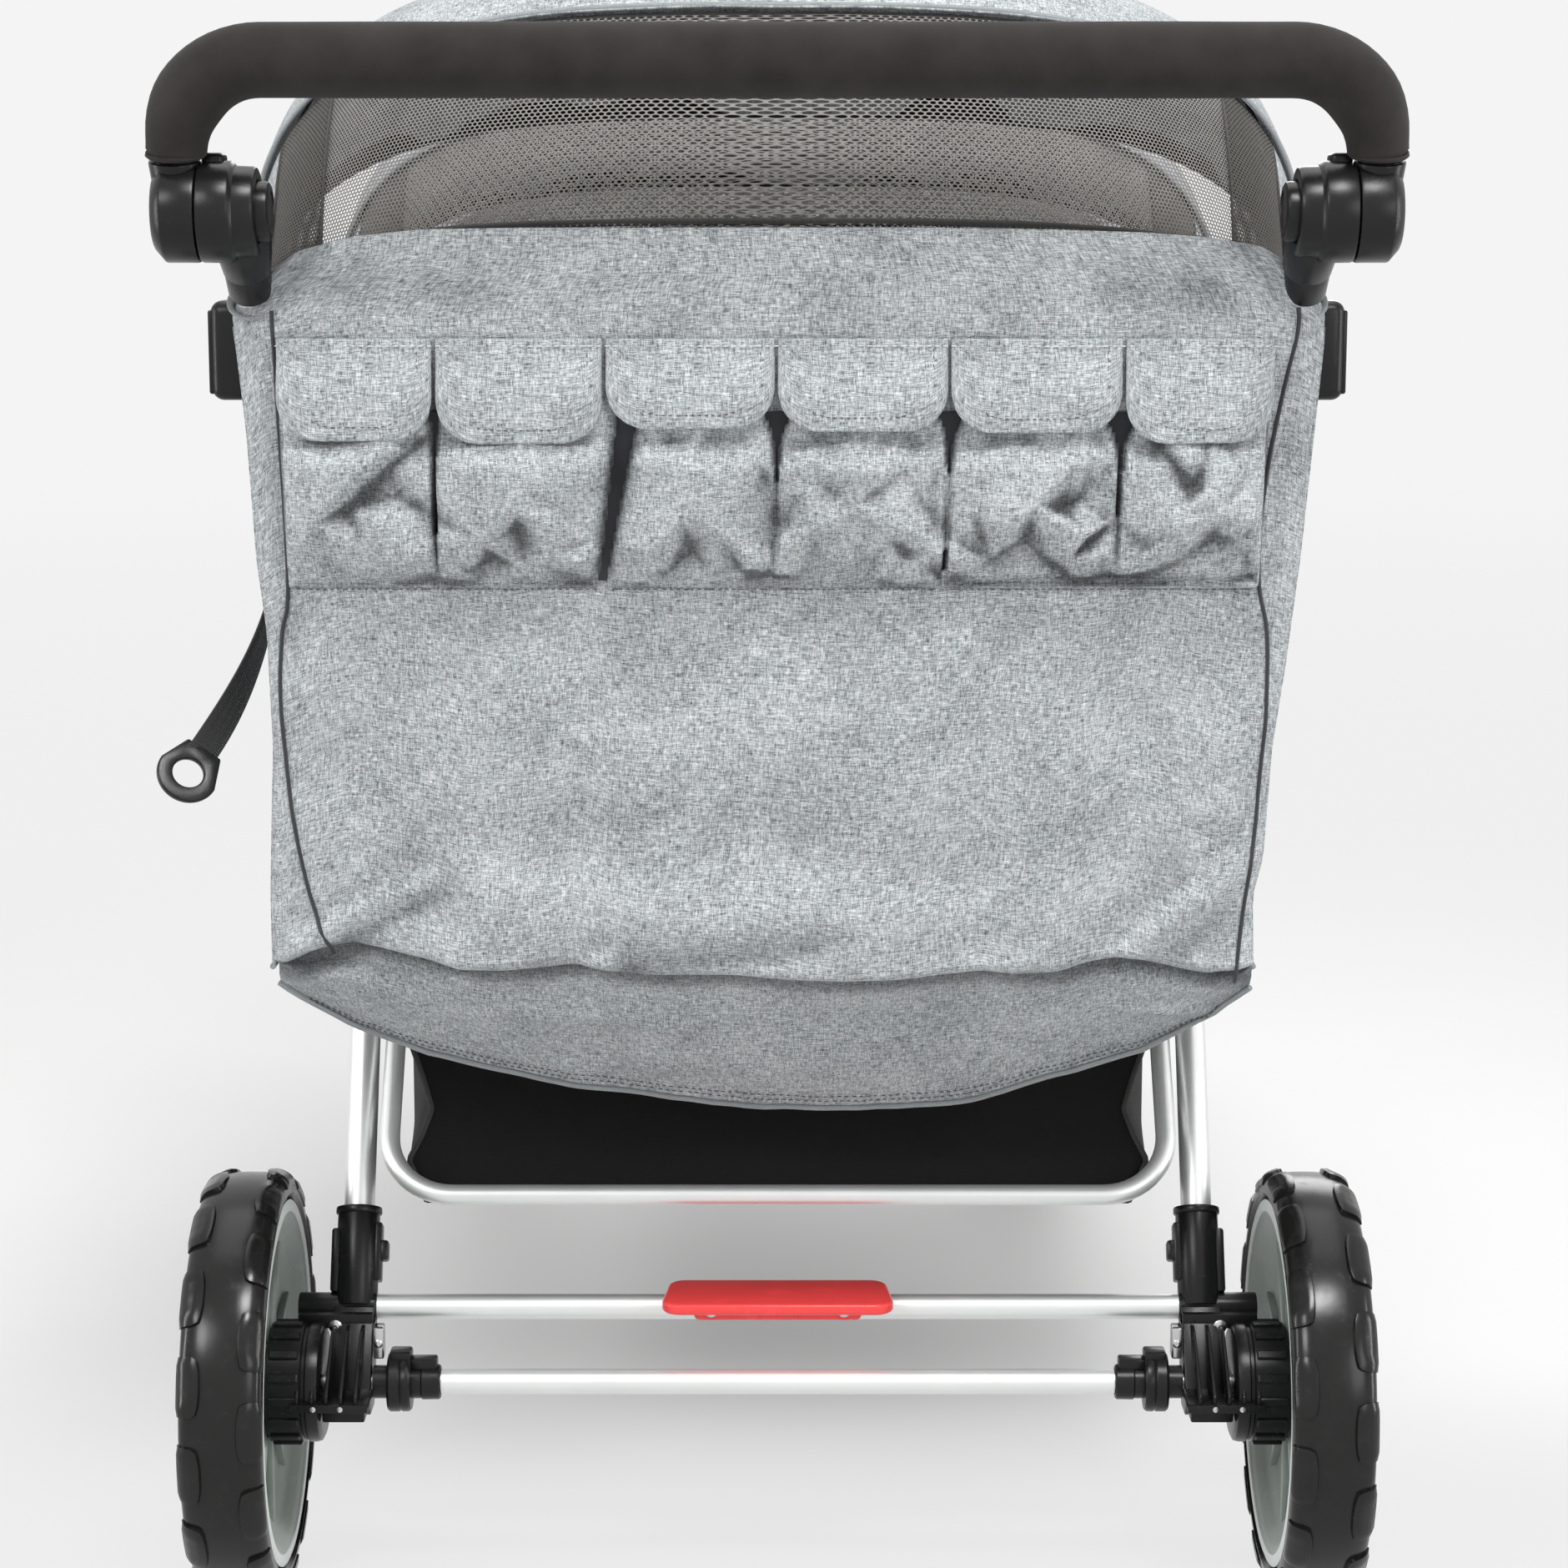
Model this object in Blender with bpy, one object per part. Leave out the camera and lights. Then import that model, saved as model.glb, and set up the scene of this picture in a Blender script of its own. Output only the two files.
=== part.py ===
"""Six-seat stroller: three rows of two seats in a fabric tub on a tube frame.

Metres, +Z up, +Y forward. Forward distances are measured from the rear axle and heights from the
floor. Everything hangs on one empty, which centres the stroller over the origin.
"""

import math

import bmesh
import bpy
from mathutils import Matrix, Vector

# Clearances
FIT = 0.0003
RUNNING_GAP = 0.0025
SIDES = {"left": -1, "right": 1}
ROWS = ("rear", "middle", "front")

# Frame tubes: height of the knuckle that joins the handle, and the run of each rail
KNUCKLE_Y = -0.230
KNUCKLE_Z = 0.930
PUSH_RAIL_X = 0.310
PUSH_RAIL_RADIUS = 0.010
PUSH_RAIL_BEND_Y = -0.165
PUSH_RAIL_BEND_Z = 0.862
PUSH_RAIL_FRONT_Y = 1.170
PUSH_RAIL_FRONT_Z = 0.703135
PUSH_RAIL_BEND_RADIUS = 0.050
PUSH_RAIL_FOOT = 0.030
LOWER_RAIL_X = 0.250
LOWER_RAIL_RADIUS = 0.010
LOWER_RAIL_REAR_Y = 0.020
LOWER_RAIL_REAR_Z = 0.475
LOWER_RAIL_FRONT_Z = 0.4014
LOWER_RAIL_TOP_Y = -0.100
LOWER_RAIL_BEND_RADIUS = 0.060
BUMPER_RADIUS = 0.011
BUMPER_Z = 0.620

# Rear legs, their pivot on the lower rails and the brackets on the axle
LEG_X = 0.288
LEG_RADIUS = 0.0105
LEG_PIVOT_Y = 0.168
LEG_EYE_RADIUS = 0.0135
PIVOT_BOSS_RADIUS = 0.012
SOCKET_TOP_Y = 0.060
SOCKET_TOP_Z = 0.248
SOCKET_RADIUS = 0.0145
SOCKET_DEPTH = 0.045
BRAKE_BAR_Y = 0.030
BRAKE_BAR_Z = 0.188
BRAKE_BAR_RADIUS = 0.0085
BRAKE_ARM_RADIUS = 0.011
BRAKE_ARM_END_X = 0.3265
AXLE_RADIUS = 0.005
AXLE_TUBE_RADIUS = 0.0085
AXLE_BLOCK_RADIUS = 0.020
SLEEVE_END_X = 0.228
SLEEVE_RADIUS = 0.012
SLEEVE_COLLAR_RADIUS = 0.020
SLEEVE_COLLAR_WIDTH = 0.016

# Brake pedal, which clamps on the middle of the brake bar
PEDAL_HALF_WIDTH = 0.079
PEDAL_DEPTH = 0.056
PEDAL_THICKNESS = 0.008
PEDAL_CLAMP_HALF_WIDTH = 0.057
PEDAL_CLAMP_THICKNESS = 0.009
PEDAL_CLAMP_HEIGHT = 0.014

# Rear wheels
REAR_WHEEL_RADIUS = 0.145
REAR_TYRE_X = 0.330
REAR_TYRE_WIDTH = 0.054
REAR_TYRE_DEPTH = 0.022
REAR_DRUM_RADIUS = 0.040
REAR_DRUM_X = 0.3055
REAR_RIM_INSET = 0.006
REAR_RIM_DEPTH = 0.016
WEB_THICKNESS = 0.014
HUB_RADIUS = 0.026
HUB_PROUD = 0.003

# Front wheels and their casters
CASTER_X = 0.250
CASTER_Y = 1.200
CASTER_TRAIL = 0.050
FRONT_WHEEL_RADIUS = 0.115
FRONT_TYRE_WIDTH = 0.038
FRONT_TYRE_DEPTH = 0.018
FRONT_RIM_INSET = 0.004
FRONT_RIM_DEPTH = 0.013
FRONT_WEB_THICKNESS = 0.010
FRONT_HUB_RADIUS = 0.016
FRONT_PIN_RADIUS = 0.004
FORK_PLATE = 0.005
FORK_CROWN_Z = 0.236
FORK_CROWN_HEIGHT = 0.020
HOUSING_RADIUS = 0.020
HOUSING_HEIGHT = 0.062
STEM_RADIUS = 0.008
STEM_LENGTH = 0.048

# Handle, knuckles and their release buttons
HANDLE_RADIUS = 0.010
HANDLE_FOAM_RADIUS = 0.021
HANDLE_END_X = 0.343
HANDLE_CORNER_X = 0.336
HANDLE_Y = -0.250
HANDLE_Z = 1.015
HANDLE_BEND_RADIUS = 0.045
KNUCKLE_RADIUS = 0.029
KNUCKLE_INNER_X = 0.2978
KNUCKLE_SPLIT_X = 0.3311
KNUCKLE_OUTER_X = 0.3576
KNUCKLE_COLLAR_REACH = 0.0317
FERRULE_RADIUS = 0.0135
FERRULE_REACH = 0.065
BUTTON_RADIUS = 0.0175
BUTTON_PROUD = 0.0073
BUTTON_DEPTH = 0.0022
BUTTON_TRAVEL = 0.005

# Basket and the hoop behind it
HOOP_X = 0.266
HOOP_RADIUS = 0.007
HOOP_Y = 0.166
HOOP_BOTTOM_Y = 0.030
HOOP_BOTTOM_Z = 0.267
HOOP_BEND_RADIUS = 0.045
HOOP_UPRIGHT = 0.030
BASKET_FRONT_Y = 0.950
BASKET_WALL = 0.004
BASKET_FLOOR_Z = 0.2503
BASKET_TOP_Z = 0.372
BASKET_SIDE_INSET = 0.004

# Fabric tub: rear panel, side panels, footwells, seats and backrests
CLOTH = 0.004
REAR_PANEL_CLOTH = 0.005
REAR_PANEL_INSET = 0.0008
REAR_PANEL_BESIDE_FERRULE = 0.0095
REAR_PANEL_TOP_Z = 0.9185
REAR_PANEL_TOP_Y = -0.208
REAR_PANEL_NARROWS_ABOVE = 0.018
REAR_PANEL_WIDE_UP_TO = 0.004
REAR_PANEL_CORNER_DROP = 0.028
FLAP_SEAM_Z = 0.854
FLAP_SEAM_Y = -0.190
FLAP_HEM_Z = 0.797
FLAP_TUCK = 0.010
FLAP_HEM_TUCK = 0.006
POCKET_SEAM_Z = 0.706
POCKET_SEAM_Y = -0.155
POCKET_SEAM_TUCK = 0.008
POCKET_BULGE = 0.014
REAR_SEAM_Z = 0.452
REAR_SEAM_Y = -0.118
LIP_HEM_Z = 0.335
LIP_HEM_Y = 0.000
LIP_CORNER_RISE = 0.090
SIDE_PANEL_BELOW_RAIL = 0.020
SIDE_PANEL_ABOVE_RAIL = 0.004
SIDE_PANEL_ABOVE_FLAPS = 0.006
SIDE_PANEL_ABOVE_SEAM = 0.003
ROW_PITCH = 0.420
ROW_DROP = 0.050
SEAT_BACK_Y = 0.060
SEAT_DEPTH = 0.240
SEAT_HALF_WIDTH = 0.318
SEAT_TOP_Z = 0.580
SEAT_EDGE = 0.014
FOOTWELL_FLOOR_Z = 0.356
FOOTWELL_DROP = 0.012
FOOTWELL_FRONT_Y = 1.346
FOOTWELL_FRONT_RIM_Z = 0.470
FOOTWELL_FLANGE = 0.003
BACKREST_AHEAD = 0.030
BACKREST_HALF_WIDTH = 0.243
BACKREST_THICKNESS = 0.030
BACKREST_HEIGHT = 0.340
BACKREST_BELOW_PIVOT = 0.030
BACKREST_LEAN = math.radians(12)
BACKREST_PIN_RADIUS = 0.007

# Hoods: three nested sections turn about the same pivots on the push rails
HOOD_PIVOT_Y = 0.020
HOOD_RADIUS = 0.240
HOOD_HALF_WIDTH = 0.331
HOOD_CLOTH = 0.003
HOOD_SQUARENESS = 3.2
HOOD_RADIUS_STEP = 0.006
HOOD_WIDTH_STEP = 0.004
HOOD_EAR_RADIUS = 0.035
HOOD_SECTIONS = {"back": (120, 160), "middle": (78, 121), "front": (36, 79)}
HOOD_ARCH_STEPS = 12
HOOD_SPIN_STEPS = 3
HOOD_NECK_RADIUS = 0.012
HOOD_CLAMP_WIDTH = 0.028
HOOD_CLAMP_DEPTH = 0.028
HOOD_CLAMP_BELOW = 0.034
HOOD_CLAMP_ABOVE = 0.030

# Strap that ties the folded stroller, on the left side
STRAP_WIDTH = 0.019
STRAP_THICKNESS = 0.0025
STRAP_TOP_Y = 0.000
STRAP_TOP_Z = 0.700
STRAP_END_Y = -0.110
STRAP_END_Z = 0.590
STRAP_SWING = 0.037
RING_RADIUS = 0.020
RING_HOLE_RADIUS = 0.011

# Roundness of the solids
TUBE_RESOLUTION = 2
STRAP_STEPS = 6
ROUND_SEGMENTS = 16
WHEEL_SEGMENTS = 28

# Places worked out from the sizes above
STROLLER_BACK_Y = HANDLE_Y - HANDLE_FOAM_RADIUS
AXLE_Y = -(FOOTWELL_FRONT_Y + STROLLER_BACK_Y) / 2
AXLE_Z = REAR_WHEEL_RADIUS
BRACKET_INNER_X = LEG_X - SOCKET_RADIUS
SIDE_PANEL_X = PUSH_RAIL_X + PUSH_RAIL_RADIUS + FIT
REAR_PANEL_HALF_WIDTH = SIDE_PANEL_X + CLOTH - REAR_PANEL_INSET
REAR_PANEL_TOP_HALF_WIDTH = PUSH_RAIL_X - FERRULE_RADIUS - REAR_PANEL_BESIDE_FERRULE
HOOD_NECK_START_X = SIDE_PANEL_X + CLOTH + FIT
HOOD_NECK_END_X = HOOD_HALF_WIDTH + 2 * HOOD_WIDTH_STEP + 0.0008
FOOTWELL_HALF_WIDTH = LOWER_RAIL_X - LOWER_RAIL_RADIUS - FIT


def push_rail_z(y):
    slope = (PUSH_RAIL_BEND_Z - PUSH_RAIL_FRONT_Z) / (PUSH_RAIL_FRONT_Y - PUSH_RAIL_BEND_Y)
    return PUSH_RAIL_BEND_Z - slope * (y - PUSH_RAIL_BEND_Y)


def lower_rail_z(y):
    slope = (LOWER_RAIL_REAR_Z - LOWER_RAIL_FRONT_Z) / (PUSH_RAIL_FRONT_Y - LOWER_RAIL_REAR_Y)
    return LOWER_RAIL_REAR_Z - slope * (y - LOWER_RAIL_REAR_Y)


def rear_panel_y(z):
    """Runs down the outer face of the rear panel, which leans in towards its foot."""
    levels = (
        (REAR_PANEL_TOP_Z, REAR_PANEL_TOP_Y),
        (FLAP_SEAM_Z, FLAP_SEAM_Y),
        (POCKET_SEAM_Z, POCKET_SEAM_Y),
        (REAR_SEAM_Z, REAR_SEAM_Y),
        (LIP_HEM_Z, LIP_HEM_Y),
    )
    for (high, y_high), (low, y_low) in zip(levels, levels[1:]):
        if z >= low:
            return y_low + (y_high - y_low) * (z - low) / (high - low)
    return levels[-1][1]


LEG_PIVOT_Z = lower_rail_z(LEG_PIVOT_Y) - 0.0055
HOOP_TOP_Z = LEG_PIVOT_Z - PIVOT_BOSS_RADIUS - FIT


# Materials

def material(name, colour, roughness, metallic=0.0):
    made = bpy.data.materials.new(name)
    made.use_nodes = True
    shader = made.node_tree.nodes["Principled BSDF"]
    shader.inputs["Base Color"].default_value = (*colour, 1.0)
    shader.inputs["Roughness"].default_value = roughness
    shader.inputs["Metallic"].default_value = metallic
    return made


def make_materials():
    return {
        "aluminium": material("aluminium", (0.62, 0.63, 0.64), 0.32, 1.0),
        "steel": material("steel", (0.55, 0.55, 0.55), 0.28, 1.0),
        "black_plastic": material("black_plastic", (0.012, 0.012, 0.013), 0.42),
        "foam": material("foam", (0.035, 0.030, 0.027), 0.88),
        "fabric_grey": material("fabric_grey", (0.42, 0.45, 0.49), 0.92),
        "fabric_black": material("fabric_black", (0.018, 0.018, 0.020), 0.90),
        "mesh": material("mesh", (0.055, 0.050, 0.046), 0.85),
        "rim_grey": material("rim_grey", (0.55, 0.58, 0.55), 0.45),
        "tyre": material("tyre", (0.015, 0.015, 0.015), 0.80),
        "red_plastic": material("red_plastic", (0.55, 0.02, 0.02), 0.35),
        "webbing": material("webbing", (0.015, 0.015, 0.016), 0.80),
    }


# Making and joining solids

def joint(name, place, parent=None):
    """Makes the empty that a moving body hangs on, at a place on the joint's axis."""
    parent = parent or STROLLER
    empty = bpy.data.objects.new(name, None)
    bpy.context.scene.collection.objects.link(empty)
    empty.parent = parent
    empty.location = Vector(place) - PLACES[parent.name]
    PLACES[name] = Vector(place)
    return empty


def solid(name, bm, finish, parent=None):
    """Makes a node from a shape in the stroller's frame, with its origin on its joint."""
    mesh = bpy.data.meshes.new(name)
    bm.to_mesh(mesh)
    bm.free()
    made = bpy.data.objects.new(name, mesh)
    mesh.materials.append(FINISHES[finish])
    mesh.shade_smooth()
    mesh.set_sharp_from_angle(angle=math.radians(35))
    bpy.context.scene.collection.objects.link(made)
    made.parent = parent or STROLLER
    made.data.transform(Matrix.Translation(-PLACES[made.parent.name]))
    return made


def boolean(target, operation, *meshes):
    """Adds to or cuts from a solid, with each operand kept as a hidden guide."""
    for number, shape in enumerate(meshes):
        guide = solid(f"{target.name}_{operation.lower()}_{number}", shape, "steel")
        guide.hide_render = True
        guide.display_type = "WIRE"
        modifier = target.modifiers.new(operation.title(), "BOOLEAN")
        modifier.operation = operation
        modifier.object = guide
    return target


def join(target, *meshes):
    return boolean(target, "UNION", *meshes)


def cut(target, *meshes):
    return boolean(target, "DIFFERENCE", *meshes)


def block(low, high, edge=0.0):
    """Box between two corners, in any order, with its edges broken by a bevel."""
    low, high = Vector(low), Vector(high)
    bm = bmesh.new()
    bmesh.ops.create_cube(bm, size=1.0)
    size = high - low
    bmesh.ops.scale(bm, vec=(abs(size.x), abs(size.y), abs(size.z)), verts=bm.verts)
    bmesh.ops.translate(bm, vec=(low + high) / 2, verts=bm.verts)
    if edge:
        bmesh.ops.bevel(bm, geom=list(bm.edges), offset=edge, segments=1, profile=0.5,
                        affect="EDGES", material=-1)
    return bm


def bar(start, end, radius, segments=ROUND_SEGMENTS):
    """Round bar between two points."""
    start, end = Vector(start), Vector(end)
    bm = bmesh.new()
    bmesh.ops.create_cone(bm, cap_ends=True, segments=segments, radius1=radius, radius2=radius,
                          depth=(end - start).length)
    turn = (end - start).to_track_quat("Z", "Y").to_matrix().to_4x4()
    bmesh.ops.transform(bm, matrix=Matrix.Translation((start + end) / 2) @ turn, verts=bm.verts)
    return bm


def turned(profile, y, z, segments=ROUND_SEGMENTS, ring=False):
    """Turns a profile of (x, radius) points about a cross axis, flat side down.

    A ring's profile is closed. Radii are measured to the flats, so a wheel stands on one.
    """
    bm = bmesh.new()
    flat = math.pi / segments
    reach = [(x, radius / math.cos(flat)) for x, radius in profile]
    verts = [bm.verts.new((x, y + r * math.sin(flat), z + r * math.cos(flat))) for x, r in reach]
    pairs = list(zip(verts, verts[1:]))
    if ring:
        pairs.append((verts[-1], verts[0]))
    edges = [bm.edges.new(pair) for pair in pairs]
    bmesh.ops.spin(bm, geom=verts + edges, cent=(0, y, z), axis=(1, 0, 0), angle=2 * math.pi,
                   steps=segments, use_merge=True, use_duplicate=False)
    bmesh.ops.remove_doubles(bm, verts=bm.verts, dist=1e-6)
    bmesh.ops.recalc_face_normals(bm, faces=bm.faces)
    return bm


def prism(outline, low_x, high_x):
    """Extrudes an outline of (y, z) points across the stroller."""
    bm = bmesh.new()
    face = bm.faces.new([bm.verts.new((low_x, y, z)) for y, z in outline])
    pushed = bmesh.ops.extrude_face_region(bm, geom=[face])
    moved = [item for item in pushed["geom"] if isinstance(item, bmesh.types.BMVert)]
    bmesh.ops.translate(bm, vec=(high_x - low_x, 0, 0), verts=moved)
    bmesh.ops.recalc_face_normals(bm, faces=bm.faces)
    return bm


def rounded(corners, radius, steps=4):
    """Turns each inner corner of a route into an arc."""
    corners = [Vector(corner) for corner in corners]
    route = [corners[0]]
    for before, corner, after in zip(corners, corners[1:], corners[2:]):
        back = (before - corner).normalized()
        ahead = (after - corner).normalized()
        half = back.angle(ahead) / 2
        centre = corner + (back + ahead).normalized() * radius / math.sin(half)
        start = (corner + back * radius / math.tan(half) - centre).normalized()
        end = (corner + ahead * radius / math.tan(half) - centre).normalized()
        route += [centre + start.slerp(end, step / steps) * radius for step in range(steps + 1)]
    route.append(corners[-1])
    return route


def swept(route, radius, capped=True):
    """Sweeps a round section along a route of points."""
    curve = bpy.data.curves.new("route", "CURVE")
    curve.dimensions = "3D"
    curve.bevel_depth = radius
    curve.bevel_resolution = TUBE_RESOLUTION
    curve.use_fill_caps = capped
    spline = curve.splines.new("POLY")
    spline.points.add(len(route) - 1)
    for point, place in zip(spline.points, route):
        point.co = (*place, 1.0)
    holder = bpy.data.objects.new("route", curve)
    bpy.context.scene.collection.objects.link(holder)
    bpy.context.view_layer.update()
    graph = bpy.context.evaluated_depsgraph_get()
    bm = bmesh.new()
    bm.from_mesh(bpy.data.meshes.new_from_object(holder.evaluated_get(graph)))
    bpy.data.objects.remove(holder)
    bmesh.ops.remove_doubles(bm, verts=bm.verts, dist=1e-6)
    bmesh.ops.recalc_face_normals(bm, faces=bm.faces)
    return bm


def sheet(rows, outward):
    """Skins rows of points with faces that look along the given direction."""
    bm = bmesh.new()
    grid = [[bm.verts.new(point) for point in row] for row in rows]
    for upper, lower in zip(grid, grid[1:]):
        for number in range(len(upper) - 1):
            bm.faces.new((upper[number], upper[number + 1], lower[number + 1], lower[number]))
    bm.normal_update()
    middle = list(bm.faces)[len(bm.faces) // 2]
    if middle.normal.dot(Vector(outward)) < 0:
        bmesh.ops.reverse_faces(bm, faces=bm.faces)
    return bm


def thicken(target, thickness):
    modifier = target.modifiers.new("Cloth", "SOLIDIFY")
    modifier.thickness = thickness
    modifier.offset = -1.0
    return target


# The frame

def make_push_rail(name, side):
    """Upper side tube, from the knuckle's ferrule along the tub and down to the front caster."""
    knuckle = Vector((PUSH_RAIL_X, KNUCKLE_Y, KNUCKLE_Z))
    bend = Vector((PUSH_RAIL_X, PUSH_RAIL_BEND_Y, PUSH_RAIL_BEND_Z))
    start = knuckle + (bend - knuckle).normalized() * (FERRULE_REACH + FIT)
    corners = [
        start,
        bend,
        (PUSH_RAIL_X, PUSH_RAIL_FRONT_Y, push_rail_z(PUSH_RAIL_FRONT_Y)),
        (CASTER_X, CASTER_Y, caster_top_z() + PUSH_RAIL_FOOT),
        (CASTER_X, CASTER_Y, caster_top_z() + FIT),
    ]
    route = rounded(corners, PUSH_RAIL_BEND_RADIUS)
    solid(f"push_rail_{name}", swept(flipped(route, side), PUSH_RAIL_RADIUS), "aluminium")


def flipped(route, side):
    return [Vector((side * point[0], point[1], point[2])) for point in route]


def caster_top_z():
    return FORK_CROWN_Z + FORK_CROWN_HEIGHT + FIT + HOUSING_HEIGHT


def make_lower_rail(name, side):
    """Lower side tube, with the boss on its outer side that carries the rear leg's pivot."""
    top_x = PUSH_RAIL_X - PUSH_RAIL_RADIUS - LOWER_RAIL_RADIUS - 0.0008
    front_y = CASTER_Y - 0.022
    corners = [
        (LOWER_RAIL_X, front_y, lower_rail_z(front_y)),
        (LOWER_RAIL_X, LOWER_RAIL_REAR_Y, LOWER_RAIL_REAR_Z),
        (top_x, LOWER_RAIL_TOP_Y, push_rail_z(LOWER_RAIL_TOP_Y) - 0.006),
    ]
    route = flipped(rounded(corners, LOWER_RAIL_BEND_RADIUS), side)
    rail = solid(f"lower_rail_{name}", swept(route, LOWER_RAIL_RADIUS), "aluminium")
    boss_end = LEG_X - LEG_RADIUS - FIT
    join(rail, bar((side * LOWER_RAIL_X, LEG_PIVOT_Y, LEG_PIVOT_Z),
                   (side * boss_end, LEG_PIVOT_Y, LEG_PIVOT_Z), PIVOT_BOSS_RADIUS))


def make_rear_hoop():
    """U-shaped hoop that leans back under the lower rails and spreads the back of the basket."""
    half = [(HOOP_X, HOOP_Y, HOOP_TOP_Z), (HOOP_X, HOOP_Y, HOOP_TOP_Z - HOOP_UPRIGHT),
            (HOOP_X, HOOP_BOTTOM_Y, HOOP_BOTTOM_Z)]
    corners = half + [(-x, y, z) for x, y, z in reversed(half)]
    solid("rear_hoop", swept(rounded(corners, HOOP_BEND_RADIUS), HOOP_RADIUS), "aluminium")


def make_bumper_bar():
    """Padded bar across the front legs, ahead of the front row."""
    fall = push_rail_z(PUSH_RAIL_FRONT_Y) - caster_top_z() - PUSH_RAIL_FOOT
    share = (push_rail_z(PUSH_RAIL_FRONT_Y) - BUMPER_Z) / fall
    leg_x = PUSH_RAIL_X + (CASTER_X - PUSH_RAIL_X) * share
    leg_y = PUSH_RAIL_FRONT_Y + (CASTER_Y - PUSH_RAIL_FRONT_Y) * share
    lean = (PUSH_RAIL_X - CASTER_X) / fall
    end_x = leg_x - PUSH_RAIL_RADIUS * 1.02 - BUMPER_RADIUS * lean - FIT
    solid("bumper_bar", bar((-end_x, leg_y, BUMPER_Z), (end_x, leg_y, BUMPER_Z), BUMPER_RADIUS), "foam")


# The handle

def handle_direction():
    return Vector((0, HANDLE_Y - KNUCKLE_Y, HANDLE_Z - KNUCKLE_Z)).normalized()


def handle_route(radius):
    """Starts just clear of the knuckle's collar, whose end the tube meets at a slight angle."""
    lean = (HANDLE_END_X - HANDLE_CORNER_X) / (HANDLE_Z - KNUCKLE_Z)
    reach = KNUCKLE_COLLAR_REACH + 2 * FIT + radius * lean
    start = Vector((HANDLE_END_X, KNUCKLE_Y, KNUCKLE_Z)) + handle_direction() * reach
    half = [start, Vector((HANDLE_CORNER_X, HANDLE_Y, HANDLE_Z))]
    corners = half + [Vector((-point.x, point.y, point.z)) for point in reversed(half)]
    return rounded(corners, HANDLE_BEND_RADIUS)


def make_handle(tilt):
    """Handle tube with a foam sleeve over all of it, between the two knuckles."""
    solid("handle_tube", swept(handle_route(HANDLE_RADIUS), HANDLE_RADIUS), "aluminium", tilt)
    foam = solid("foam_grip", swept(handle_route(HANDLE_FOAM_RADIUS), HANDLE_FOAM_RADIUS, capped=False),
                 "foam", tilt)
    thicken(foam, HANDLE_FOAM_RADIUS - HANDLE_RADIUS - FIT)


def make_knuckle_upper(name, side, tilt):
    """Outer half of the tilting knuckle, with the collar that holds the handle tube."""
    profile = [
        (side * KNUCKLE_SPLIT_X, 0),
        (side * KNUCKLE_SPLIT_X, KNUCKLE_RADIUS),
        (side * (KNUCKLE_OUTER_X - 0.006), KNUCKLE_RADIUS),
        (side * KNUCKLE_OUTER_X, KNUCKLE_RADIUS - 0.007),
        (side * KNUCKLE_OUTER_X, 0),
    ]
    knuckle = solid(f"knuckle_upper_{name}", turned(profile, KNUCKLE_Y, KNUCKLE_Z, 20),
                    "black_plastic", tilt)
    centre = Vector((side * (KNUCKLE_SPLIT_X + KNUCKLE_OUTER_X) / 2, KNUCKLE_Y, KNUCKLE_Z))
    join(knuckle, bar(centre, centre + handle_direction() * KNUCKLE_COLLAR_REACH,
                      (KNUCKLE_OUTER_X - KNUCKLE_SPLIT_X) / 2 - FIT))


def make_knuckle_lower(name, side):
    """Inner half of the knuckle: a cup for the release button and a ferrule on the push rail."""
    split = KNUCKLE_SPLIT_X - FIT
    profile = [
        (side * split, 0),
        (side * split, KNUCKLE_RADIUS),
        (side * KNUCKLE_INNER_X, KNUCKLE_RADIUS),
        (side * KNUCKLE_INNER_X, 0),
    ]
    knuckle = solid(f"knuckle_lower_{name}", turned(profile, KNUCKLE_Y, KNUCKLE_Z, 20), "black_plastic")
    centre = Vector((side * PUSH_RAIL_X, KNUCKLE_Y, KNUCKLE_Z))
    bend = Vector((side * PUSH_RAIL_X, PUSH_RAIL_BEND_Y, PUSH_RAIL_BEND_Z))
    ferrule_end = centre + (bend - centre).normalized() * FERRULE_REACH
    join(knuckle, bar(centre, ferrule_end, FERRULE_RADIUS))
    floor_x = KNUCKLE_INNER_X + BUTTON_DEPTH + BUTTON_TRAVEL + FIT
    cut(knuckle, bar((side * (KNUCKLE_INNER_X - 0.01), KNUCKLE_Y, KNUCKLE_Z),
                     (side * floor_x, KNUCKLE_Y, KNUCKLE_Z), BUTTON_RADIUS + 2 * FIT, 20))


def make_knuckle_button(name, side, press):
    profile = [
        (side * (KNUCKLE_INNER_X + BUTTON_DEPTH), 0),
        (side * (KNUCKLE_INNER_X + BUTTON_DEPTH), BUTTON_RADIUS),
        (side * (KNUCKLE_INNER_X - BUTTON_PROUD + 0.002), BUTTON_RADIUS),
        (side * (KNUCKLE_INNER_X - BUTTON_PROUD), BUTTON_RADIUS - 0.003),
        (side * (KNUCKLE_INNER_X - BUTTON_PROUD), 0),
    ]
    solid(f"knuckle_button_{name}", turned(profile, KNUCKLE_Y, KNUCKLE_Z, 20), "black_plastic", press)


# The folding rear frame

def leg_line(side):
    pivot = Vector((side * LEG_X, LEG_PIVOT_Y, LEG_PIVOT_Z))
    socket = Vector((side * LEG_X, SOCKET_TOP_Y, SOCKET_TOP_Z))
    return pivot, socket, (socket - pivot).normalized()


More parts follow.
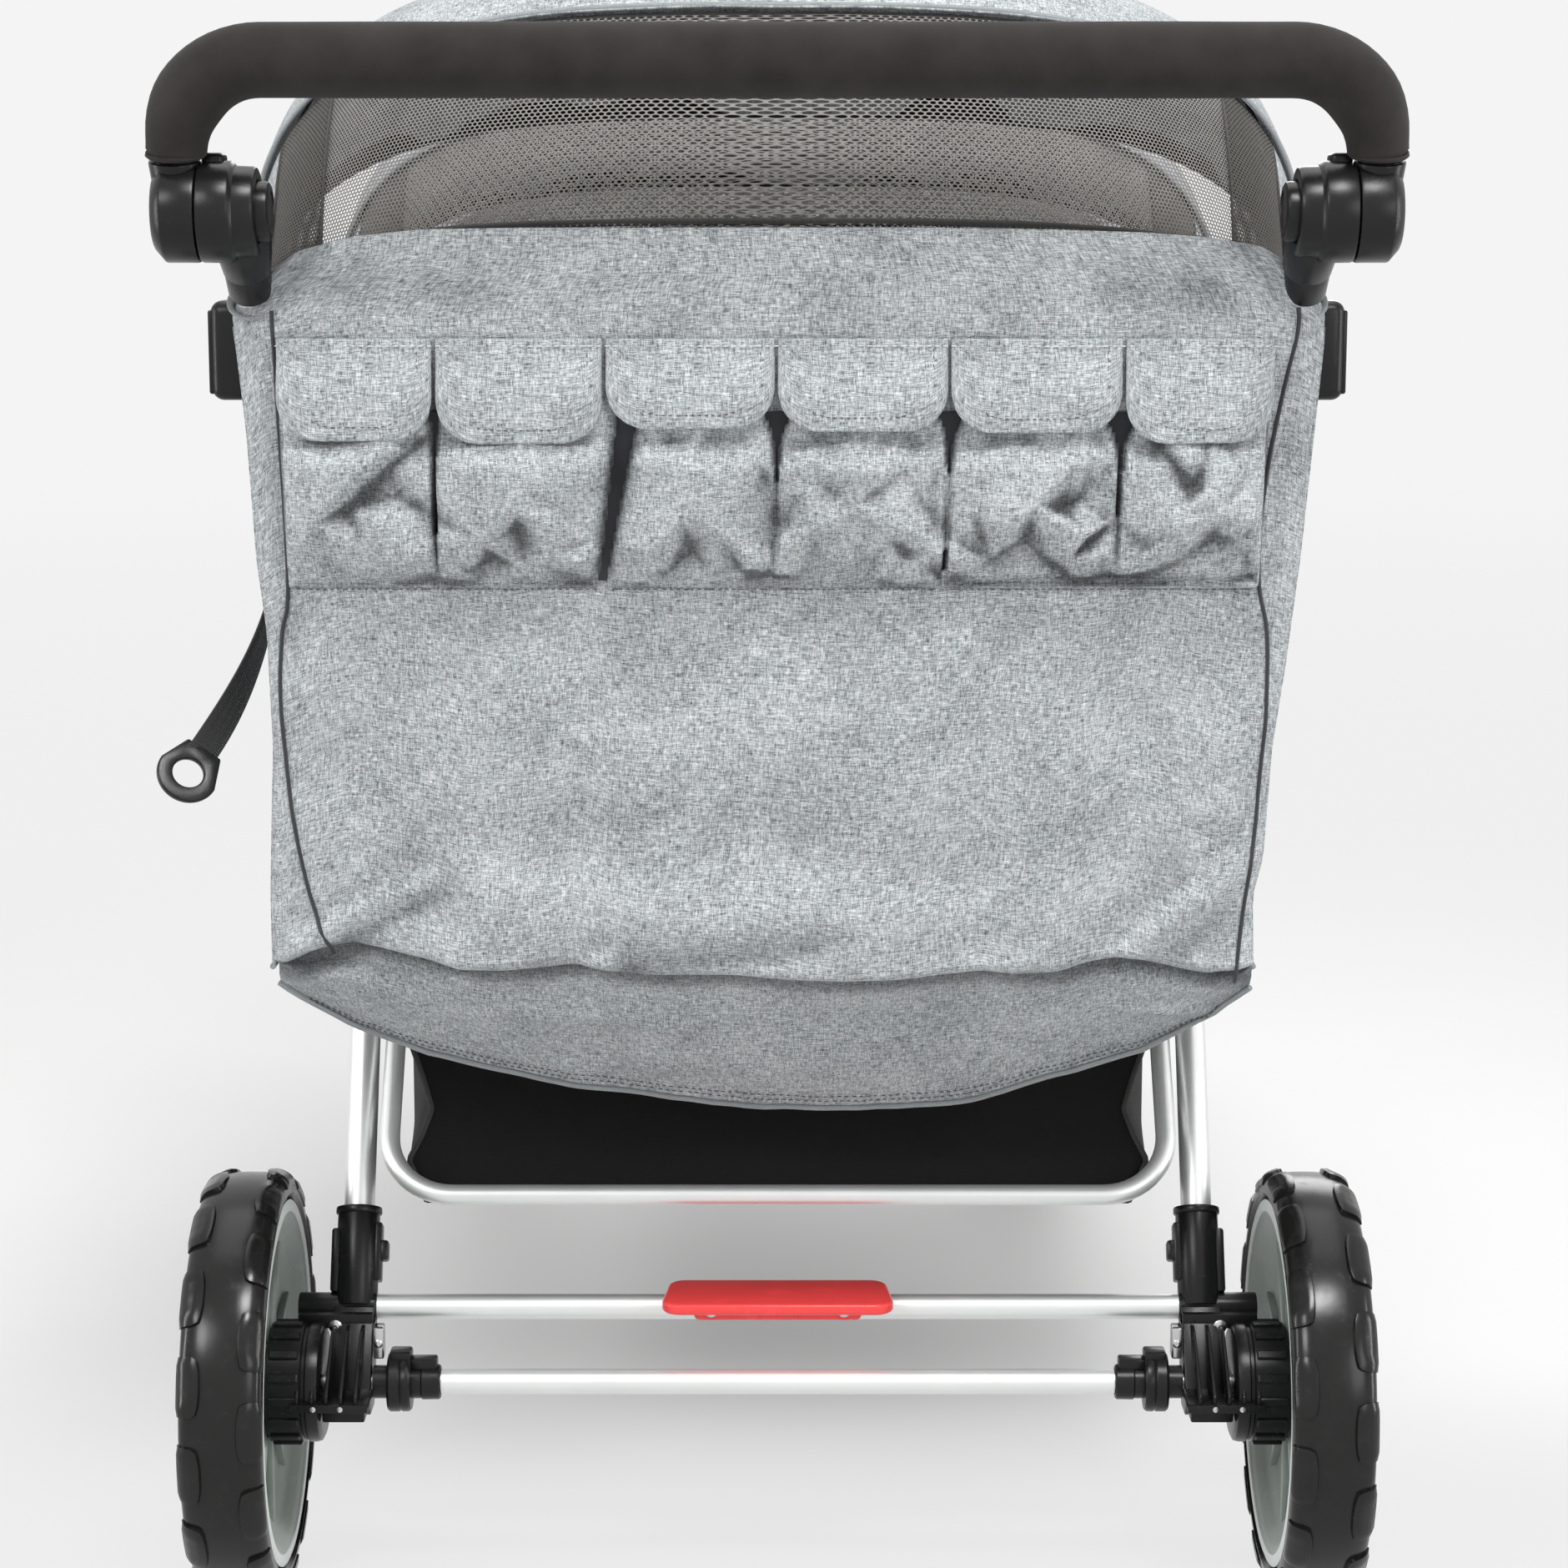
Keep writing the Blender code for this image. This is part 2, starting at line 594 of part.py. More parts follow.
def make_rear_leg(name, side, fold):
    """Leg tube with an eye that turns on the lower rail's boss."""
    pivot, socket, down = leg_line(side)
    leg = solid(f"rear_leg_{name}", bar(pivot, socket + down * (SOCKET_DEPTH - FIT), LEG_RADIUS, 12),
                "aluminium", fold)
    join(leg, bar((side * (LEG_X - LEG_RADIUS), LEG_PIVOT_Y, LEG_PIVOT_Z),
                  (side * (LEG_X + LEG_RADIUS), LEG_PIVOT_Y, LEG_PIVOT_Z), LEG_EYE_RADIUS))


def make_rear_bracket(name, side, fold):
    """Moulded bracket that joins the leg, the end of the brake bar and the axle."""
    socket_x = side * LEG_X
    pivot, socket, down = leg_line(side)
    brake = Vector((socket_x, BRAKE_BAR_Y, BRAKE_BAR_Z))
    bracket = solid(f"rear_bracket_{name}", bar(socket, brake, SOCKET_RADIUS), "black_plastic", fold)
    web = [
        (-AXLE_BLOCK_RADIUS, AXLE_Z - AXLE_BLOCK_RADIUS * 0.5),
        (-AXLE_BLOCK_RADIUS * 0.5, AXLE_Z - AXLE_BLOCK_RADIUS),
        (AXLE_BLOCK_RADIUS * 0.5, AXLE_Z - AXLE_BLOCK_RADIUS),
        (AXLE_BLOCK_RADIUS, AXLE_Z - AXLE_BLOCK_RADIUS * 0.5),
        (BRAKE_BAR_Y + BRAKE_ARM_RADIUS, BRAKE_BAR_Z),
        (BRAKE_BAR_Y - BRAKE_ARM_RADIUS, BRAKE_BAR_Z + 0.004),
    ]
    half = SOCKET_RADIUS - 0.001
    arm_start = (side * BRACKET_INNER_X, BRAKE_BAR_Y, BRAKE_BAR_Z)
    arm_end = (side * BRAKE_ARM_END_X, BRAKE_BAR_Y, BRAKE_BAR_Z)
    join(bracket, bar(arm_start, arm_end, BRAKE_ARM_RADIUS), prism(web, socket_x - half, socket_x + half))
    bore_start = socket - down * 0.02
    cut(bracket, bar(bore_start, socket + down * SOCKET_DEPTH, LEG_RADIUS + FIT, 12),
        bar((side * (BRACKET_INNER_X - 0.01), 0, AXLE_Z), (side * (REAR_DRUM_X + 0.01), 0, AXLE_Z),
            AXLE_RADIUS + FIT))


def make_axle_sleeve(name, side, fold):
    """Collared spacer between the axle tube and the bracket."""
    collar = BRACKET_INNER_X - 0.010
    bore = AXLE_RADIUS + FIT
    profile = [
        (side * SLEEVE_END_X, bore),
        (side * SLEEVE_END_X, SLEEVE_RADIUS),
        (side * (collar - SLEEVE_COLLAR_WIDTH), SLEEVE_RADIUS),
        (side * (collar - SLEEVE_COLLAR_WIDTH), SLEEVE_COLLAR_RADIUS),
        (side * collar, SLEEVE_COLLAR_RADIUS),
        (side * collar, SLEEVE_RADIUS),
        (side * (BRACKET_INNER_X - FIT), SLEEVE_RADIUS),
        (side * (BRACKET_INNER_X - FIT), bore),
    ]
    solid(f"axle_sleeve_{name}", turned(profile, 0, AXLE_Z, ring=True), "black_plastic", fold)


def make_rear_axle(fold):
    """Steel axle through both wheels, stepped up to the tube between the sleeves."""
    tube_end = SLEEVE_END_X - FIT
    axle_end = REAR_TYRE_X + REAR_TYRE_WIDTH - 0.008
    half = [(axle_end, 0), (axle_end, AXLE_RADIUS), (tube_end, AXLE_RADIUS), (tube_end, AXLE_TUBE_RADIUS)]
    profile = half + [(-x, radius) for x, radius in reversed(half)]
    solid("rear_axle", turned(profile, 0, AXLE_Z), "aluminium", fold)


def make_rear_wheel(name, side, spin):
    outer_x = REAR_TYRE_X + REAR_TYRE_WIDTH
    seat_radius = REAR_WHEEL_RADIUS - REAR_TYRE_DEPTH
    solid(f"rear_tyre_{name}", tyre(side, REAR_TYRE_X, outer_x, REAR_WHEEL_RADIUS, seat_radius, 0, AXLE_Z),
          "tyre", spin)
    middle = (REAR_TYRE_X + outer_x) / 2
    web_in = middle - WEB_THICKNESS / 2
    web_out = middle + WEB_THICKNESS / 2
    rim_in = REAR_TYRE_X + REAR_RIM_INSET
    rim_out = outer_x - REAR_RIM_INSET
    rim_radius = seat_radius - FIT
    well = rim_radius - REAR_RIM_DEPTH
    bore = AXLE_RADIUS + FIT
    drum_end = REAR_TYRE_X - 0.002
    bore_end = outer_x - 0.006
    profile = [
        (bore_end, 0),
        (bore_end, bore),
        (REAR_DRUM_X, bore),
        (REAR_DRUM_X, REAR_DRUM_RADIUS),
        (drum_end, REAR_DRUM_RADIUS),
        (drum_end, HUB_RADIUS),
        (web_in, HUB_RADIUS),
        (web_in, well),
        (rim_in, well + 0.006),
        (rim_in, rim_radius),
        (rim_out, rim_radius),
        (rim_out, well + 0.006),
        (web_out, well),
        (web_out, HUB_RADIUS),
        (outer_x + HUB_PROUD, HUB_RADIUS - 0.005),
        (outer_x + HUB_PROUD, 0),
    ]
    profile = [(side * x, radius) for x, radius in profile]
    solid(f"rear_rim_{name}", turned(profile, 0, AXLE_Z, WHEEL_SEGMENTS), "rim_grey", spin)


def tyre(side, inner_x, outer_x, radius, seat_radius, y, z):
    """Ring with rounded shoulders."""
    width = outer_x - inner_x
    depth = radius - seat_radius
    profile = [
        (inner_x + width * 0.10, seat_radius),
        (inner_x, seat_radius + depth * 0.30),
        (inner_x + width * 0.04, radius - depth * 0.30),
        (inner_x + width * 0.22, radius),
        (outer_x - width * 0.22, radius),
        (outer_x - width * 0.04, radius - depth * 0.30),
        (outer_x, seat_radius + depth * 0.30),
        (outer_x - width * 0.10, seat_radius),
    ]
    profile = [(side * x, r) for x, r in profile]
    return turned(profile, y, z, WHEEL_SEGMENTS, ring=True)


# The brake

def make_brake(brake):
    """Bar that turns in the brackets and a pedal clamped on its middle."""
    bar_end = BRACKET_INNER_X - FIT
    solid("brake_bar", bar((-bar_end, BRAKE_BAR_Y, BRAKE_BAR_Z), (bar_end, BRAKE_BAR_Y, BRAKE_BAR_Z),
                           BRAKE_BAR_RADIUS), "aluminium", brake)
    under = BRAKE_BAR_Z + BRAKE_BAR_RADIUS + FIT
    front = BRAKE_BAR_Y + BRAKE_BAR_RADIUS
    flange = block((-PEDAL_HALF_WIDTH, front - PEDAL_DEPTH, under),
                   (PEDAL_HALF_WIDTH, front, under + PEDAL_THICKNESS), edge=0.002)
    clamp_front = BRAKE_BAR_Y - BRAKE_BAR_RADIUS - FIT
    clamp = block((-PEDAL_CLAMP_HALF_WIDTH, clamp_front - PEDAL_CLAMP_THICKNESS, under - PEDAL_CLAMP_HEIGHT),
                  (PEDAL_CLAMP_HALF_WIDTH, clamp_front, under + PEDAL_THICKNESS / 2), edge=0.001)
    join(solid("brake_pedal", flange, "red_plastic", brake), clamp)


# The front casters

def make_caster_housing(name, side):
    """Upright bearing at the foot of the push rail."""
    bottom = FORK_CROWN_Z + FORK_CROWN_HEIGHT + FIT
    centre = (side * CASTER_X, CASTER_Y)
    housing = solid(f"caster_housing_{name}", bar((*centre, bottom), (*centre, caster_top_z()),
                                                  HOUSING_RADIUS), "black_plastic")
    cut(housing, bar((*centre, bottom - 0.01), (*centre, bottom + STEM_LENGTH + FIT), STEM_RADIUS + FIT))


def make_fork(name, side, swivel):
    """Trailing fork with its stem and the pin that carries the wheel."""
    x = side * CASTER_X
    axle_y = CASTER_Y - CASTER_TRAIL
    axle_z = FRONT_WHEEL_RADIUS
    top = FORK_CROWN_Z + FORK_CROWN_HEIGHT
    inside = FRONT_TYRE_WIDTH / 2 + RUNNING_GAP
    outside = inside + FORK_PLATE
    leg = [
        (CASTER_Y + HOUSING_RADIUS, top - 0.001),
        (CASTER_Y - 0.030, top - 0.001),
        (axle_y - 0.014, axle_z + 0.002),
        (axle_y - 0.008, axle_z - 0.012),
        (axle_y + 0.010, axle_z - 0.010),
        (CASTER_Y + HOUSING_RADIUS, FORK_CROWN_Z - 0.010),
    ]
    crown = block((x - outside + 0.0005, CASTER_Y - 0.028, FORK_CROWN_Z),
                  (x + outside - 0.0005, CASTER_Y + HOUSING_RADIUS - 0.002, top))
    fork = solid(f"fork_{name}", crown, "black_plastic", swivel)
    join(fork,
         prism(leg, x - outside, x - inside),
         prism(leg, x + inside, x + outside),
         bar((x, CASTER_Y, FORK_CROWN_Z + 0.005), (x, CASTER_Y, top + STEM_LENGTH), STEM_RADIUS),
         bar((x - outside + 0.001, axle_y, axle_z), (x + outside - 0.001, axle_y, axle_z), FRONT_PIN_RADIUS))


def make_front_wheel(name, side, spin):
    axle_y = CASTER_Y - CASTER_TRAIL
    half = FRONT_TYRE_WIDTH / 2
    seat_radius = FRONT_WHEEL_RADIUS - FRONT_TYRE_DEPTH
    solid(f"front_tyre_{name}",
          tyre(1, side * CASTER_X - half, side * CASTER_X + half, FRONT_WHEEL_RADIUS, seat_radius,
               axle_y, FRONT_WHEEL_RADIUS), "tyre", spin)
    rim_half = half - FRONT_RIM_INSET
    web_half = FRONT_WEB_THICKNESS / 2
    rim_radius = seat_radius - FIT
    well = rim_radius - FRONT_RIM_DEPTH
    bore = FRONT_PIN_RADIUS + FIT
    outer_half = [
        (half, bore),
        (half, FRONT_HUB_RADIUS),
        (web_half, FRONT_HUB_RADIUS),
        (web_half, well),
        (rim_half, well + 0.005),
        (rim_half, rim_radius),
    ]
    profile = outer_half + [(-x, radius) for x, radius in reversed(outer_half)]
    profile = [(side * CASTER_X + x, radius) for x, radius in profile]
    solid(f"front_rim_{name}", turned(profile, axle_y, FRONT_WHEEL_RADIUS, WHEEL_SEGMENTS, ring=True),
          "rim_grey", spin)


# The fabric tub

def make_rear_panel():
    """Back of the tub: pockets under flaps near the top and a lip that sweeps in under the seats."""
    lip_z = (REAR_SEAM_Z + LIP_HEM_Z) / 2
    pocket_z = (FLAP_HEM_Z + POCKET_SEAM_Z) / 2
    levels = (
        (REAR_PANEL_TOP_Z, REAR_PANEL_TOP_HALF_WIDTH, 0.0),
        (FLAP_SEAM_Z + REAR_PANEL_NARROWS_ABOVE, REAR_PANEL_TOP_HALF_WIDTH, 0.0),
        (FLAP_SEAM_Z + REAR_PANEL_WIDE_UP_TO, REAR_PANEL_HALF_WIDTH, 0.0),
        (FLAP_SEAM_Z, REAR_PANEL_HALF_WIDTH, 0.0),
        (FLAP_SEAM_Z - FLAP_TUCK, REAR_PANEL_HALF_WIDTH, 0.7),
        (FLAP_HEM_Z, REAR_PANEL_HALF_WIDTH, 1.0),
        (FLAP_HEM_Z - FLAP_HEM_TUCK, REAR_PANEL_HALF_WIDTH, 0.7),
        (pocket_z, REAR_PANEL_HALF_WIDTH, 1.0),
        (POCKET_SEAM_Z + POCKET_SEAM_TUCK, REAR_PANEL_HALF_WIDTH, 0.8),
        (POCKET_SEAM_Z, REAR_PANEL_HALF_WIDTH, 0.0),
        (REAR_SEAM_Z, REAR_PANEL_HALF_WIDTH, 0.0),
        (lip_z, REAR_PANEL_HALF_WIDTH, 0.0),
        (LIP_HEM_Z, REAR_PANEL_HALF_WIDTH, 0.0),
    )
    columns = 12
    rows = []
    for z, half_width, bulge in levels:
        row = []
        for column in range(columns + 1):
            share = 2 * column / columns - 1
            height = z
            if z == REAR_PANEL_TOP_Z:
                height -= REAR_PANEL_CORNER_DROP * share ** 4
            if z < REAR_SEAM_Z:
                height += LIP_CORNER_RISE * abs(share) ** 3 * (REAR_SEAM_Z - z) / (REAR_SEAM_Z - LIP_HEM_Z)
            depth = 0.0 if abs(share) == 1 else POCKET_BULGE * bulge
            row.append((share * half_width, rear_panel_y(height) - depth, height))
        rows.append(row)
    thicken(solid("rear_panel", sheet(rows, (0, -1, 0)), "fabric_grey"), REAR_PANEL_CLOTH)


def make_side_panel(name, side):
    """Side of the tub, from the push rail down past the lower rail."""
    top_z = FLAP_SEAM_Z + SIDE_PANEL_ABOVE_FLAPS
    bottom_z = REAR_SEAM_Z + SIDE_PANEL_ABOVE_SEAM
    front_y = PUSH_RAIL_FRONT_Y - 0.005
    behind = REAR_PANEL_CLOTH * 1.1 + FIT
    outline = [(rear_panel_y(z) + behind, z) for z in (bottom_z, POCKET_SEAM_Z, FLAP_SEAM_Z, top_z)]
    outline.append((front_y, push_rail_z(front_y) + SIDE_PANEL_ABOVE_RAIL))
    outline.append((front_y, lower_rail_z(front_y) - SIDE_PANEL_BELOW_RAIL))
    solid(f"side_panel_{name}", prism(outline, side * SIDE_PANEL_X, side * (SIDE_PANEL_X + CLOTH)),
          "fabric_grey")


def row_start(row):
    return ROWS.index(row) * ROW_PITCH


def seat_top_z(row):
    return SEAT_TOP_Z - ROWS.index(row) * ROW_DROP


def make_seat(row):
    """Bench cushion for two, laid across the lower rails."""
    back = row_start(row) + SEAT_BACK_Y
    front = back + SEAT_DEPTH
    over_rail = LOWER_RAIL_RADIUS + FIT
    top = seat_top_z(row)
    outline = [
        (back, lower_rail_z(back) + over_rail),
        (front, lower_rail_z(front) + over_rail),
        (front, top),
        (back, top),
    ]
    bm = prism(outline, -SEAT_HALF_WIDTH, SEAT_HALF_WIDTH)
    bmesh.ops.bevel(bm, geom=list(bm.edges), offset=SEAT_EDGE, segments=1, profile=0.5,
                    affect="EDGES", material=-1)
    solid(f"seat_{row}", bm, "fabric_grey")


def make_footwell(row):
    """Open box for the feet, hung by its flanges on the lower rails."""
    back = row_start(row) + SEAT_BACK_Y + SEAT_DEPTH + FIT
    last = row == ROWS[-1]
    front = FOOTWELL_FRONT_Y if last else back + ROW_PITCH - SEAT_DEPTH - 2 * FIT
    floor = FOOTWELL_FLOOR_Z - ROWS.index(row) * FOOTWELL_DROP
    flange = lower_rail_z(back) + LOWER_RAIL_RADIUS + FIT
    rim = FOOTWELL_FRONT_RIM_Z if last else flange + FOOTWELL_FLANGE
    half = FOOTWELL_HALF_WIDTH
    well = solid(f"footwell_{row}", block((-half, back, floor), (half, front, rim)), "fabric_grey")
    if not last:
        flange_half = SIDE_PANEL_X - FIT
        join(well, block((-flange_half, back + FIT, flange), (flange_half, front - FIT, rim - FIT)))
    cut(well, block((CLOTH - half, back + CLOTH, floor + CLOTH), (half - CLOTH, front - CLOTH, rim + 0.05)))


def make_backrest(row, recline):
    """Padded back for two that turns on a cross pin just above the seat."""
    y = row_start(row) + BACKREST_AHEAD
    z = seat_top_z(row)
    half = BACKREST_THICKNESS / 2
    pad = block((-BACKREST_HALF_WIDTH, -half, -BACKREST_BELOW_PIVOT),
                (BACKREST_HALF_WIDTH, half, BACKREST_HEIGHT), edge=0.009)
    lean = Matrix.Translation((0, y, z)) @ Matrix.Rotation(BACKREST_LEAN, 4, "X")
    bmesh.ops.transform(pad, matrix=lean, verts=pad.verts)
    pin_end = SIDE_PANEL_X - FIT
    join(solid(f"backrest_{row}", pad, "fabric_grey", recline),
         bar((-pin_end, y, z), (pin_end, y, z), BACKREST_PIN_RADIUS, 10))


def basket_back_y(z, inward=0.0):
    """Back wall of the basket, which leans along the front of its hoop."""
    lean = (HOOP_Y - HOOP_BOTTOM_Y) / (HOOP_TOP_Z - HOOP_UPRIGHT - HOOP_BOTTOM_Z)
    return HOOP_BOTTOM_Y + (z - HOOP_BOTTOM_Z) * lean + (HOOP_RADIUS + FIT + inward) * math.hypot(1, lean)


def make_basket():
    """Shopping basket, open at the top, with a narrower end that reaches back to its hoop."""
    half = HOOP_X - BASKET_SIDE_INSET
    middle = HOOP_Y + HOOP_RADIUS + FIT
    rear_half = HOOP_X - HOOP_RADIUS - FIT
    rear_floor = HOOP_BOTTOM_Z - HOOP_RADIUS
    rear_top = BASKET_TOP_Z - FIT
    over = BASKET_TOP_Z + BASKET_WALL
    basket = solid("basket", block((-half, middle, BASKET_FLOOR_Z), (half, BASKET_FRONT_Y, BASKET_TOP_Z)),
                   "fabric_black")
    join(basket, prism([
        (basket_back_y(rear_floor), rear_floor),
        (basket_back_y(rear_top), rear_top),
        (middle + BASKET_WALL, rear_top),
        (middle + BASKET_WALL, rear_floor),
    ], -rear_half, rear_half))
    inner_floor = rear_floor + BASKET_WALL
    cut(basket, block((BASKET_WALL - half, middle + BASKET_WALL, BASKET_FLOOR_Z + BASKET_WALL),
                      (half - BASKET_WALL, BASKET_FRONT_Y - BASKET_WALL, over)),
        prism([
            (basket_back_y(inner_floor, BASKET_WALL), inner_floor),
            (basket_back_y(over, BASKET_WALL), over),
            (middle + 2 * BASKET_WALL, over),
            (middle + 2 * BASKET_WALL, inner_floor),
        ], BASKET_WALL - rear_half, rear_half - BASKET_WALL))


def make_strap():
    """Storage strap on the left side of the tub: it twists to face backwards and ends in a ring."""
    start_x = -(SIDE_PANEL_X + CLOTH + FIT)
    drop = Vector((0, STRAP_END_Y - STRAP_TOP_Y, STRAP_END_Z - STRAP_TOP_Z))
    top_across = Vector((0, -drop.z, drop.y)).normalized()
    end_run = (drop + Vector((-2 * STRAP_SWING, 0, 0))).normalized()
    end_across = Vector((-end_run.z, 0, end_run.x)).normalized()
    rows = []
    for step in range(STRAP_STEPS + 1):
        share = step / STRAP_STEPS
        centre = Vector((start_x, STRAP_TOP_Y, STRAP_TOP_Z)) + drop * share
        centre.x -= STRAP_SWING * share ** 2
        across = top_across.slerp(end_across, share ** 2) * STRAP_WIDTH / 2
        rows.append((centre - across, centre + across))
    strap = thicken(solid("strap", sheet(rows, (1, 0, 0)), "webbing"), STRAP_THICKNESS)
    ring = Vector((start_x - STRAP_SWING, STRAP_END_Y, STRAP_END_Z)) + end_run * RING_HOLE_RADIUS
    half = end_run.cross(end_across) * STRAP_THICKNESS
    join(strap, bar(ring - half, ring + half, RING_RADIUS))
    cut(strap, bar(ring - half * 3, ring + half * 3, RING_HOLE_RADIUS, 12))


# The hoods

def hood_pivot(row):
    y = row_start(row) + HOOD_PIVOT_Y
    return y, push_rail_z(y)


def hood_section(name, row, section, parent=None, ear_inner=HOOD_NECK_RADIUS + 2 * FIT):
    """Shell of one hood section: a squared arch turned about the hood's pivots."""
    layer = list(HOOD_SECTIONS).index(section)
    first, last = (math.radians(angle) for angle in HOOD_SECTIONS[section])
    radius = HOOD_RADIUS + layer * HOOD_RADIUS_STEP
    half_width = HOOD_HALF_WIDTH + layer * HOOD_WIDTH_STEP
    power = 2 / HOOD_SQUARENESS
    end = math.acos((HOOD_EAR_RADIUS / radius) ** (1 / power))
    arch = []
    for step in range(HOOD_ARCH_STEPS + 1):
        angle = end * (2 * step / HOOD_ARCH_STEPS - 1)
        x = math.copysign(abs(math.sin(angle)) ** power, angle) * half_width
        arch.append((x, radius * math.cos(angle) ** power))
    arch = [(arch[0][0], ear_inner)] + arch + [(arch[-1][0], ear_inner)]
    y, z = hood_pivot(row)
    bm = bmesh.new()
    verts = [bm.verts.new((x, y + r * math.cos(first), z + r * math.sin(first))) for x, r in arch]
    edges = [bm.edges.new(pair) for pair in zip(verts, verts[1:])]
    bmesh.ops.spin(bm, geom=verts + edges, cent=(0, y, z), axis=(1, 0, 0), angle=last - first,
                   steps=HOOD_SPIN_STEPS, use_duplicate=False)
    bmesh.ops.recalc_face_normals(bm, faces=bm.faces)
    crown = max(bm.faces, key=lambda face: (face.calc_center_median() - Vector((0, y, z))).length)
    if crown.normal.dot(crown.calc_center_median() - Vector((0, y, z))) < 0:
        bmesh.ops.reverse_faces(bm, faces=bm.faces)
    finish = "mesh" if section == "back" else "fabric_grey"
    return thicken(solid(name, bm, finish, parent), HOOD_CLOTH)


def clamp_shapes(row, side):
    """Neck that the sections turn on, and the clamp outside them."""
    y, z = hood_pivot(row)
    neck = bar((side * HOOD_NECK_START_X, y, z), (side * (HOOD_NECK_END_X + 0.002), y, z), HOOD_NECK_RADIUS)
    head = block((side * HOOD_NECK_END_X, y - HOOD_CLAMP_DEPTH / 2, z - HOOD_CLAMP_BELOW),
                 (side * (HOOD_NECK_END_X + HOOD_CLAMP_WIDTH), y + HOOD_CLAMP_DEPTH / 2,
                  z + HOOD_CLAMP_ABOVE), edge=0.004)
    return head, neck


def make_hood(row, middle_joint, front_joint):
    """Mesh back section that stays put, and two sections that fold back over it."""
    if row == ROWS[0]:
        hood_section(f"hood_{row}_back", row, "back")
        for name, side in SIDES.items():
            head, neck = clamp_shapes(row, side)
            join(solid(f"hood_clamp_{name}", head, "black_plastic"), neck)
    else:
        back = hood_section(f"hood_{row}_back", row, "back", ear_inner=HOOD_NECK_RADIUS / 2)
        join(back, *[shape for side in SIDES.values() for shape in reversed(clamp_shapes(row, side))])
    hood_section(f"hood_{row}_middle", row, "middle", middle_joint)
    hood_section(f"hood_{row}_front", row, "front", front_joint)


def build():
    fold = joint("rear_fold", (0, LEG_PIVOT_Y, LEG_PIVOT_Z))
    brake = joint("brake", (0, BRAKE_BAR_Y, BRAKE_BAR_Z), fold)
    tilt = joint("handle_tilt", (0, KNUCKLE_Y, KNUCKLE_Z))
    make_rear_hoop()
    make_bumper_bar()
    make_handle(tilt)
    make_rear_axle(fold)
    make_brake(brake)
    for name, side in SIDES.items():
        make_push_rail(name, side)
        make_lower_rail(name, side)
        make_knuckle_upper(name, side, tilt)
        make_knuckle_lower(name, side)
        make_knuckle_button(name, side, joint(f"press_{name}", (side * KNUCKLE_INNER_X, KNUCKLE_Y, KNUCKLE_Z)))
        make_rear_leg(name, side, fold)
        make_rear_bracket(name, side, fold)
        make_axle_sleeve(name, side, fold)
        make_rear_wheel(name, side, joint(f"rear_spin_{name}", (side * REAR_TYRE_X, 0, AXLE_Z), fold))
        make_caster_housing(name, side)
        swivel = joint(f"swivel_{name}", (side * CASTER_X, CASTER_Y, FORK_CROWN_Z))
        make_fork(name, side, swivel)
        wheel_place = (side * CASTER_X, CASTER_Y - CASTER_TRAIL, FRONT_WHEEL_RADIUS)
        make_front_wheel(name, side, joint(f"front_spin_{name}", wheel_place, swivel))
        make_side_panel(name, side)
    make_rear_panel()
    make_basket()
    make_strap()
    for row in ROWS:
        make_seat(row)
        make_footwell(row)
        back_place = (0, row_start(row) + BACKREST_AHEAD, seat_top_z(row))
        make_backrest(row, joint(f"recline_{row}", back_place))
        pivot = (0, *hood_pivot(row))
        make_hood(row, joint(f"hood_{row}_middle_turn", pivot), joint(f"hood_{row}_front_turn", pivot))


for leftover in list(bpy.data.objects):
    bpy.data.objects.remove(leftover)

FINISHES = make_materials()
STROLLER = bpy.data.objects.new("stroller", None)
STROLLER.location = (0, AXLE_Y, 0)
bpy.context.scene.collection.objects.link(STROLLER)
PLACES = {"stroller": Vector((0, 0, 0))}
build()
bpy.context.view_layer.update()
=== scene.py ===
"""Six-seat stroller seen from behind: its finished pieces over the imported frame.

Metres. Shapes are made with forward distances from the rear axle and heights from the floor, and each
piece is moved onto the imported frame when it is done.
"""

import math

import bmesh
import bpy
from mathutils import Matrix, Vector, noise
from mathutils.bvhtree import BVHTree
from mathutils.geometry import delaunay_2d_cdt


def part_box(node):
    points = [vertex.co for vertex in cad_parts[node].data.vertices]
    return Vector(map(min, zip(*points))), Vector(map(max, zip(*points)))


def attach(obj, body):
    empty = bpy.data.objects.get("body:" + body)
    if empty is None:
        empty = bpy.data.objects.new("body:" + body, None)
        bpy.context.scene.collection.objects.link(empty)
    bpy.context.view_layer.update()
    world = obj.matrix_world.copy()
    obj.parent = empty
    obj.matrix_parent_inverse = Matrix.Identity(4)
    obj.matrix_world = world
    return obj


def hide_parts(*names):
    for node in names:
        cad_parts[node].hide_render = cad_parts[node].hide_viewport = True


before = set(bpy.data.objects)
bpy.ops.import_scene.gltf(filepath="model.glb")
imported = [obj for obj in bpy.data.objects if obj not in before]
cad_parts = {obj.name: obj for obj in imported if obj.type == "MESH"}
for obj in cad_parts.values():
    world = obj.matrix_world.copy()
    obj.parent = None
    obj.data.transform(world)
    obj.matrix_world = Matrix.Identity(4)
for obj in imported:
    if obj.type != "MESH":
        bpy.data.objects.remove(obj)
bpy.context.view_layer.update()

AXLE_Y = -0.5375
SIDES = {"left": -1, "right": 1}
ROWS = {"rear": 0, "middle": 1, "front": 2}
ROW_PITCH = 0.420
# A rear wheel's radius, which is also the height of its centre, and the line of the brake bar
REAR_WHEEL = 0.145
BRAKE_Y, BRAKE_Z = 0.030, 0.188
KNUCKLE_Y, KNUCKLE_Z = -0.230, 0.930
RAIL_BEND_Y, RAIL_BEND_Z = -0.165, 0.862
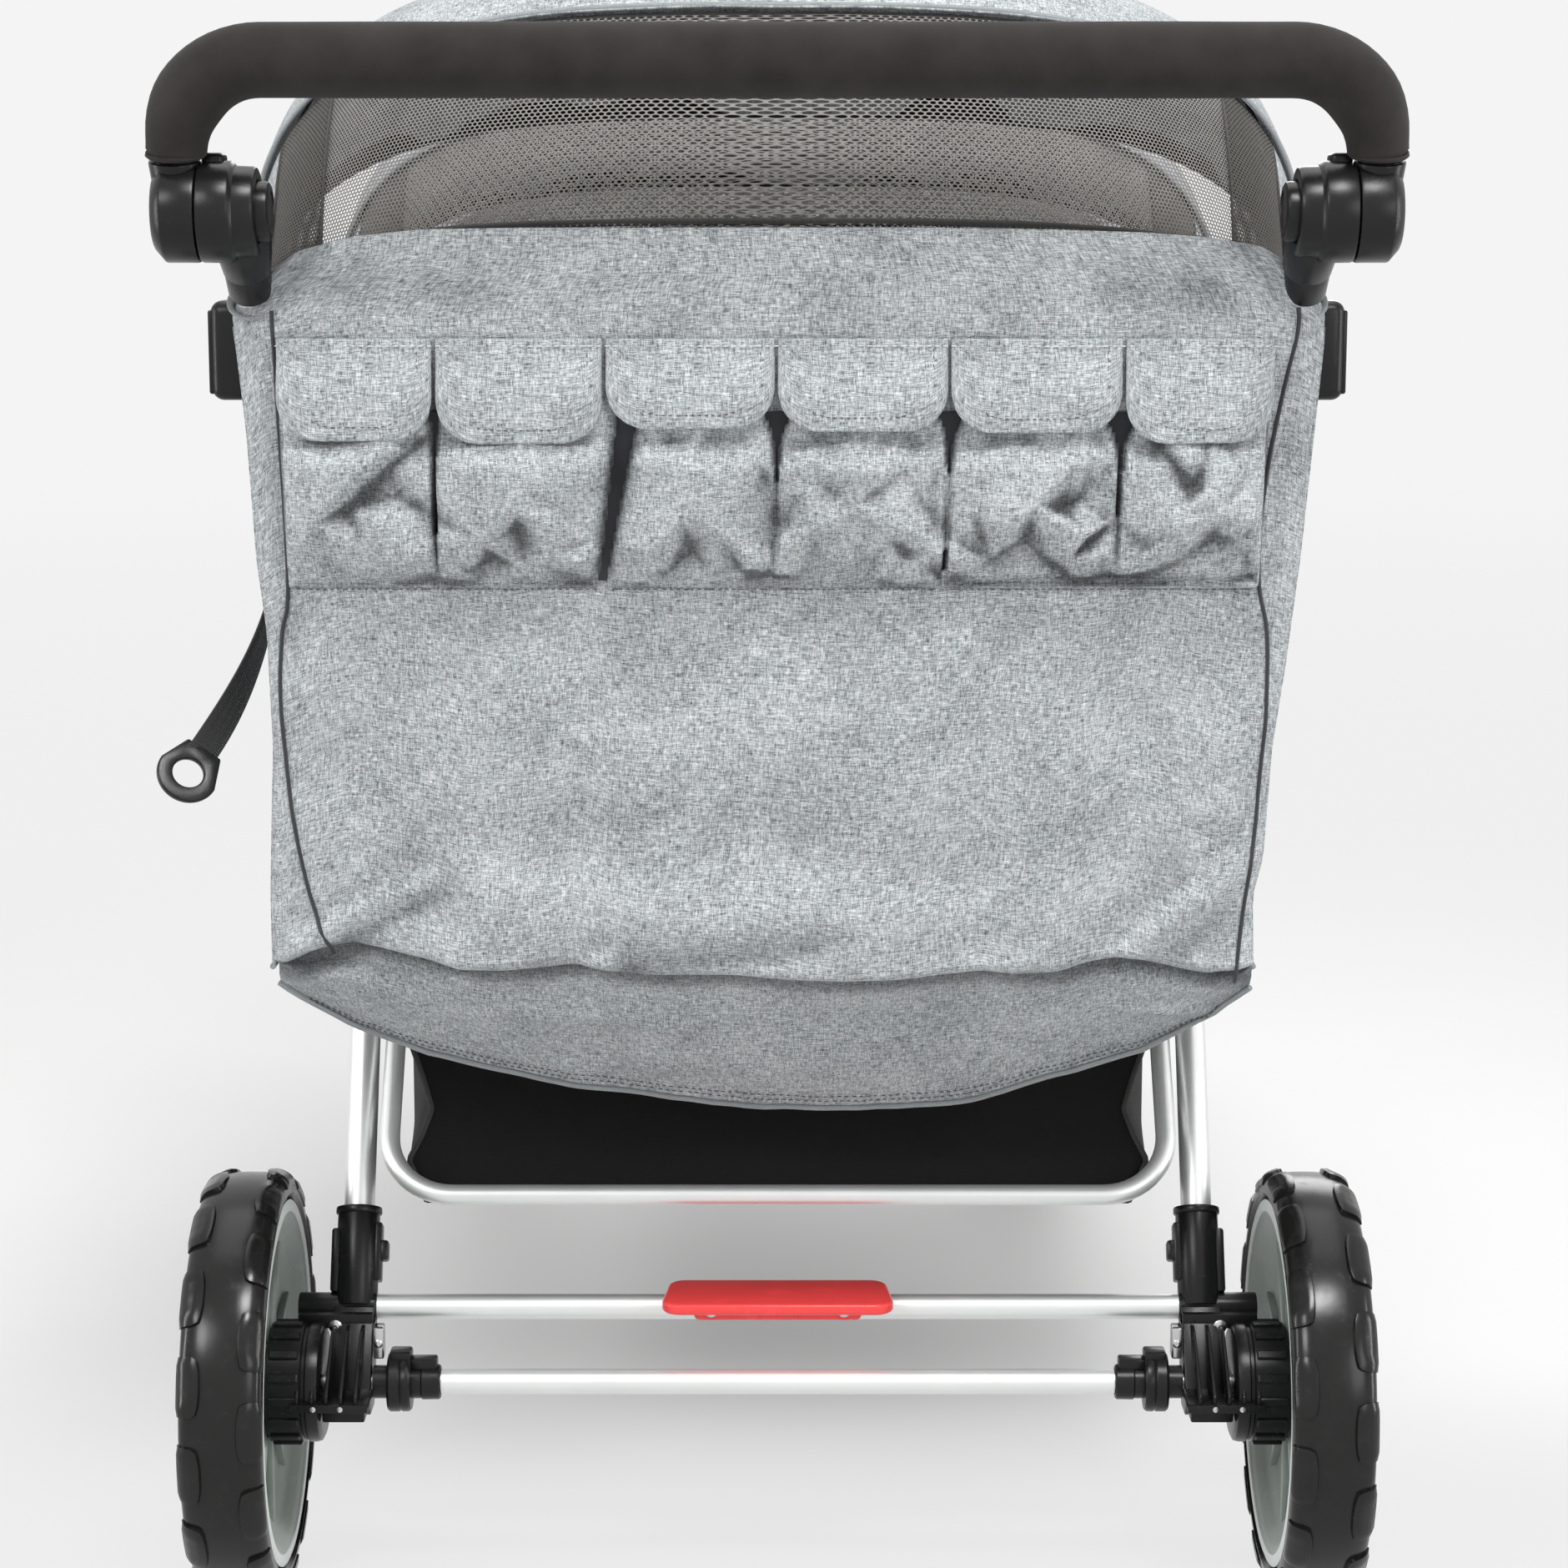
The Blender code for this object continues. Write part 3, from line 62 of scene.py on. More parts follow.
# Direction of the handle's tubes, from the knuckles up
HANDLE_RISE = Vector((0, -0.020, 0.085))
# Thickness of the tub's cloth
CLOTH = 0.0022


# Shader values

def math_node(operation, swapped=False):
    """Method that puts a value and what it is given through a math node."""
    def method(self, *others):
        values = (*others, self) if swapped else (self, *others)
        return self.finish.node("ShaderNodeMath", {"operation": operation}, *values)

    return method


class Value:
    """A number or vector in a finish's node tree, with the sums that the finishes use."""

    def __init__(self, finish, socket):
        self.finish, self.socket = finish, socket

    __add__ = __radd__ = math_node("ADD")
    __sub__, __rsub__ = math_node("SUBTRACT"), math_node("SUBTRACT", swapped=True)
    __mul__ = __rmul__ = math_node("MULTIPLY")
    __truediv__ = math_node("DIVIDE")
    power, sine, fraction = math_node("POWER"), math_node("SINE"), math_node("FRACT")
    least, most = math_node("MINIMUM"), math_node("MAXIMUM")

    def step(self, low, high):
        """0 below low, 1 above high, smooth between."""
        return self.finish.node("ShaderNodeMapRange", {"interpolation_type": "SMOOTHSTEP"},
                                self, low, high, 0.0, 1.0)

    def stretched(self, across, along, up=1.0):
        return self.finish.node("ShaderNodeVectorMath", {"operation": "MULTIPLY"},
                                self, (across, along, up))

    def parts(self):
        split = self.finish.node("ShaderNodeSeparateXYZ", {}, self).socket.node
        return [Value(self.finish, output) for output in split.outputs]


class Finish:
    """A procedural material, written out as values."""

    def __init__(self, name, **fixed):
        self.material = bpy.data.materials.new(name)
        self.material.use_nodes = True
        self.tree = self.material.node_tree
        self.shader = self.tree.nodes["Principled BSDF"]
        for socket, value in fixed.items():
            self.shader.inputs[socket.replace("_", " ")].default_value = value

    def node(self, kind, settings, *values, output=0):
        made = self.tree.nodes.new(kind)
        for key, value in settings.items():
            if key == "stops":
                self.set_stops(made.color_ramp, value)
            else:
                setattr(made, key, value)
        for socket, value in zip(made.inputs, values):
            if isinstance(value, Value):
                self.tree.links.new(value.socket, socket)
            elif value is not None:
                socket.default_value = value
        return Value(self, made.outputs[output])

    @staticmethod
    def set_stops(ramp, stops):
        while len(ramp.elements) < len(stops):
            ramp.elements.new(0.5)
        for element, (place, colour) in zip(ramp.elements, stops):
            element.position = place
            element.color = (*colour, 1.0)

    def points(self):
        return self.node("ShaderNodeTexCoord", {}, output=3)

    def cloth(self):
        """The piece's own map of the cloth, in metres."""
        return self.node("ShaderNodeTexCoord", {}, output=2)

    def noise(self, place, scale, detail=2.0, roughness=0.5):
        return self.node("ShaderNodeTexNoise", {"noise_dimensions": "3D"}, place, None, scale, detail, roughness)

    def ramp(self, value, *stops):
        return self.node("ShaderNodeValToRGB", {"stops": stops}, value)

    def tinted(self, share, low, high):
        """Colour from low to high as share goes from 0 to 1."""
        return self.ramp(share, (0.0, low), (1.0, high))

    def shade(self, share, colour, low, high):
        """Base colour from low to high times a colour as share goes from 0 to 1."""
        self.set("Base Color", self.tinted(share, shaded(colour, low), shaded(colour, high)))

    def set(self, socket, value):
        self.tree.links.new(value.socket, self.shader.inputs[socket])

    def bump(self, height, distance, strength=1.0):
        """Distance is in metres; the node's inputs are Strength, Distance, Filter Width and Height."""
        bumped = self.node("ShaderNodeBump", {})
        made = bumped.socket.node
        made.inputs["Strength"].default_value = strength
        made.inputs["Distance"].default_value = distance
        self.tree.links.new(height.socket, made.inputs["Height"])
        self.set("Normal", bumped)


# Finishes

def shaded(colour, share):
    return tuple(share * part for part in colour)


def make_heather(name, shade=1.0):
    """Melange cloth: pale and dark threads that run in short dashes both ways."""
    finish = Finish(name, Sheen_Weight=0.08, Sheen_Roughness=0.5, Specular_IOR_Level=0.12)
    place = finish.cloth()
    weft = finish.noise(place.stretched(210.0, 1500.0), 1.0, 2.0, 0.6)
    warp = finish.noise(place.stretched(1500.0, 210.0, 7.0), 1.0, 2.0, 0.6)
    slub = finish.noise(place.stretched(75.0, 560.0), 1.0, 2.0)
    cord = finish.noise(place.stretched(560.0, 75.0, 3.0), 1.0, 2.0)
    cloud = finish.noise(place, 17.0, 4.0, 0.6)
    tone = weft * 0.52 + warp * 0.46 + slub * 0.24 + cord * 0.24 + cloud * 0.16 - 0.31
    dark, low, high, pale = ((0.080, 0.089, 0.098), (0.245, 0.264, 0.277), (0.450, 0.472, 0.485),
                             (0.710, 0.725, 0.730))
    colour = finish.ramp(tone, *((stop, shaded(tint, shade)) for stop, tint in
                                 ((0.33, dark), (0.44, low), (0.55, high), (0.67, pale))))
    # Each point's marked depth in the folds darkens the cloth by up to 72 %: painted shade in folds and creases and
    # under the fold over the lip.
    hollow = finish.node("ShaderNodeAttribute", {"attribute_name": "hollow"}, output=2)
    finish.set("Base Color", finish.node("ShaderNodeVectorMath", {"operation": "SCALE"}, colour, None, None,
                                         1 - hollow * 0.72))
    finish.set("Roughness", 0.95 - tone * 0.15)
    finish.bump(weft + warp, 0.0006, 0.7)
    return finish.material


def make_net(name, pitch, hole, colour):
    """Knitted net with staggered round holes."""
    finish = Finish(name, Sheen_Weight=0.1, Specular_IOR_Level=0.35)
    across, along, _ = finish.cloth().parts()
    first = across / pitch
    second = along / (pitch * 0.87)

    def reach(shift):
        u = (first + shift).fraction() - 0.5
        v = ((second * 0.5 + shift).fraction() - 0.5) * 1.74
        return (u * u + v * v).power(0.5)

    away = reach(0.0).least(reach(0.5))
    thread = away.step(hole - 0.06, hole + 0.05)
    dust = finish.noise(finish.points(), 60.0, 3.0)
    finish.set("Alpha", thread)
    finish.shade(dust, colour, 0.75, 1.3)
    finish.set("Roughness", 0.72 + dust * 0.2)
    finish.bump(away, 0.0008, 0.6)
    finish.material.surface_render_method = "DITHERED"
    return finish.material


def make_foam(name):
    """Closed-cell foam: matt, with fine pores and a faint mottle."""
    finish = Finish(name, Sheen_Weight=0.06, Sheen_Roughness=0.6, Specular_IOR_Level=0.18)
    place = finish.points()
    pores = finish.noise(place, 1500.0, 3.0, 0.7)
    mottle = finish.noise(place, 38.0, 4.0)
    finish.set("Base Color", finish.ramp(mottle * 0.6 + pores * 0.4, (0.35, (0.013, 0.0108, 0.0100)),
                                         (0.70, (0.025, 0.0215, 0.0205))))
    finish.set("Roughness", 0.72 + pores * 0.22)
    finish.bump(pores + mottle * 0.8, 0.0004, 0.5)
    return finish.material


def make_plastic(name, colour, roughness, grain=2600.0, relief=0.00012, coat=0.0, specular=0.5):
    """Moulded plastic: fine spark grain, faint flow marks and handling wear."""
    finish = Finish(name, Coat_Weight=coat, Coat_Roughness=0.15, Specular_IOR_Level=specular)
    place = finish.points()
    spark = finish.noise(place, grain, 2.0)
    flow = finish.noise(place.stretched(9.0, 26.0, 26.0), 1.0, 3.0)
    rub = finish.noise(place, 70.0, 5.0, 0.65).step(0.52, 0.75)
    low = shaded(colour, 0.82)
    high = tuple(min(part * 1.22 + 0.002, 1.0) for part in colour)
    finish.set("Base Color", finish.tinted(flow * 0.6 + rub * 0.5, low, high))
    finish.set("Roughness", roughness - 0.05 + flow * 0.08 + rub * 0.07)
    finish.bump(spark, relief, 0.5)
    return finish.material


def make_metal(name, colour, roughness, along=(4.0, 260.0, 260.0), metallic=1.0):
    """Drawn and anodised metal: long faint lines, soft cloudiness and small scuffs."""
    finish = Finish(name, Metallic=metallic)
    place = finish.points()
    lines = finish.noise(place.stretched(*along), 1.0, 3.0, 0.6)
    cloud = finish.noise(place, 30.0, 4.0)
    scuff = finish.noise(place.stretched(90.0, 160.0, 45.0), 1.0, 5.0, 0.7).step(0.60, 0.74)
    finish.shade(lines * 0.5 + cloud * 0.5 - scuff * 0.25, colour, 0.88, 1.0)
    finish.set("Roughness", roughness - 0.06 + lines * 0.08 + cloud * 0.08 + scuff * 0.15)
    finish.bump(lines + scuff * 0.5, 0.00004, 0.4)
    return finish.material


def make_black_cloth(name, colour=(0.0050, 0.0048, 0.0047)):
    """Coated oxford cloth: a small basket weave."""
    finish = Finish(name, Sheen_Weight=0.04, Specular_IOR_Level=0.22)
    across, along, _ = finish.cloth().parts()
    weave = (across * 5200.0).sine() * (along * 5200.0).sine()
    cloud = finish.noise(finish.points(), 22.0, 4.0)
    finish.shade(cloud + weave * 0.15, colour, 0.7, 1.7)
    finish.set("Roughness", 0.62 + cloud * 0.2)
    finish.bump(weave, 0.00025, 0.6)
    return finish.material


def make_webbing(name, colour=(0.006, 0.006, 0.0065)):
    """Woven strap: ribs across it and a herringbone along it."""
    finish = Finish(name, Sheen_Weight=0.2, Specular_IOR_Level=0.4)
    across, along, _ = finish.cloth().parts()
    ribs = (along * 3600.0 + (across * 1300.0).sine() * 1.2).sine()
    lines = (across * 4200.0).sine()
    fuzz = finish.noise(finish.points(), 420.0, 3.0)
    finish.shade(ribs * 0.22 + lines * 0.12 + fuzz, colour, 0.5, 2.2)
    finish.set("Roughness", 0.58 + fuzz * 0.25)
    finish.bump(ribs + lines * 0.5, 0.0003, 0.7)
    return finish.material


def make_rubber(name, colour=(0.0075, 0.0075, 0.0072)):
    """Skin of a moulded foam tyre: glossy, with cloudy duller patches."""
    finish = Finish(name, Specular_IOR_Level=0.30)
    place = finish.points()
    cloud = finish.noise(place, 34.0, 4.0)
    scuff = finish.noise(place, 120.0, 4.0, 0.6).step(0.50, 0.80)
    finish.set("Base Color", finish.tinted(cloud * 0.4 + scuff * 0.5, colour, (0.015, 0.0147, 0.0140)))
    finish.set("Roughness", 0.12 + cloud * 0.16 + scuff * 0.10)
    finish.bump(cloud + finish.noise(place, 1400.0, 2.0) * 0.3, 0.0003, 0.35)
    return finish.material


def make_thread(name, colour):
    finish = Finish(name, Sheen_Weight=0.2)
    twist = finish.noise(finish.points(), 2400.0, 2.0)
    finish.shade(twist, colour, 0.7, 1.0)
    finish.set("Roughness", 0.6 + twist * 0.2)
    finish.bump(twist, 0.0001, 0.5)
    return finish.material


FINISHES = {
    "heather": make_heather("heather_cloth"),
    # A darker copy of the heather for the lip and its hem: painted shade, as the lip faces down under the fold.
    "heather_shaded": make_heather("heather_lip_painted_shade", 0.86),
    "net": make_net("window_net", 0.0032, 0.400, (0.215, 0.203, 0.192)),
    "band_net": make_net("band_net", 0.0026, 0.27, (0.058, 0.053, 0.047)),
    "foam": make_foam("grip_foam"),
    "black_plastic": make_plastic("satin_black_plastic", (0.0085, 0.0085, 0.0090), 0.25, specular=0.26),
    "red_plastic": make_plastic("red_pedal_plastic", (0.860, 0.060, 0.060), 0.34, 1500.0, 0.00008, 0.2, 0.3),
    "rim": make_plastic("rim_plastic", (0.250, 0.285, 0.265), 0.34, 1800.0, 0.00008),
    "rim_pale": make_plastic("rim_edge_plastic", (0.610, 0.660, 0.635), 0.30, 1800.0, 0.00008),
    "aluminium": make_metal("satin_aluminium", (0.850, 0.865, 0.855), 0.38, metallic=0.70),
    "steel": make_metal("bright_steel", (0.640, 0.640, 0.640), 0.22, (60.0, 60.0, 60.0)),
    "black_cloth": make_black_cloth("black_oxford"),
    "webbing": make_webbing("black_webbing"),
    "binding": make_webbing("grey_binding", (0.028, 0.026, 0.024)),
    "tyre": make_rubber("tyre_rubber"),
    "lining": make_heather("hood_lining", 1.55),
    "pale_thread": make_thread("pale_thread", (0.66, 0.68, 0.70)),
    "dark_thread": make_thread("dark_thread", (0.050, 0.055, 0.062)),
    "piping": make_thread("dark_piping", (0.020, 0.021, 0.024)),
}
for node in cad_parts.values():
    kept = node.material_slots[0].material.name.split(".")[0]
    match = {"aluminium": "aluminium", "steel": "steel", "black_plastic": "black_plastic", "foam": "foam",
             "rim_grey": "rim", "tyre": "tyre", "red_plastic": "red_plastic"}.get(kept, "black_cloth")
    for slot in node.material_slots:
        slot.material = FINISHES[match]


# Shapes

def between(table, at):
    """Reads a table of (place, value) pairs, with straight steps between its rows."""
    if at <= table[0][0]:
        return table[0][1]
    for (low, first), (high, second) in zip(table, table[1:]):
        if at <= high:
            share = (at - low) / (high - low)
            return first + (second - first) * share
    return table[-1][1]


def smooth(share):
    share = min(max(share, 0.0), 1.0)
    return share * share * (3 - 2 * share)


def placed(name, data):
    """New object in the scene."""
    made = bpy.data.objects.new(name, data)
    bpy.context.scene.collection.objects.link(made)
    return made


def together(*shapes):
    """Joins shapes into one mesh."""
    whole = bmesh.new()
    for shape in shapes:
        part = bpy.data.meshes.new("part")
        shape.to_mesh(part)
        shape.free()
        whole.from_mesh(part)
        bpy.data.meshes.remove(part)
    return whole


def moved(shape, place=(0, 0, 0), turn=0.0, axis="X"):
    """Turns a shape about an axis through the origin, then moves it."""
    bmesh.ops.transform(shape, verts=shape.verts,
                        matrix=Matrix.Translation(place) @ Matrix.Rotation(turn, 4, axis))
    return shape


def bevelled(shape, edges, offset, segments=2):
    bmesh.ops.bevel(shape, geom=edges, offset=offset, segments=segments, profile=0.5, affect="EDGES", material=-1)
    return shape


def slab(low, high, edge=0.001, segments=2):
    """Box between two corners, in any order, with rounded edges."""
    low, high = Vector(low), Vector(high)
    shape = bmesh.new()
    size = high - low
    bmesh.ops.create_cube(shape, size=1.0)
    bmesh.ops.scale(shape, vec=(abs(size.x), abs(size.y), abs(size.z)), verts=shape.verts)
    bmesh.ops.translate(shape, vec=(low + high) / 2, verts=shape.verts)
    return bevelled(shape, list(shape.edges), edge, segments)


def rod(start, end, radius, end_radius=None, segments=32, edge=0.0):
    """Round bar between two points, with its ends broken by a bevel."""
    start, end = Vector(start), Vector(end)
    shape = bmesh.new()
    bmesh.ops.create_cone(shape, cap_ends=True, segments=segments, radius1=radius,
                          radius2=radius if end_radius is None else end_radius, depth=(end - start).length)
    if edge:
        rims = [e for e in shape.edges if any(len(f.verts) > 4 for f in e.link_faces)]
        bevelled(shape, rims, edge)
    turn = (end - start).to_track_quat("Z", "Y").to_matrix().to_4x4()
    bmesh.ops.transform(shape, matrix=Matrix.Translation((start + end) / 2) @ turn, verts=shape.verts)
    return shape


def turned(profile, y=0.0, z=0.0, segments=64, ring=False):
    """Turns a profile of (x, radius) points about a cross axis. A ring's profile is closed."""
    shape = bmesh.new()
    verts = [shape.verts.new((x, y, z + radius)) for x, radius in profile]
    pairs = list(zip(verts, verts[1:])) + ([(verts[-1], verts[0])] if ring else [])
    edges = [shape.edges.new(pair) for pair in pairs]
    bmesh.ops.spin(shape, geom=verts + edges, cent=(0, y, z), axis=(1, 0, 0), angle=2 * math.pi,
                   steps=segments, use_merge=True, use_duplicate=False)
    bmesh.ops.remove_doubles(shape, verts=shape.verts, dist=1e-6)
    bmesh.ops.recalc_face_normals(shape, faces=shape.faces)
    return shape


def extruded(shape, faces, run=(0, 0, 0)):
    """Extrudes faces, moves what comes out by a run and gives its points."""
    pushed = bmesh.ops.extrude_face_region(shape, geom=faces)
    far = [item for item in pushed["geom"] if isinstance(item, bmesh.types.BMVert)]
    bmesh.ops.translate(shape, vec=run, verts=far)
    return far


def lathed(side, points, *place, ring=False):
    """Turned part for one side, from (x, radius) points of the right side."""
    return turned([(side * x, radius) for x, radius in points], *place, ring=ring)


def spoke(shape, share, y, z):
    """Turns a shape by a share of a full turn and sets it on a wheel's centre."""
    bmesh.ops.rotate(shape, cent=(0, 0, 0), verts=shape.verts, matrix=Matrix.Rotation(share * 2 * math.pi, 3, "X"))
    bmesh.ops.translate(shape, vec=(0, y, z), verts=shape.verts)
    return shape


def prism(outline, low_x, high_x, edge=0.0008):
    """Extrudes an outline of (y, z) points across the stroller."""
    shape = bmesh.new()
    face = shape.faces.new([shape.verts.new((low_x, y, z)) for y, z in outline])
    extruded(shape, [face], (high_x - low_x, 0, 0))
    bmesh.ops.recalc_face_normals(shape, faces=shape.faces)
    if edge:
        bevelled(shape, list(shape.edges), edge)
    return shape


def rounded(corners, radius, steps=8):
    """Turns each inner corner of a route into an arc."""
    corners = [Vector(corner) for corner in corners]
    route = [corners[0]]
    for before, corner, after in zip(corners, corners[1:], corners[2:]):
        back, ahead = (before - corner).normalized(), (after - corner).normalized()
        half = back.angle(ahead) / 2
        centre = corner + (back + ahead).normalized() * radius / math.sin(half)
        start = (corner + back * radius / math.tan(half) - centre).normalized()
        end = (corner + ahead * radius / math.tan(half) - centre).normalized()
        route += [centre + start.slerp(end, step / steps) * radius for step in range(steps + 1)]
    return route + [corners[-1]]


def curve_shape(route, radius, radii=None, rings=6, capped=True, closed=False):
    """Sweeps a round section along a route of points."""
    curve = bpy.data.curves.new("route", "CURVE")
    curve.dimensions = "3D"
    curve.bevel_depth = radius
    curve.bevel_resolution = rings
    curve.use_fill_caps = capped
    spline = curve.splines.new("POLY")
    spline.use_cyclic_u = closed
    spline.points.add(len(route) - 1)
    for number, (point, place) in enumerate(zip(spline.points, route)):
        point.co = (*place, 1.0)
        point.radius = radii[number] / radius if radii else 1.0
    holder = placed("route", curve)
    bpy.context.view_layer.update()
    swept = bpy.data.meshes.new_from_object(holder.evaluated_get(bpy.context.evaluated_depsgraph_get()))
    shape = bmesh.new()
    shape.from_mesh(swept)
    bpy.data.objects.remove(holder)
    bpy.data.curves.remove(curve)
    bpy.data.meshes.remove(swept)
    bmesh.ops.remove_doubles(shape, verts=shape.verts, dist=1e-6)
    bmesh.ops.recalc_face_normals(shape, faces=shape.faces)
    return shape


def run_length(points):
    return sum((Vector(second) - Vector(first)).length for first, second in zip(points, points[1:]))


def cloth(columns, rows, place, size=None):
    """Grid of cloth: place(across, down) gives each point, with both shares from 0 to 1.

    Its map is in metres, measured along the cloth, unless a flat size is given.
    """
    shape = bmesh.new()
    bmesh.ops.create_grid(shape, x_segments=columns, y_segments=rows, size=0.5)
    shares = {vert: (vert.co.x + 0.5, 0.5 - vert.co.y) for vert in shape.verts}
    for vert, (across, down) in shares.items():
        vert.co = place(across, down)
    if size is None:
        size = (run_length([place(n / columns, 0.5) for n in range(columns + 1)]),
                run_length([place(0.5, n / rows) for n in range(rows + 1)]))
    chart = shape.loops.layers.uv.new("UVMap")
    for face in shape.faces:
        for loop in face.loops:
            across, down = shares[loop.vert]
            loop[chart].uv = (across * size[0], down * size[1])
    return shape


def charted(shape):
    """Gives a shape a map in metres, laid on from the side that each face looks to."""
    chart = shape.loops.layers.uv.verify()
    for face in shape.faces:
        normal = [abs(part) for part in face.normal]
        for loop in face.loops:
            x, y, z = loop.vert.co
            flat = (y, z) if normal[0] == max(normal) else (x, z) if normal[1] == max(normal) else (x, y)
            loop[chart].uv = flat
    return shape


def facing(shape, direction):
    """Turns an open cloth so that it looks along a direction."""
    shape.normal_update()
    total = sum((face.normal * face.calc_area() for face in shape.faces), Vector())
    if total.dot(Vector(direction)) < 0:
        bmesh.ops.reverse_faces(shape, faces=shape.faces)
    return shape


def top_up(shape):
    """Turns an open cloth so that its highest face looks up."""
    shape.normal_update()
    highest = max(shape.faces, key=lambda face: face.calc_center_median().z)
    if highest.normal.z < 0:
        bmesh.ops.reverse_faces(shape, faces=shape.faces)
    return shape


def ribbon(route, width, across):
    """Flat strap along a route, with its width along a direction."""
    route = [Vector(point) for point in route]
    lengths = [0.0]
    for first, second in zip(route, route[1:]):
        lengths.append(lengths[-1] + (second - first).length)
    across = Vector(across).normalized() * width / 2

    def place(side, along):
        number = min(int(along * (len(route) - 1) + 1e-6), len(route) - 2)
        share = along * (len(route) - 1) - number
        return route[number].lerp(route[number + 1], share) + across * (2 * side - 1)

    return cloth(3, len(route) - 1, place, (width, lengths[-1]))


def piece(name, shape, finish, body="root", stands_for=(), thickness=0.0, offset=-1.0, subdivide=0, sharp=35,
          lined=False):
    """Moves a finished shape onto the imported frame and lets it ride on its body."""
    bmesh.ops.translate(shape, vec=(0, AXLE_Y, 0), verts=shape.verts)
    mesh = bpy.data.meshes.new(name)
    shape.normal_update()
    if not shape.loops.layers.uv.active:
        charted(shape)
    shape.to_mesh(mesh)
    shape.free()
    made = placed(name, mesh)
    kinds = (finish,) if isinstance(finish, str) else finish
    for kind in kinds:
        mesh.materials.append(FINISHES[kind])
    mesh.shade_smooth()
    mesh.set_sharp_from_angle(angle=math.radians(sharp))
    if thickness:
        wall = made.modifiers.new("Cloth", "SOLIDIFY")
        wall.thickness = thickness
        wall.offset = offset
        wall.material_offset = 1 if lined else 0
    if subdivide:
        finer = made.modifiers.new("Finer", "SUBSURF")
        finer.levels = finer.render_levels = subdivide
    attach(made, body)
    if stands_for:
        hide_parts(*stands_for)
    return made


def aimed(place, direction):
    """Matrix that turns a shape's x axis along a direction and moves it to a place."""
    return Matrix.Translation(place) @ direction.to_track_quat("X", "Z").to_matrix().to_4x4()


def stitches(name, route, finish, body="root", stitch=0.0030, gap=0.0012, radius=0.00045):
    """Row of thread stitches along a route that lies on the cloth."""
    route = [Vector(point) for point in route]
    shape = bmesh.new()
    pitch, spare = stitch + gap, 0.0
    for first, second in zip(route, route[1:]):
        run = second - first
        if run.length < 1e-6:
            continue
        while spare + stitch / 2 < run.length:
            middle = first + run.normalized() * (spare + stitch / 2)
            bmesh.ops.create_icosphere(shape, subdivisions=1, radius=1.0,
                                       matrix=aimed(middle, run)
                                       @ Matrix.Diagonal((stitch / 2, radius, radius, 1.0)))
            spare += pitch
        spare = max(spare - run.length, 0.0)
    return piece(name, shape, finish, body)


def screw_head(place, direction, radius, height=0.0018):
    """Domed cross-head screw or rivet that looks along a direction."""
    profile = [(0, 0), (0, radius), (height * 0.45, radius), (height * 0.85, radius * 0.72),
               (height, radius * 0.32), (height * 0.62, radius * 0.26), (height * 0.60, 0)]
    shape = turned(profile, segments=20)
    bmesh.ops.transform(shape, matrix=aimed(place, Vector(direction).normalized()), verts=shape.verts)
    return shape


# Camera and studio

def aim_lamp(name, place, target, size, power, tint=(1.0, 1.0, 1.0)):
    lamp = bpy.data.lights.new(name, "AREA")
    lamp.shape = "RECTANGLE"
    lamp.size, lamp.size_y = size
    lamp.energy = power
    lamp.color = tint
    holder = placed(name, lamp)
    holder.location = place
    holder.rotation_euler = (Vector(target) - Vector(place)).to_track_quat("-Z", "Y").to_euler()


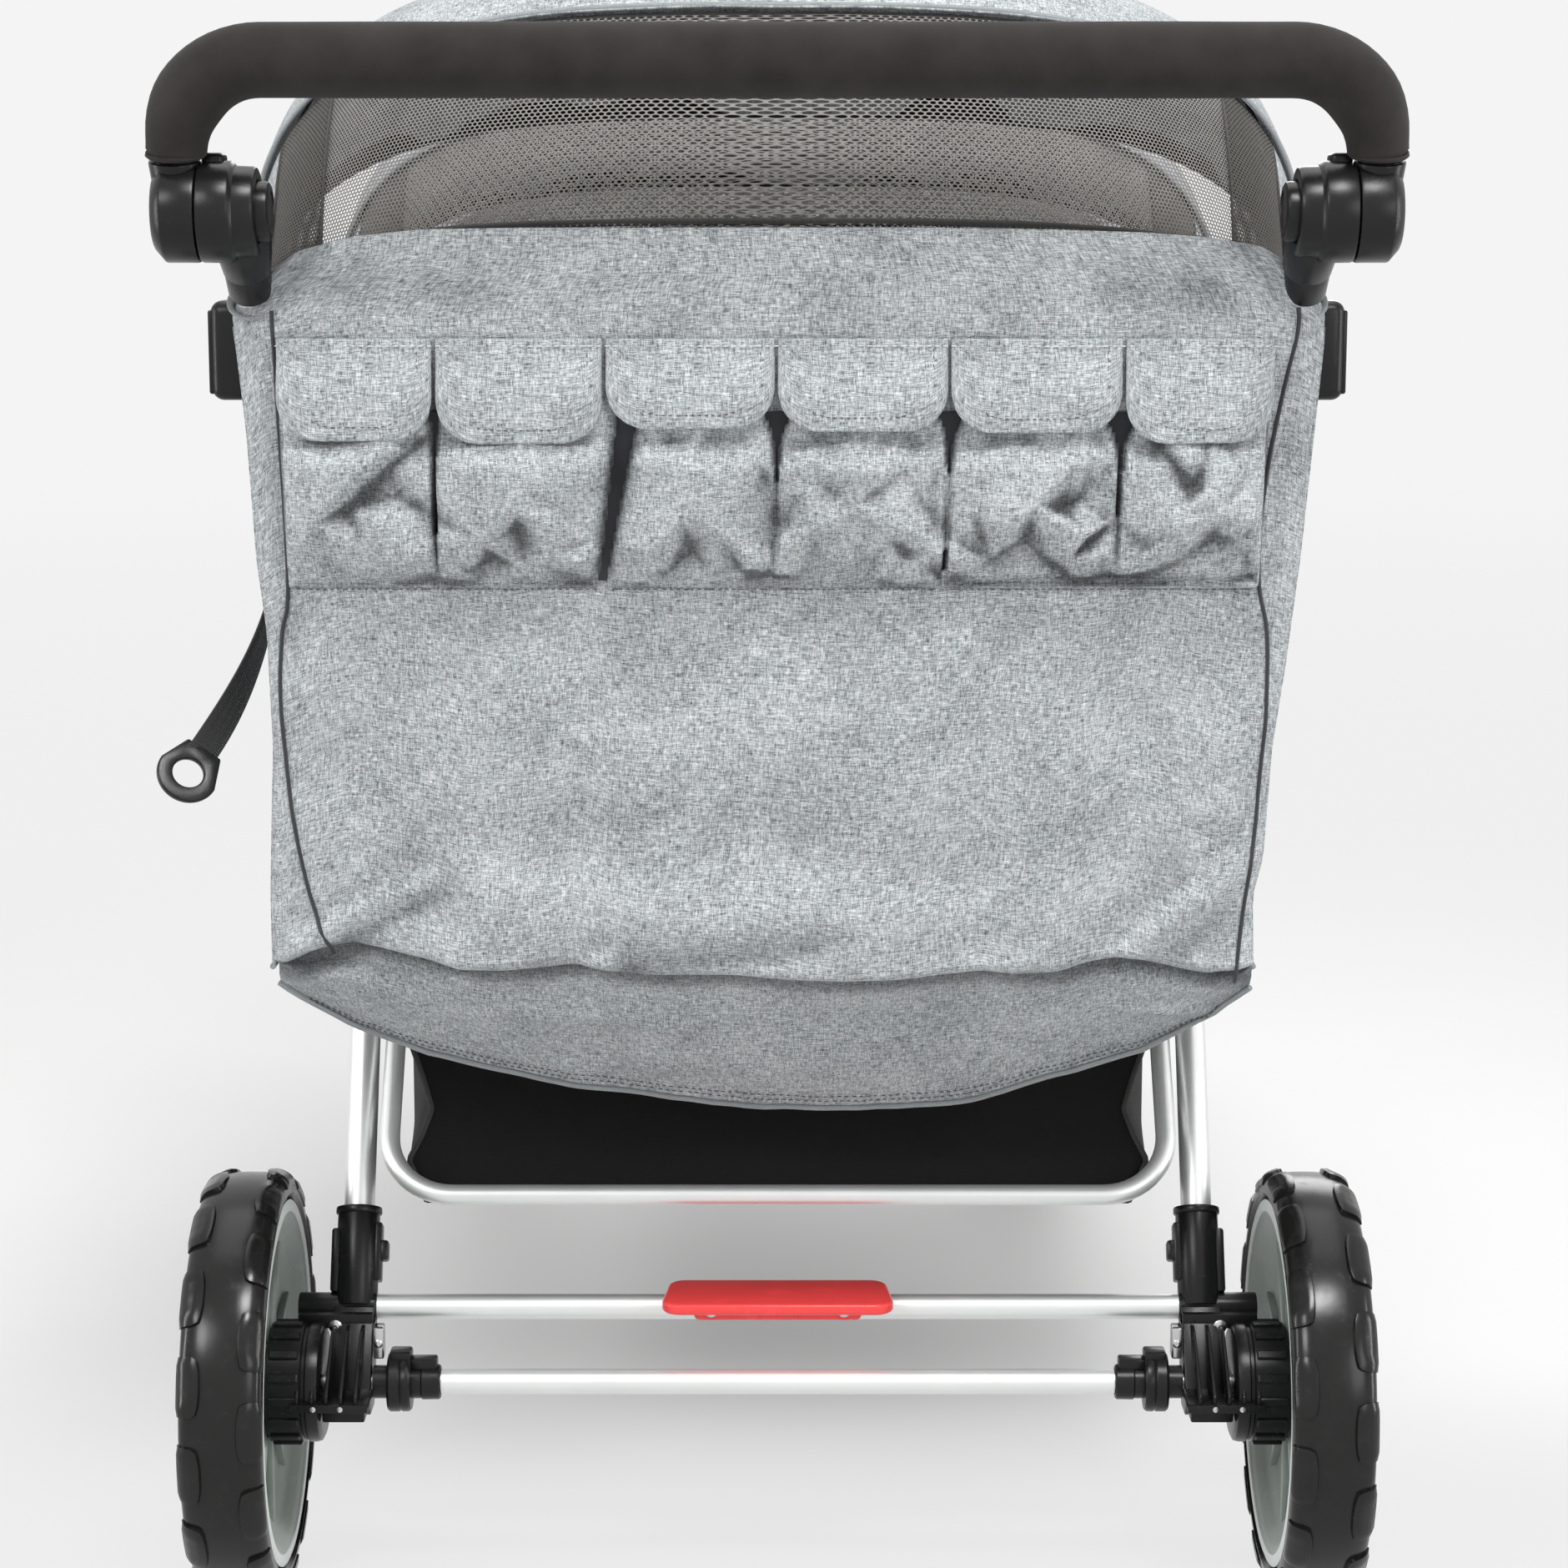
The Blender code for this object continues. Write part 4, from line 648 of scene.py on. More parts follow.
def make_studio():
    camera = bpy.data.cameras.new("photo_camera")
    camera.sensor_width = 36.0
    camera.lens = 81.4
    camera.shift_x = 0.0021
    holder = placed("photo_camera", camera)
    holder.location = (0.002, -2.8305, 0.960)
    holder.rotation_euler = (math.radians(80.0), 0.0, 0.0)
    bpy.context.scene.camera = holder
    bpy.context.scene.view_settings.view_transform = "Standard"

    aim_lamp("key_lamp", (-1.7, -2.9, 2.5), (0, -0.5, 0.6), (0.9, 0.8), 31.0)
    aim_lamp("rake_lamp", (0.4, -1.95, 2.9), (0, -0.6, 0.6), (0.9, 0.5), 50.0)
    aim_lamp("fill_lamp", (1.9, -3.2, 1.5), (0, -0.5, 0.6), (1.2, 1.2), 15.0)
    aim_lamp("top_lamp", (0.0, 0.5, 3.4), (0, 0.2, 0.4), (2.4, 2.4), 24.0)
    aim_lamp("front_lamp", (0.6, 3.6, 2.0), (0, 0.3, 0.5), (2.0, 1.6), 40.0)
    aim_lamp("left_strip", (-2.6, -0.9, 0.8), (-0.3, -0.5, 0.4), (0.30, 1.6), 17.0)
    aim_lamp("right_strip", (2.6, -0.9, 0.8), (0.3, -0.5, 0.4), (0.30, 1.6), 17.0)

    world = bpy.data.worlds.new("studio_world")
    bpy.context.scene.world = world
    world.use_nodes = True
    nodes, links = world.node_tree.nodes, world.node_tree.links
    seen = nodes.new("ShaderNodeLightPath")
    lit, shown, blend = nodes["Background"], nodes.new("ShaderNodeBackground"), nodes.new("ShaderNodeMixShader")
    lit.inputs["Color"].default_value = (0.95, 0.95, 0.95, 1.0)
    lit.inputs["Strength"].default_value = 0.22
    shown.inputs["Color"].default_value = (0.905, 0.905, 0.905, 1.0)
    shown.inputs["Strength"].default_value = 1.0
    # The first node's free input keeps its 0.5, so rays that only light things get half of each background
    direct = None
    for kind in ("Is Camera Ray", "Is Glossy Ray", "Is Transmission Ray"):
        either = nodes.new("ShaderNodeMath")
        either.operation = "MAXIMUM"
        links.new(seen.outputs[kind], either.inputs[0])
        if direct:
            links.new(direct.outputs[0], either.inputs[1])
        direct = either
    links.new(direct.outputs[0], blend.inputs[0])
    links.new(lit.outputs[0], blend.inputs[1])
    links.new(shown.outputs[0], blend.inputs[2])
    links.new(blend.outputs[0], nodes["World Output"].inputs["Surface"])

    floor_finish = Finish("studio_floor", Base_Color=(0.80, 0.80, 0.795, 1.0), Roughness=0.55, Specular_IOR_Level=0.3)
    tree = floor_finish.tree
    path = tree.nodes.new("ShaderNodeLightPath")
    glow = tree.nodes.new("ShaderNodeEmission")
    sideways, depth, _ = floor_finish.points().parts()
    away = (sideways * sideways + depth * depth).power(0.5)
    share = depth.step(0.25, 2.2).most(away.step(1.3, 3.2))
    # The floor around the rear wheels and behind them glows for camera and reflected rays: painted light that mostly
    # hides the stroller's shadow there.
    near = 1 - depth.step(-0.40, 0.0)
    paler = floor_finish.ramp(share * 0.5 + away.step(3.0, 8.9) * 0.5, (0.0, (0.84, 0.84, 0.84)),
                              (0.5, (0.865, 0.865, 0.865)), (1.0, (0.905, 0.905, 0.905)))
    tree.links.new(paler.socket, glow.inputs["Color"])
    mix = tree.nodes.new("ShaderNodeMixShader")
    camera_ray, glossy_ray, clear_ray = (Value(floor_finish, path.outputs[f"Is {kind} Ray"])
                                         for kind in ("Camera", "Glossy", "Transmission"))
    seen = camera_ray.most(glossy_ray).most(clear_ray)
    seen_share = seen * (0.12 + share * 0.88 + near * 0.78)
    tree.links.new(seen_share.socket, mix.inputs[0])
    tree.links.new(floor_finish.shader.outputs[0], mix.inputs[1])
    tree.links.new(glow.outputs[0], mix.inputs[2])
    tree.links.new(mix.outputs[0], tree.nodes["Material Output"].inputs["Surface"])
    shape = bmesh.new()
    bmesh.ops.create_grid(shape, x_segments=2, y_segments=2, size=9.0)
    mesh = bpy.data.meshes.new("studio_floor")
    shape.to_mesh(mesh)
    shape.free()
    mesh.materials.append(floor_finish.material)
    placed("studio_floor", mesh)


make_studio()


# Back of the tub

# Height and forward distance of the rear panel's outer face
PANEL_PROFILE = ((0.335, 0.000), (0.452, -0.118), (0.706, -0.155), (0.854, -0.190), (0.9185, -0.208),
                 (0.940, -0.213))
# Height and half width of the tub's outline on each side, as it stands against the background
LEFT_EDGE = ((0.340, 0.314), (0.457, 0.3195), (0.504, 0.3185), (0.547, 0.316), (0.601, 0.3125), (0.675, 0.313),
             (0.717, 0.317), (0.799, 0.3185), (0.849, 0.3215), (0.870, 0.3235), (0.885, 0.314), (0.893, 0.303),
             (0.907, 0.293), (0.930, 0.287))
RIGHT_EDGE = ((0.340, 0.300), (0.457, 0.301), (0.504, 0.2985), (0.530, 0.304), (0.601, 0.3065), (0.654, 0.3125),
              (0.717, 0.318), (0.799, 0.322), (0.849, 0.3245), (0.870, 0.3245), (0.885, 0.318), (0.896, 0.308),
              (0.912, 0.293), (0.930, 0.289))
# Across and height of the panel's top hem, the fold over the lip and the lip's own hem
TOP_HEM = ((-0.303, 0.893), (-0.293, 0.906), (-0.278, 0.911), (-0.258, 0.9155), (-0.219, 0.9195), (-0.161, 0.9205),
           (0.004, 0.9208), (0.091, 0.9206), (0.169, 0.9195), (0.227, 0.9175), (0.266, 0.9145), (0.290, 0.9105),
           (0.306, 0.898))
FOLD = ((-0.318, 0.4565), (-0.298, 0.4543), (-0.278, 0.4642), (-0.254, 0.4699), (-0.236, 0.4667),
        (-0.207, 0.4586), (-0.189, 0.4517), (-0.164, 0.4506), (-0.133, 0.4541), (-0.115, 0.4570),
        (-0.098, 0.4501), (-0.071, 0.4468), (-0.045, 0.4474), (-0.016, 0.4474), (0.016, 0.4431),
        (0.049, 0.4409), (0.082, 0.4431), (0.107, 0.4474), (0.135, 0.4510), (0.157, 0.4474), (0.182, 0.4495),
        (0.199, 0.4565), (0.219, 0.4619), (0.248, 0.4554), (0.274, 0.4484), (0.302, 0.4506))
LIP_HEM = ((-0.318, 0.4480), (-0.311, 0.4433), (-0.291, 0.4268), (-0.271, 0.4115), (-0.251, 0.3974),
           (-0.229, 0.3862), (-0.198, 0.3764), (-0.171, 0.3672), (-0.139, 0.3579), (-0.117, 0.3541),
           (-0.080, 0.3470), (-0.052, 0.3415), (-0.024, 0.3372), (0.015, 0.3356), (0.040, 0.3352),
           (0.075, 0.3362), (0.113, 0.3392), (0.134, 0.3455), (0.154, 0.3556), (0.179, 0.3653), (0.212, 0.3764),
           (0.238, 0.3877), (0.261, 0.4078), (0.279, 0.4250), (0.298, 0.4430), (0.302, 0.4480))
LEFT_PIPING = ((0.4680, -0.2790), (0.509, -0.292), (0.558, -0.300), (0.601, -0.3035), (0.638, -0.3045),
               (0.675, -0.302), (0.706, -0.297), (0.819, -0.297), (0.872, -0.2975))
RIGHT_PIPING = ((0.449, 0.288), (0.482, 0.290), (0.520, 0.2935), (0.553, 0.297), (0.590, 0.2985), (0.628, 0.3000),
                (0.675, 0.2985), (0.706, 0.292), (0.748, 0.291), (0.804, 0.297), (0.859, 0.3060), (0.874, 0.306))
# Folds of the cloth: two ends (across, height), width, height of the ridge, and lean from one side to the other
PANEL_FOLDS = (
    (-0.222, 0.510, -0.292, 0.474, 0.010, 0.0030, 0.0065),
    (-0.238, 0.484, -0.205, 0.470, 0.014, 0.0030, 0.0000),
    (-0.292, 0.560, -0.270, 0.520, 0.018, 0.0020, 0.0000),
    (-0.112, 0.466, -0.150, 0.452, 0.009, 0.0010, -0.0030),
    (-0.090, 0.456, 0.020, 0.471, 0.012, -0.0040, 0.0020),
    (-0.060, 0.492, 0.060, 0.484, 0.030, 0.0040, 0.0000),
    (-0.170, 0.495, -0.100, 0.500, 0.030, 0.0035, 0.0000),
    (-0.210, 0.545, 0.020, 0.555, 0.032, -0.0022, 0.0000),
    (0.010, 0.540, 0.180, 0.515, 0.030, -0.0022, 0.0000),
    (0.100, 0.500, 0.190, 0.505, 0.026, 0.0030, 0.0000),
    (0.125, 0.455, 0.160, 0.462, 0.010, 0.0010, -0.0035),
    (0.219, 0.462, 0.262, 0.500, 0.012, 0.0030, -0.0035),
    (0.232, 0.490, 0.285, 0.530, 0.014, 0.0020, 0.0030),
    (-0.286, 0.640, -0.240, 0.700, 0.020, 0.0016, 0.0000),
    (0.286, 0.610, 0.235, 0.560, 0.020, 0.0018, 0.0010),
    (-0.050, 0.620, 0.110, 0.640, 0.050, 0.0016, 0.0000),
    (-0.285, 0.885, -0.180, 0.880, 0.018, -0.0028, 0.0000),
    (0.285, 0.880, 0.200, 0.884, 0.016, -0.0024, 0.0000),
    (-0.300, 0.860, -0.262, 0.905, 0.010, 0.0018, 0.0012),
    (0.302, 0.860, 0.262, 0.902, 0.010, 0.0018, -0.0012),
    (-0.120, 0.900, 0.020, 0.903, 0.020, 0.0015, 0.0000),
)
LIP_FOLDS = (
    (0.217, 0.456, 0.246, 0.433, 0.006, 0.0030, 0.0030),
    (0.224, 0.430, 0.273, 0.428, 0.006, 0.0025, 0.0030),
    (0.240, 0.450, 0.282, 0.442, 0.008, 0.0030, 0.0000),
    (-0.150, 0.420, -0.060, 0.408, 0.012, 0.0022, -0.0015),
    (-0.260, 0.440, -0.190, 0.425, 0.016, 0.0025, 0.0000),
    (0.020, 0.410, 0.140, 0.415, 0.018, -0.0025, 0.0000),
    (-0.070, 0.380, 0.060, 0.370, 0.016, 0.0020, 0.0000),
)


def panel_y(z):
    return between(PANEL_PROFILE, z)


def fold_height(folds, x, z):
    """Height above the plain cloth that a list of folds gives at a point."""
    total = 0.0
    for from_x, from_z, to_x, to_z, width, ridge, lean in folds:
        run_x, run_z = to_x - from_x, to_z - from_z
        length = math.hypot(run_x, run_z)
        along = ((x - from_x) * run_x + (z - from_z) * run_z) / length ** 2
        held = min(max(along, 0.0), 1.0)
        away = math.hypot(x - from_x - held * run_x, z - from_z - held * run_z) / width
        if away < 3:
            side = ((x - from_x) * run_z - (z - from_z) * run_x) / length / width
            total += math.exp(-away * away) * (ridge + lean * side)
    return total


def rumple(x, z, seed, size, height):
    return noise.noise(Vector((x / size, z / size, seed))) * height


def edge_x(side, z):
    return side * between(LEFT_EDGE if side < 0 else RIGHT_EDGE, z)


def panel_height(x, z):
    return (fold_height(PANEL_FOLDS, x, z) * 1.9 + rumple(x, z, 1.0, 0.075, 0.0036)
            + rumple(x, z, 5.0, 0.026, 0.0016))


def corner_turn(inset):
    """How far the cloth turns forward at a distance in from the tub's outline."""
    return 0.013 * (1 - min(max(inset, 0.0) / 0.017, 1.0)) ** 2


def panel_point(x, z, proud=0.0):
    """Point on the outer face of the rear panel."""
    inset = abs(edge_x(math.copysign(1, x), z)) - abs(x)
    height = panel_height(x, z)
    seam = 0.0022 * math.exp(-((inset - 0.019) / 0.006) ** 2)
    quiet = smooth(abs(z - 0.706) / 0.02) if z < 0.86 else 1.0
    return Vector((x, panel_y(z) + corner_turn(inset) - height * quiet + seam - proud, z))


def make_rear_panel():
    """The main cloth, from its top hem down to the fold that hangs over the lip."""
    columns, rows = 132, 120

    def place(across, down):
        side = 2 * across - 1
        share = math.copysign(abs(side) ** 0.92, side)
        rough = share * 0.305
        high, low = between(TOP_HEM, rough), between(FOLD, rough)
        z = high + (low - high) * down
        left, right = edge_x(-1, z), edge_x(1, z)
        x = (left + right) / 2 + share * (right - left) / 2
        point = panel_point(x, z)
        under = smooth((down - 0.965) / 0.035)
        point.y += 0.010 * under * under - 0.0035 * math.sin(math.pi * under)
        point.z += 0.0035 * under ** 3
        return point

    # Folds that lie below the cloth around them are darkened in colour: painted shade.
    panel = shade_hollows(facing(cloth(columns, rows, place), (0, -1, 0)), panel_height,
                          ((0.016, 0.0150), (0.040, 0.0340)))
    piece("rear_panel_cloth", panel, "heather", "root", ("rear_panel",), thickness=CLOTH, subdivide=1)


def lip_point(x, z):
    height = (fold_height(LIP_FOLDS, x, z) * 1.6 + rumple(x, z, 9.0, 0.06, 0.0030)
              + rumple(x, z, 12.0, 0.02, 0.0012)) * min((0.304 - abs(x)) / 0.03, 1.0)
    return Vector((x, panel_y(z) + corner_turn(0.319 - abs(x)) + 0.0045 - height * 0.75, z - height * 0.6))


def lip_place(across, down):
    x = -0.316 + 0.615 * across
    high = between(FOLD, x) + 0.018
    low = between(LIP_HEM, x)
    point = lip_point(x, high + (low - high) * down)
    point.y += 0.009 * smooth((0.46 - down) / 0.20)
    return point


def make_lip():
    """Lower part of the back, which sweeps in under the seats to a stitched hem."""
    lip = facing(cloth(110, 30, lip_place), (0, -1, -1))
    # The lip is darkened towards the fold above it: painted shade under the overhanging fold.
    mark = lip.verts.layers.float.new("hollow")
    for vert in lip.verts:
        vert[mark] = 0.8 * smooth((vert.co.z - between(FOLD, vert.co.x) + 0.010) / 0.011)
    piece("rear_lip_cloth", lip, "heather_shaded", thickness=CLOTH, subdivide=1)
    hem = [lip_place(n / 90, 0.995) + Vector((0, -0.0012, -0.0004)) for n in range(91)]
    piece("lip_hem_edge", curve_shape(hem, 0.0019, rings=3), "heather_shaded")
    for name, down in (("lip_stitches", 0.94), ("lip_stitches_upper", 0.905)):
        line = [lip_place(0.03 + 0.94 * n / 90, down) + Vector((0, -0.0009, -0.0006)) for n in range(91)]
        stitches(name, line, "dark_thread", stitch=0.0034)


def panel_line(points, proud):
    return [panel_point(x, z, proud) for x, z in points]


def fine_line(points, steps=6):
    """Adds points between the given ones, with a slight rounding of the corners."""
    line = []
    for number in range(len(points) - 1):
        before = points[max(number - 1, 0)]
        start, end = points[number], points[number + 1]
        after = points[min(number + 2, len(points) - 1)]
        for step in range(steps):
            t = step / steps
            line.append(tuple(0.5 * (2 * b + (c - a) * t + (2 * a - 5 * b + 4 * c - d) * t * t
                                     + (3 * b - a - 3 * c + d) * t ** 3)
                              for a, b, c, d in zip(before, start, end, after)))
    return line + [tuple(points[-1])]


def make_piping():
    for name, line in (("left", LEFT_PIPING), ("right", RIGHT_PIPING)):
        points = fine_line([(x, z) for z, x in line])
        piece(f"panel_piping_{name}", curve_shape(panel_line(points, 0.0004), 0.0013, rings=2), "piping")


# Pockets under their flaps

POCKET_EDGES = (-0.2970, -0.2050, -0.1045, -0.0022, 0.1000, 0.2025, 0.2920)
POCKET_TOP = 0.842
POCKET_FOOT = 0.7045
# How far from each seam between pockets the cloth is drawn down
SEAM_REACH = (0.006, 0.004, 0.010, 0.004, 0.004, 0.004, 0.006)
# Share of the pockets' stand-off that stays at each seam
SEAM_KEPT = (0.0, 0.60, 0.0, 0.60, 0.60, 0.60, 0.0)
# Gap between two pockets: place and half width at the flaps, at the seam, and how fast it narrows
POCKET_GAPS = (
    (-0.2970, 0.0014, -0.2970, 0.0010, 1.0), (-0.2040, 0.0016, -0.2050, 0.0002, 8.0),
    (-0.0905, 0.0058, -0.1065, 0.0019, 0.9), (0.0000, 0.0036, -0.0022, 0.0002, 9.0),
    (0.1030, 0.0034, 0.1000, 0.0002, 9.0), (0.2045, 0.0050, 0.2025, 0.0002, 9.0),
    (0.2935, 0.0016, 0.2920, 0.0010, 1.0),
)
# Crumples of the pockets, in millimetres: across, height, and how far the cloth stands off the panel
POCKET_CRUMPLES = (
    (-294, 819, 8), (-248, 819, 12), (-204, 819, 6), (-208, 808, 13), (-236, 790, 14), (-262, 761, 14),
    (-205, 799, 4), (-231, 778, 5), (-255, 756, 8), (-240, 745, 13), (-214, 726, 11), (-270, 719, 4), (-287, 714, 3),
    (-247, 713, 3), (-220, 713, 3), (-247, 729, 11), (-294, 756, 7), (-281, 777, 11), (-276, 746, 12), (-293, 724, 7),
    (-225, 761, 5), (-208, 752, 6), (-295, 705, 0), (-268, 705, 0), (-241, 706, 0), (-208, 709, 0), (-202, 812, 6),
    (-151, 819, 13), (-104, 823, 9), (-155, 769, 15), (-155, 755, 15), (-176, 735, 13), (-197, 717, 7),
    (-155, 743, 8), (-172, 726, 4), (-185, 716, 3), (-152, 716, 3), (-134, 716, 4), (-139, 746, 14), (-129, 756, 11),
    (-112, 750, 7), (-164, 729, 10), (-134, 727, 10), (-117, 723, 12), (-128, 719, 10), (-111, 714, 4),
    (-101, 777, 8), (-111, 735, 7), (-105, 713, 2), (-182, 707, 0), (-144, 706, 0), (-106, 707, 0), (-204, 767, 9),
    (-205, 735, 9), (-183, 790, 12), (-83, 814, 9), (-50, 814, 14), (-6, 816, 7), (-75, 788, 12), (-51, 777, 15),
    (-20, 788, 9), (-6, 777, 5), (-89, 763, 9), (-100, 731, 9), (-93, 714, 3), (-57, 751, 15), (-72, 731, 13),
    (-87, 712, 4), (-37, 743, 13), (-15, 721, 10), (-53, 731, 4), (-66, 714, 2), (-39, 714, 2), (-21, 716, 2),
    (-7, 721, 7), (-101, 706, 0), (-62, 705, 0), (-21, 707, 0), (-4, 713, 0), (-5, 746, 5), (-4, 819, 4), (6, 810, 5),
    (47, 814, 12), (85, 812, 6), (96, 819, 4), (47, 792, 14), (48, 777, 15), (25, 746, 13), (3, 727, 10), (1, 716, 8),
    (76, 742, 14), (91, 729, 11), (-2, 777, 6), (18, 777, 9), (6, 746, 7), (75, 777, 7), (96, 777, 5), (95, 746, 6),
    (47, 756, 12), (45, 735, 10), (66, 737, 10), (15, 714, 2), (45, 719, 4), (76, 728, 6), (56, 712, 2), (72, 716, 7),
    (85, 718, 8), (95, 715, 2), (0, 712, 1), (25, 706, 0), (76, 705, 0), (98, 706, 0), (100, 816, 4), (112, 806, 5),
    (152, 812, 12), (188, 812, 10), (198, 816, 6), (178, 789, 14), (153, 759, 15), (135, 744, 14), (109, 723, 10),
    (103, 714, 3), (102, 777, 6), (126, 781, 9), (117, 752, 8), (105, 735, 7), (189, 788, 8), (198, 777, 6),
    (179, 761, 7), (168, 756, 7), (199, 746, 6), (162, 750, 14), (185, 740, 12), (193, 727, 8), (148, 735, 5),
    (128, 723, 3), (118, 714, 2), (158, 726, 4), (185, 735, 5), (173, 723, 10), (192, 720, 6), (179, 713, 2),
    (198, 715, 2), (104, 707, 0), (138, 706, 0), (180, 709, 0), (201, 713, 0), (203, 808, 5), (227, 798, 4),
    (258, 802, 11), (288, 802, 9), (236, 795, 14), (257, 765, 15), (262, 752, 14), (278, 748, 12), (230, 789, 5),
    (249, 768, 6), (206, 777, 7), (223, 767, 10), (243, 756, 12), (220, 731, 7), (205, 746, 7), (279, 777, 7),
    (290, 777, 6), (290, 746, 7), (240, 744, 14), (222, 725, 10), (209, 716, 7), (261, 737, 5), (275, 735, 5),
    (247, 725, 4), (231, 716, 2), (262, 714, 2), (284, 721, 2), (291, 723, 7), (208, 712, 0), (231, 706, 0),
    (262, 706, 0), (289, 708, 0),
)
# Sides and hem of each flap
FLAPS = ((-0.2955, -0.2040, 0.7953), (-0.2018, -0.1034, 0.7935), (-0.1013, -0.0014, 0.8025),
         (0.0002, 0.1008, 0.8010), (0.1024, 0.2036, 0.8002), (0.2054, 0.2932, 0.7940))
FLAP_TOP = 0.8560


def pocket_gap(number, z):
    """Place and half width of the gap between two pockets at a height."""
    top_x, top_half, foot_x, foot_half, narrowing = POCKET_GAPS[number]
    share = min(max((z - POCKET_FOOT) / (0.800 - POCKET_FOOT), 0.0), 1.15)
    return foot_x + (top_x - foot_x) * share, foot_half + (top_half - foot_half) * share ** narrowing


def crumpled():
    """The pockets' crumples as a tree of creased facets: across, height and stand-off in metres."""
    spots = [Vector(spot) / 1000 for spot in POCKET_CRUMPLES]
    flat, _, faces, kept, _, _ = delaunay_2d_cdt([spot.xy for spot in spots], [], [], 0, 1e-6)
    return BVHTree.FromPolygons([(*place, spots[from_spot[0]].z) for place, from_spot in zip(flat, kept)], faces)


CRUMPLED = crumpled()


def crumple_height(x, z):
    """Stand-off of the creased cloth, its edges softened over a millimetre or two."""
    total = 0.0
    for a, b in ((0, 0), (0.0011, 0), (-0.0011, 0), (0, 0.0011), (0, -0.0011)):
        place = CRUMPLED.ray_cast((x + a, z + b, 1.0), (0, 0, -1))[0]
        total += place.z if place else 0.007
    return total / 5


def swelling(share):
    """Rises steeply from an edge and flattens, as share goes from 0 to 1."""
    return (1 - (1 - share) ** 2.4) ** 0.7


def pocket_height(x, z):
    """How far the pockets stand off the panel at a point."""
    for number in range(len(POCKET_GAPS) - 1):
        left, left_half = pocket_gap(number, z)
        right, right_half = pocket_gap(number + 1, z)
        low, high = left + left_half, right - right_half
        if left <= x <= right:
            if not low < x < high:
                return 0.0
            shape = 1.0
            for seam, near, half in ((number, x - low, left_half), (number + 1, high - x, right_half)):
                kept = SEAM_KEPT[seam] if half < 0.0006 else 0.0
                shape *= kept + (1 - kept) * swelling(min(near / SEAM_REACH[seam], 1.0))
            shape *= swelling(min(max(z - POCKET_FOOT, 0.0) / 0.006, 1.0))
            slack = rumple(x, z, 20.0, 0.014, 0.0012) + rumple(x, z, 22.0, 0.006, 0.0005)
            relief = 1 + 1.25 * smooth((0.797 - z) / 0.018)
            return (max(crumple_height(x, z) * relief + 0.0015 + slack, 0.0015) * shape
                    * smooth((POCKET_TOP - z) / 0.036))
    return 0.0


def shade_hollows(shape, height, reaches=((0.005, 0.0040), (0.014, 0.0075))):
    """Marks how far each point lies below the cloth around it; the cloth's colour is darkened there as painted shade
    in such folds.
    """
    mark = shape.verts.layers.float.new("hollow")
    for vert in shape.verts:
        x, _, z = vert.co
        here = height(x, z)
        deep = 0.0
        for reach, depth in reaches:
            around = sum(height(x + a, z + b) for a, b in ((reach, 0), (-reach, 0), (0, reach), (0, -reach))) / 4
            deep += max((around - here) / depth, 0.0)
        vert[mark] = min(deep, 1.0)
    return shape


def make_pockets():
    columns, rows = 280, 80

    def place(across, down):
        x = POCKET_EDGES[0] + (POCKET_EDGES[-1] - POCKET_EDGES[0]) * across
        z = POCKET_TOP + (POCKET_FOOT - 0.001 - POCKET_TOP) * down
        return panel_point(x, z, 0.0006 + pocket_height(x, z))

    # Creases that lie below the cloth around them are darkened in colour: painted shade.
    pockets = shade_hollows(cloth(columns, rows, place), pocket_height)
    piece("pockets_cloth", facing(pockets, (0, -1, 0)), "heather")
    # A strip of dark cloth lies in each gap between two pockets: painted shade for the deep shadow in the gaps.
    for number in range(1, 6):
        def gap_shade_strip(across, down, number=number):
            z = 0.812 + (POCKET_FOOT + 0.004 - 0.812) * down
            middle, half = pocket_gap(number, z)
            return panel_point(middle + (2 * across - 1) * (half + 0.0004), z, 0.0016)

        piece(f"pocket_gap_shade_{number}", facing(cloth(3, 24, gap_shade_strip), (0, -1, 0)), "piping")
    for number, (left, right) in enumerate(zip(POCKET_EDGES, POCKET_EDGES[1:]), 1):
        low, high = left + 0.0022, right - 0.0022
        route = rounded([(low, 0, 0.735), (low, 0, 0.7030), (high, 0, 0.7030), (high, 0, 0.735)], 0.008)
        route = fine_line([(point.x, point.z) for point in route], 3)
        stitches(f"pocket_stitches_{number}", panel_line(route, 0.0011), "dark_thread", radius=0.00035)


def flap_place(left, right, hem):
    """Flap that leans out over its pocket, with a rounded lower edge."""
    half, middle = (right - left) / 2, (left + right) / 2
    corner = 0.025

    def place(across, down):
        side = math.sin((across - 0.5) * math.pi)
        side = 0.55 * side + 0.45 * (2 * across - 1)
        over = max(abs(side) * half - (half - corner), 0.0)
        foot = hem + corner - math.sqrt(max(corner ** 2 - over ** 2, 0.0))
        z = FLAP_TOP + (foot - FLAP_TOP) * down
        x = middle + side * half
        lean = smooth((FLAP_TOP - z) / 0.042)
        hang = 0.0150 * lean * (1 - 0.22 * abs(side) ** 3) + 0.0012 * math.sin(3.1 * x / 0.05)
        ripple = rumple(x, z, 30.0, 0.022, 0.0012) * lean
        return panel_point(x, z, 0.0018 + hang + ripple)

    return place


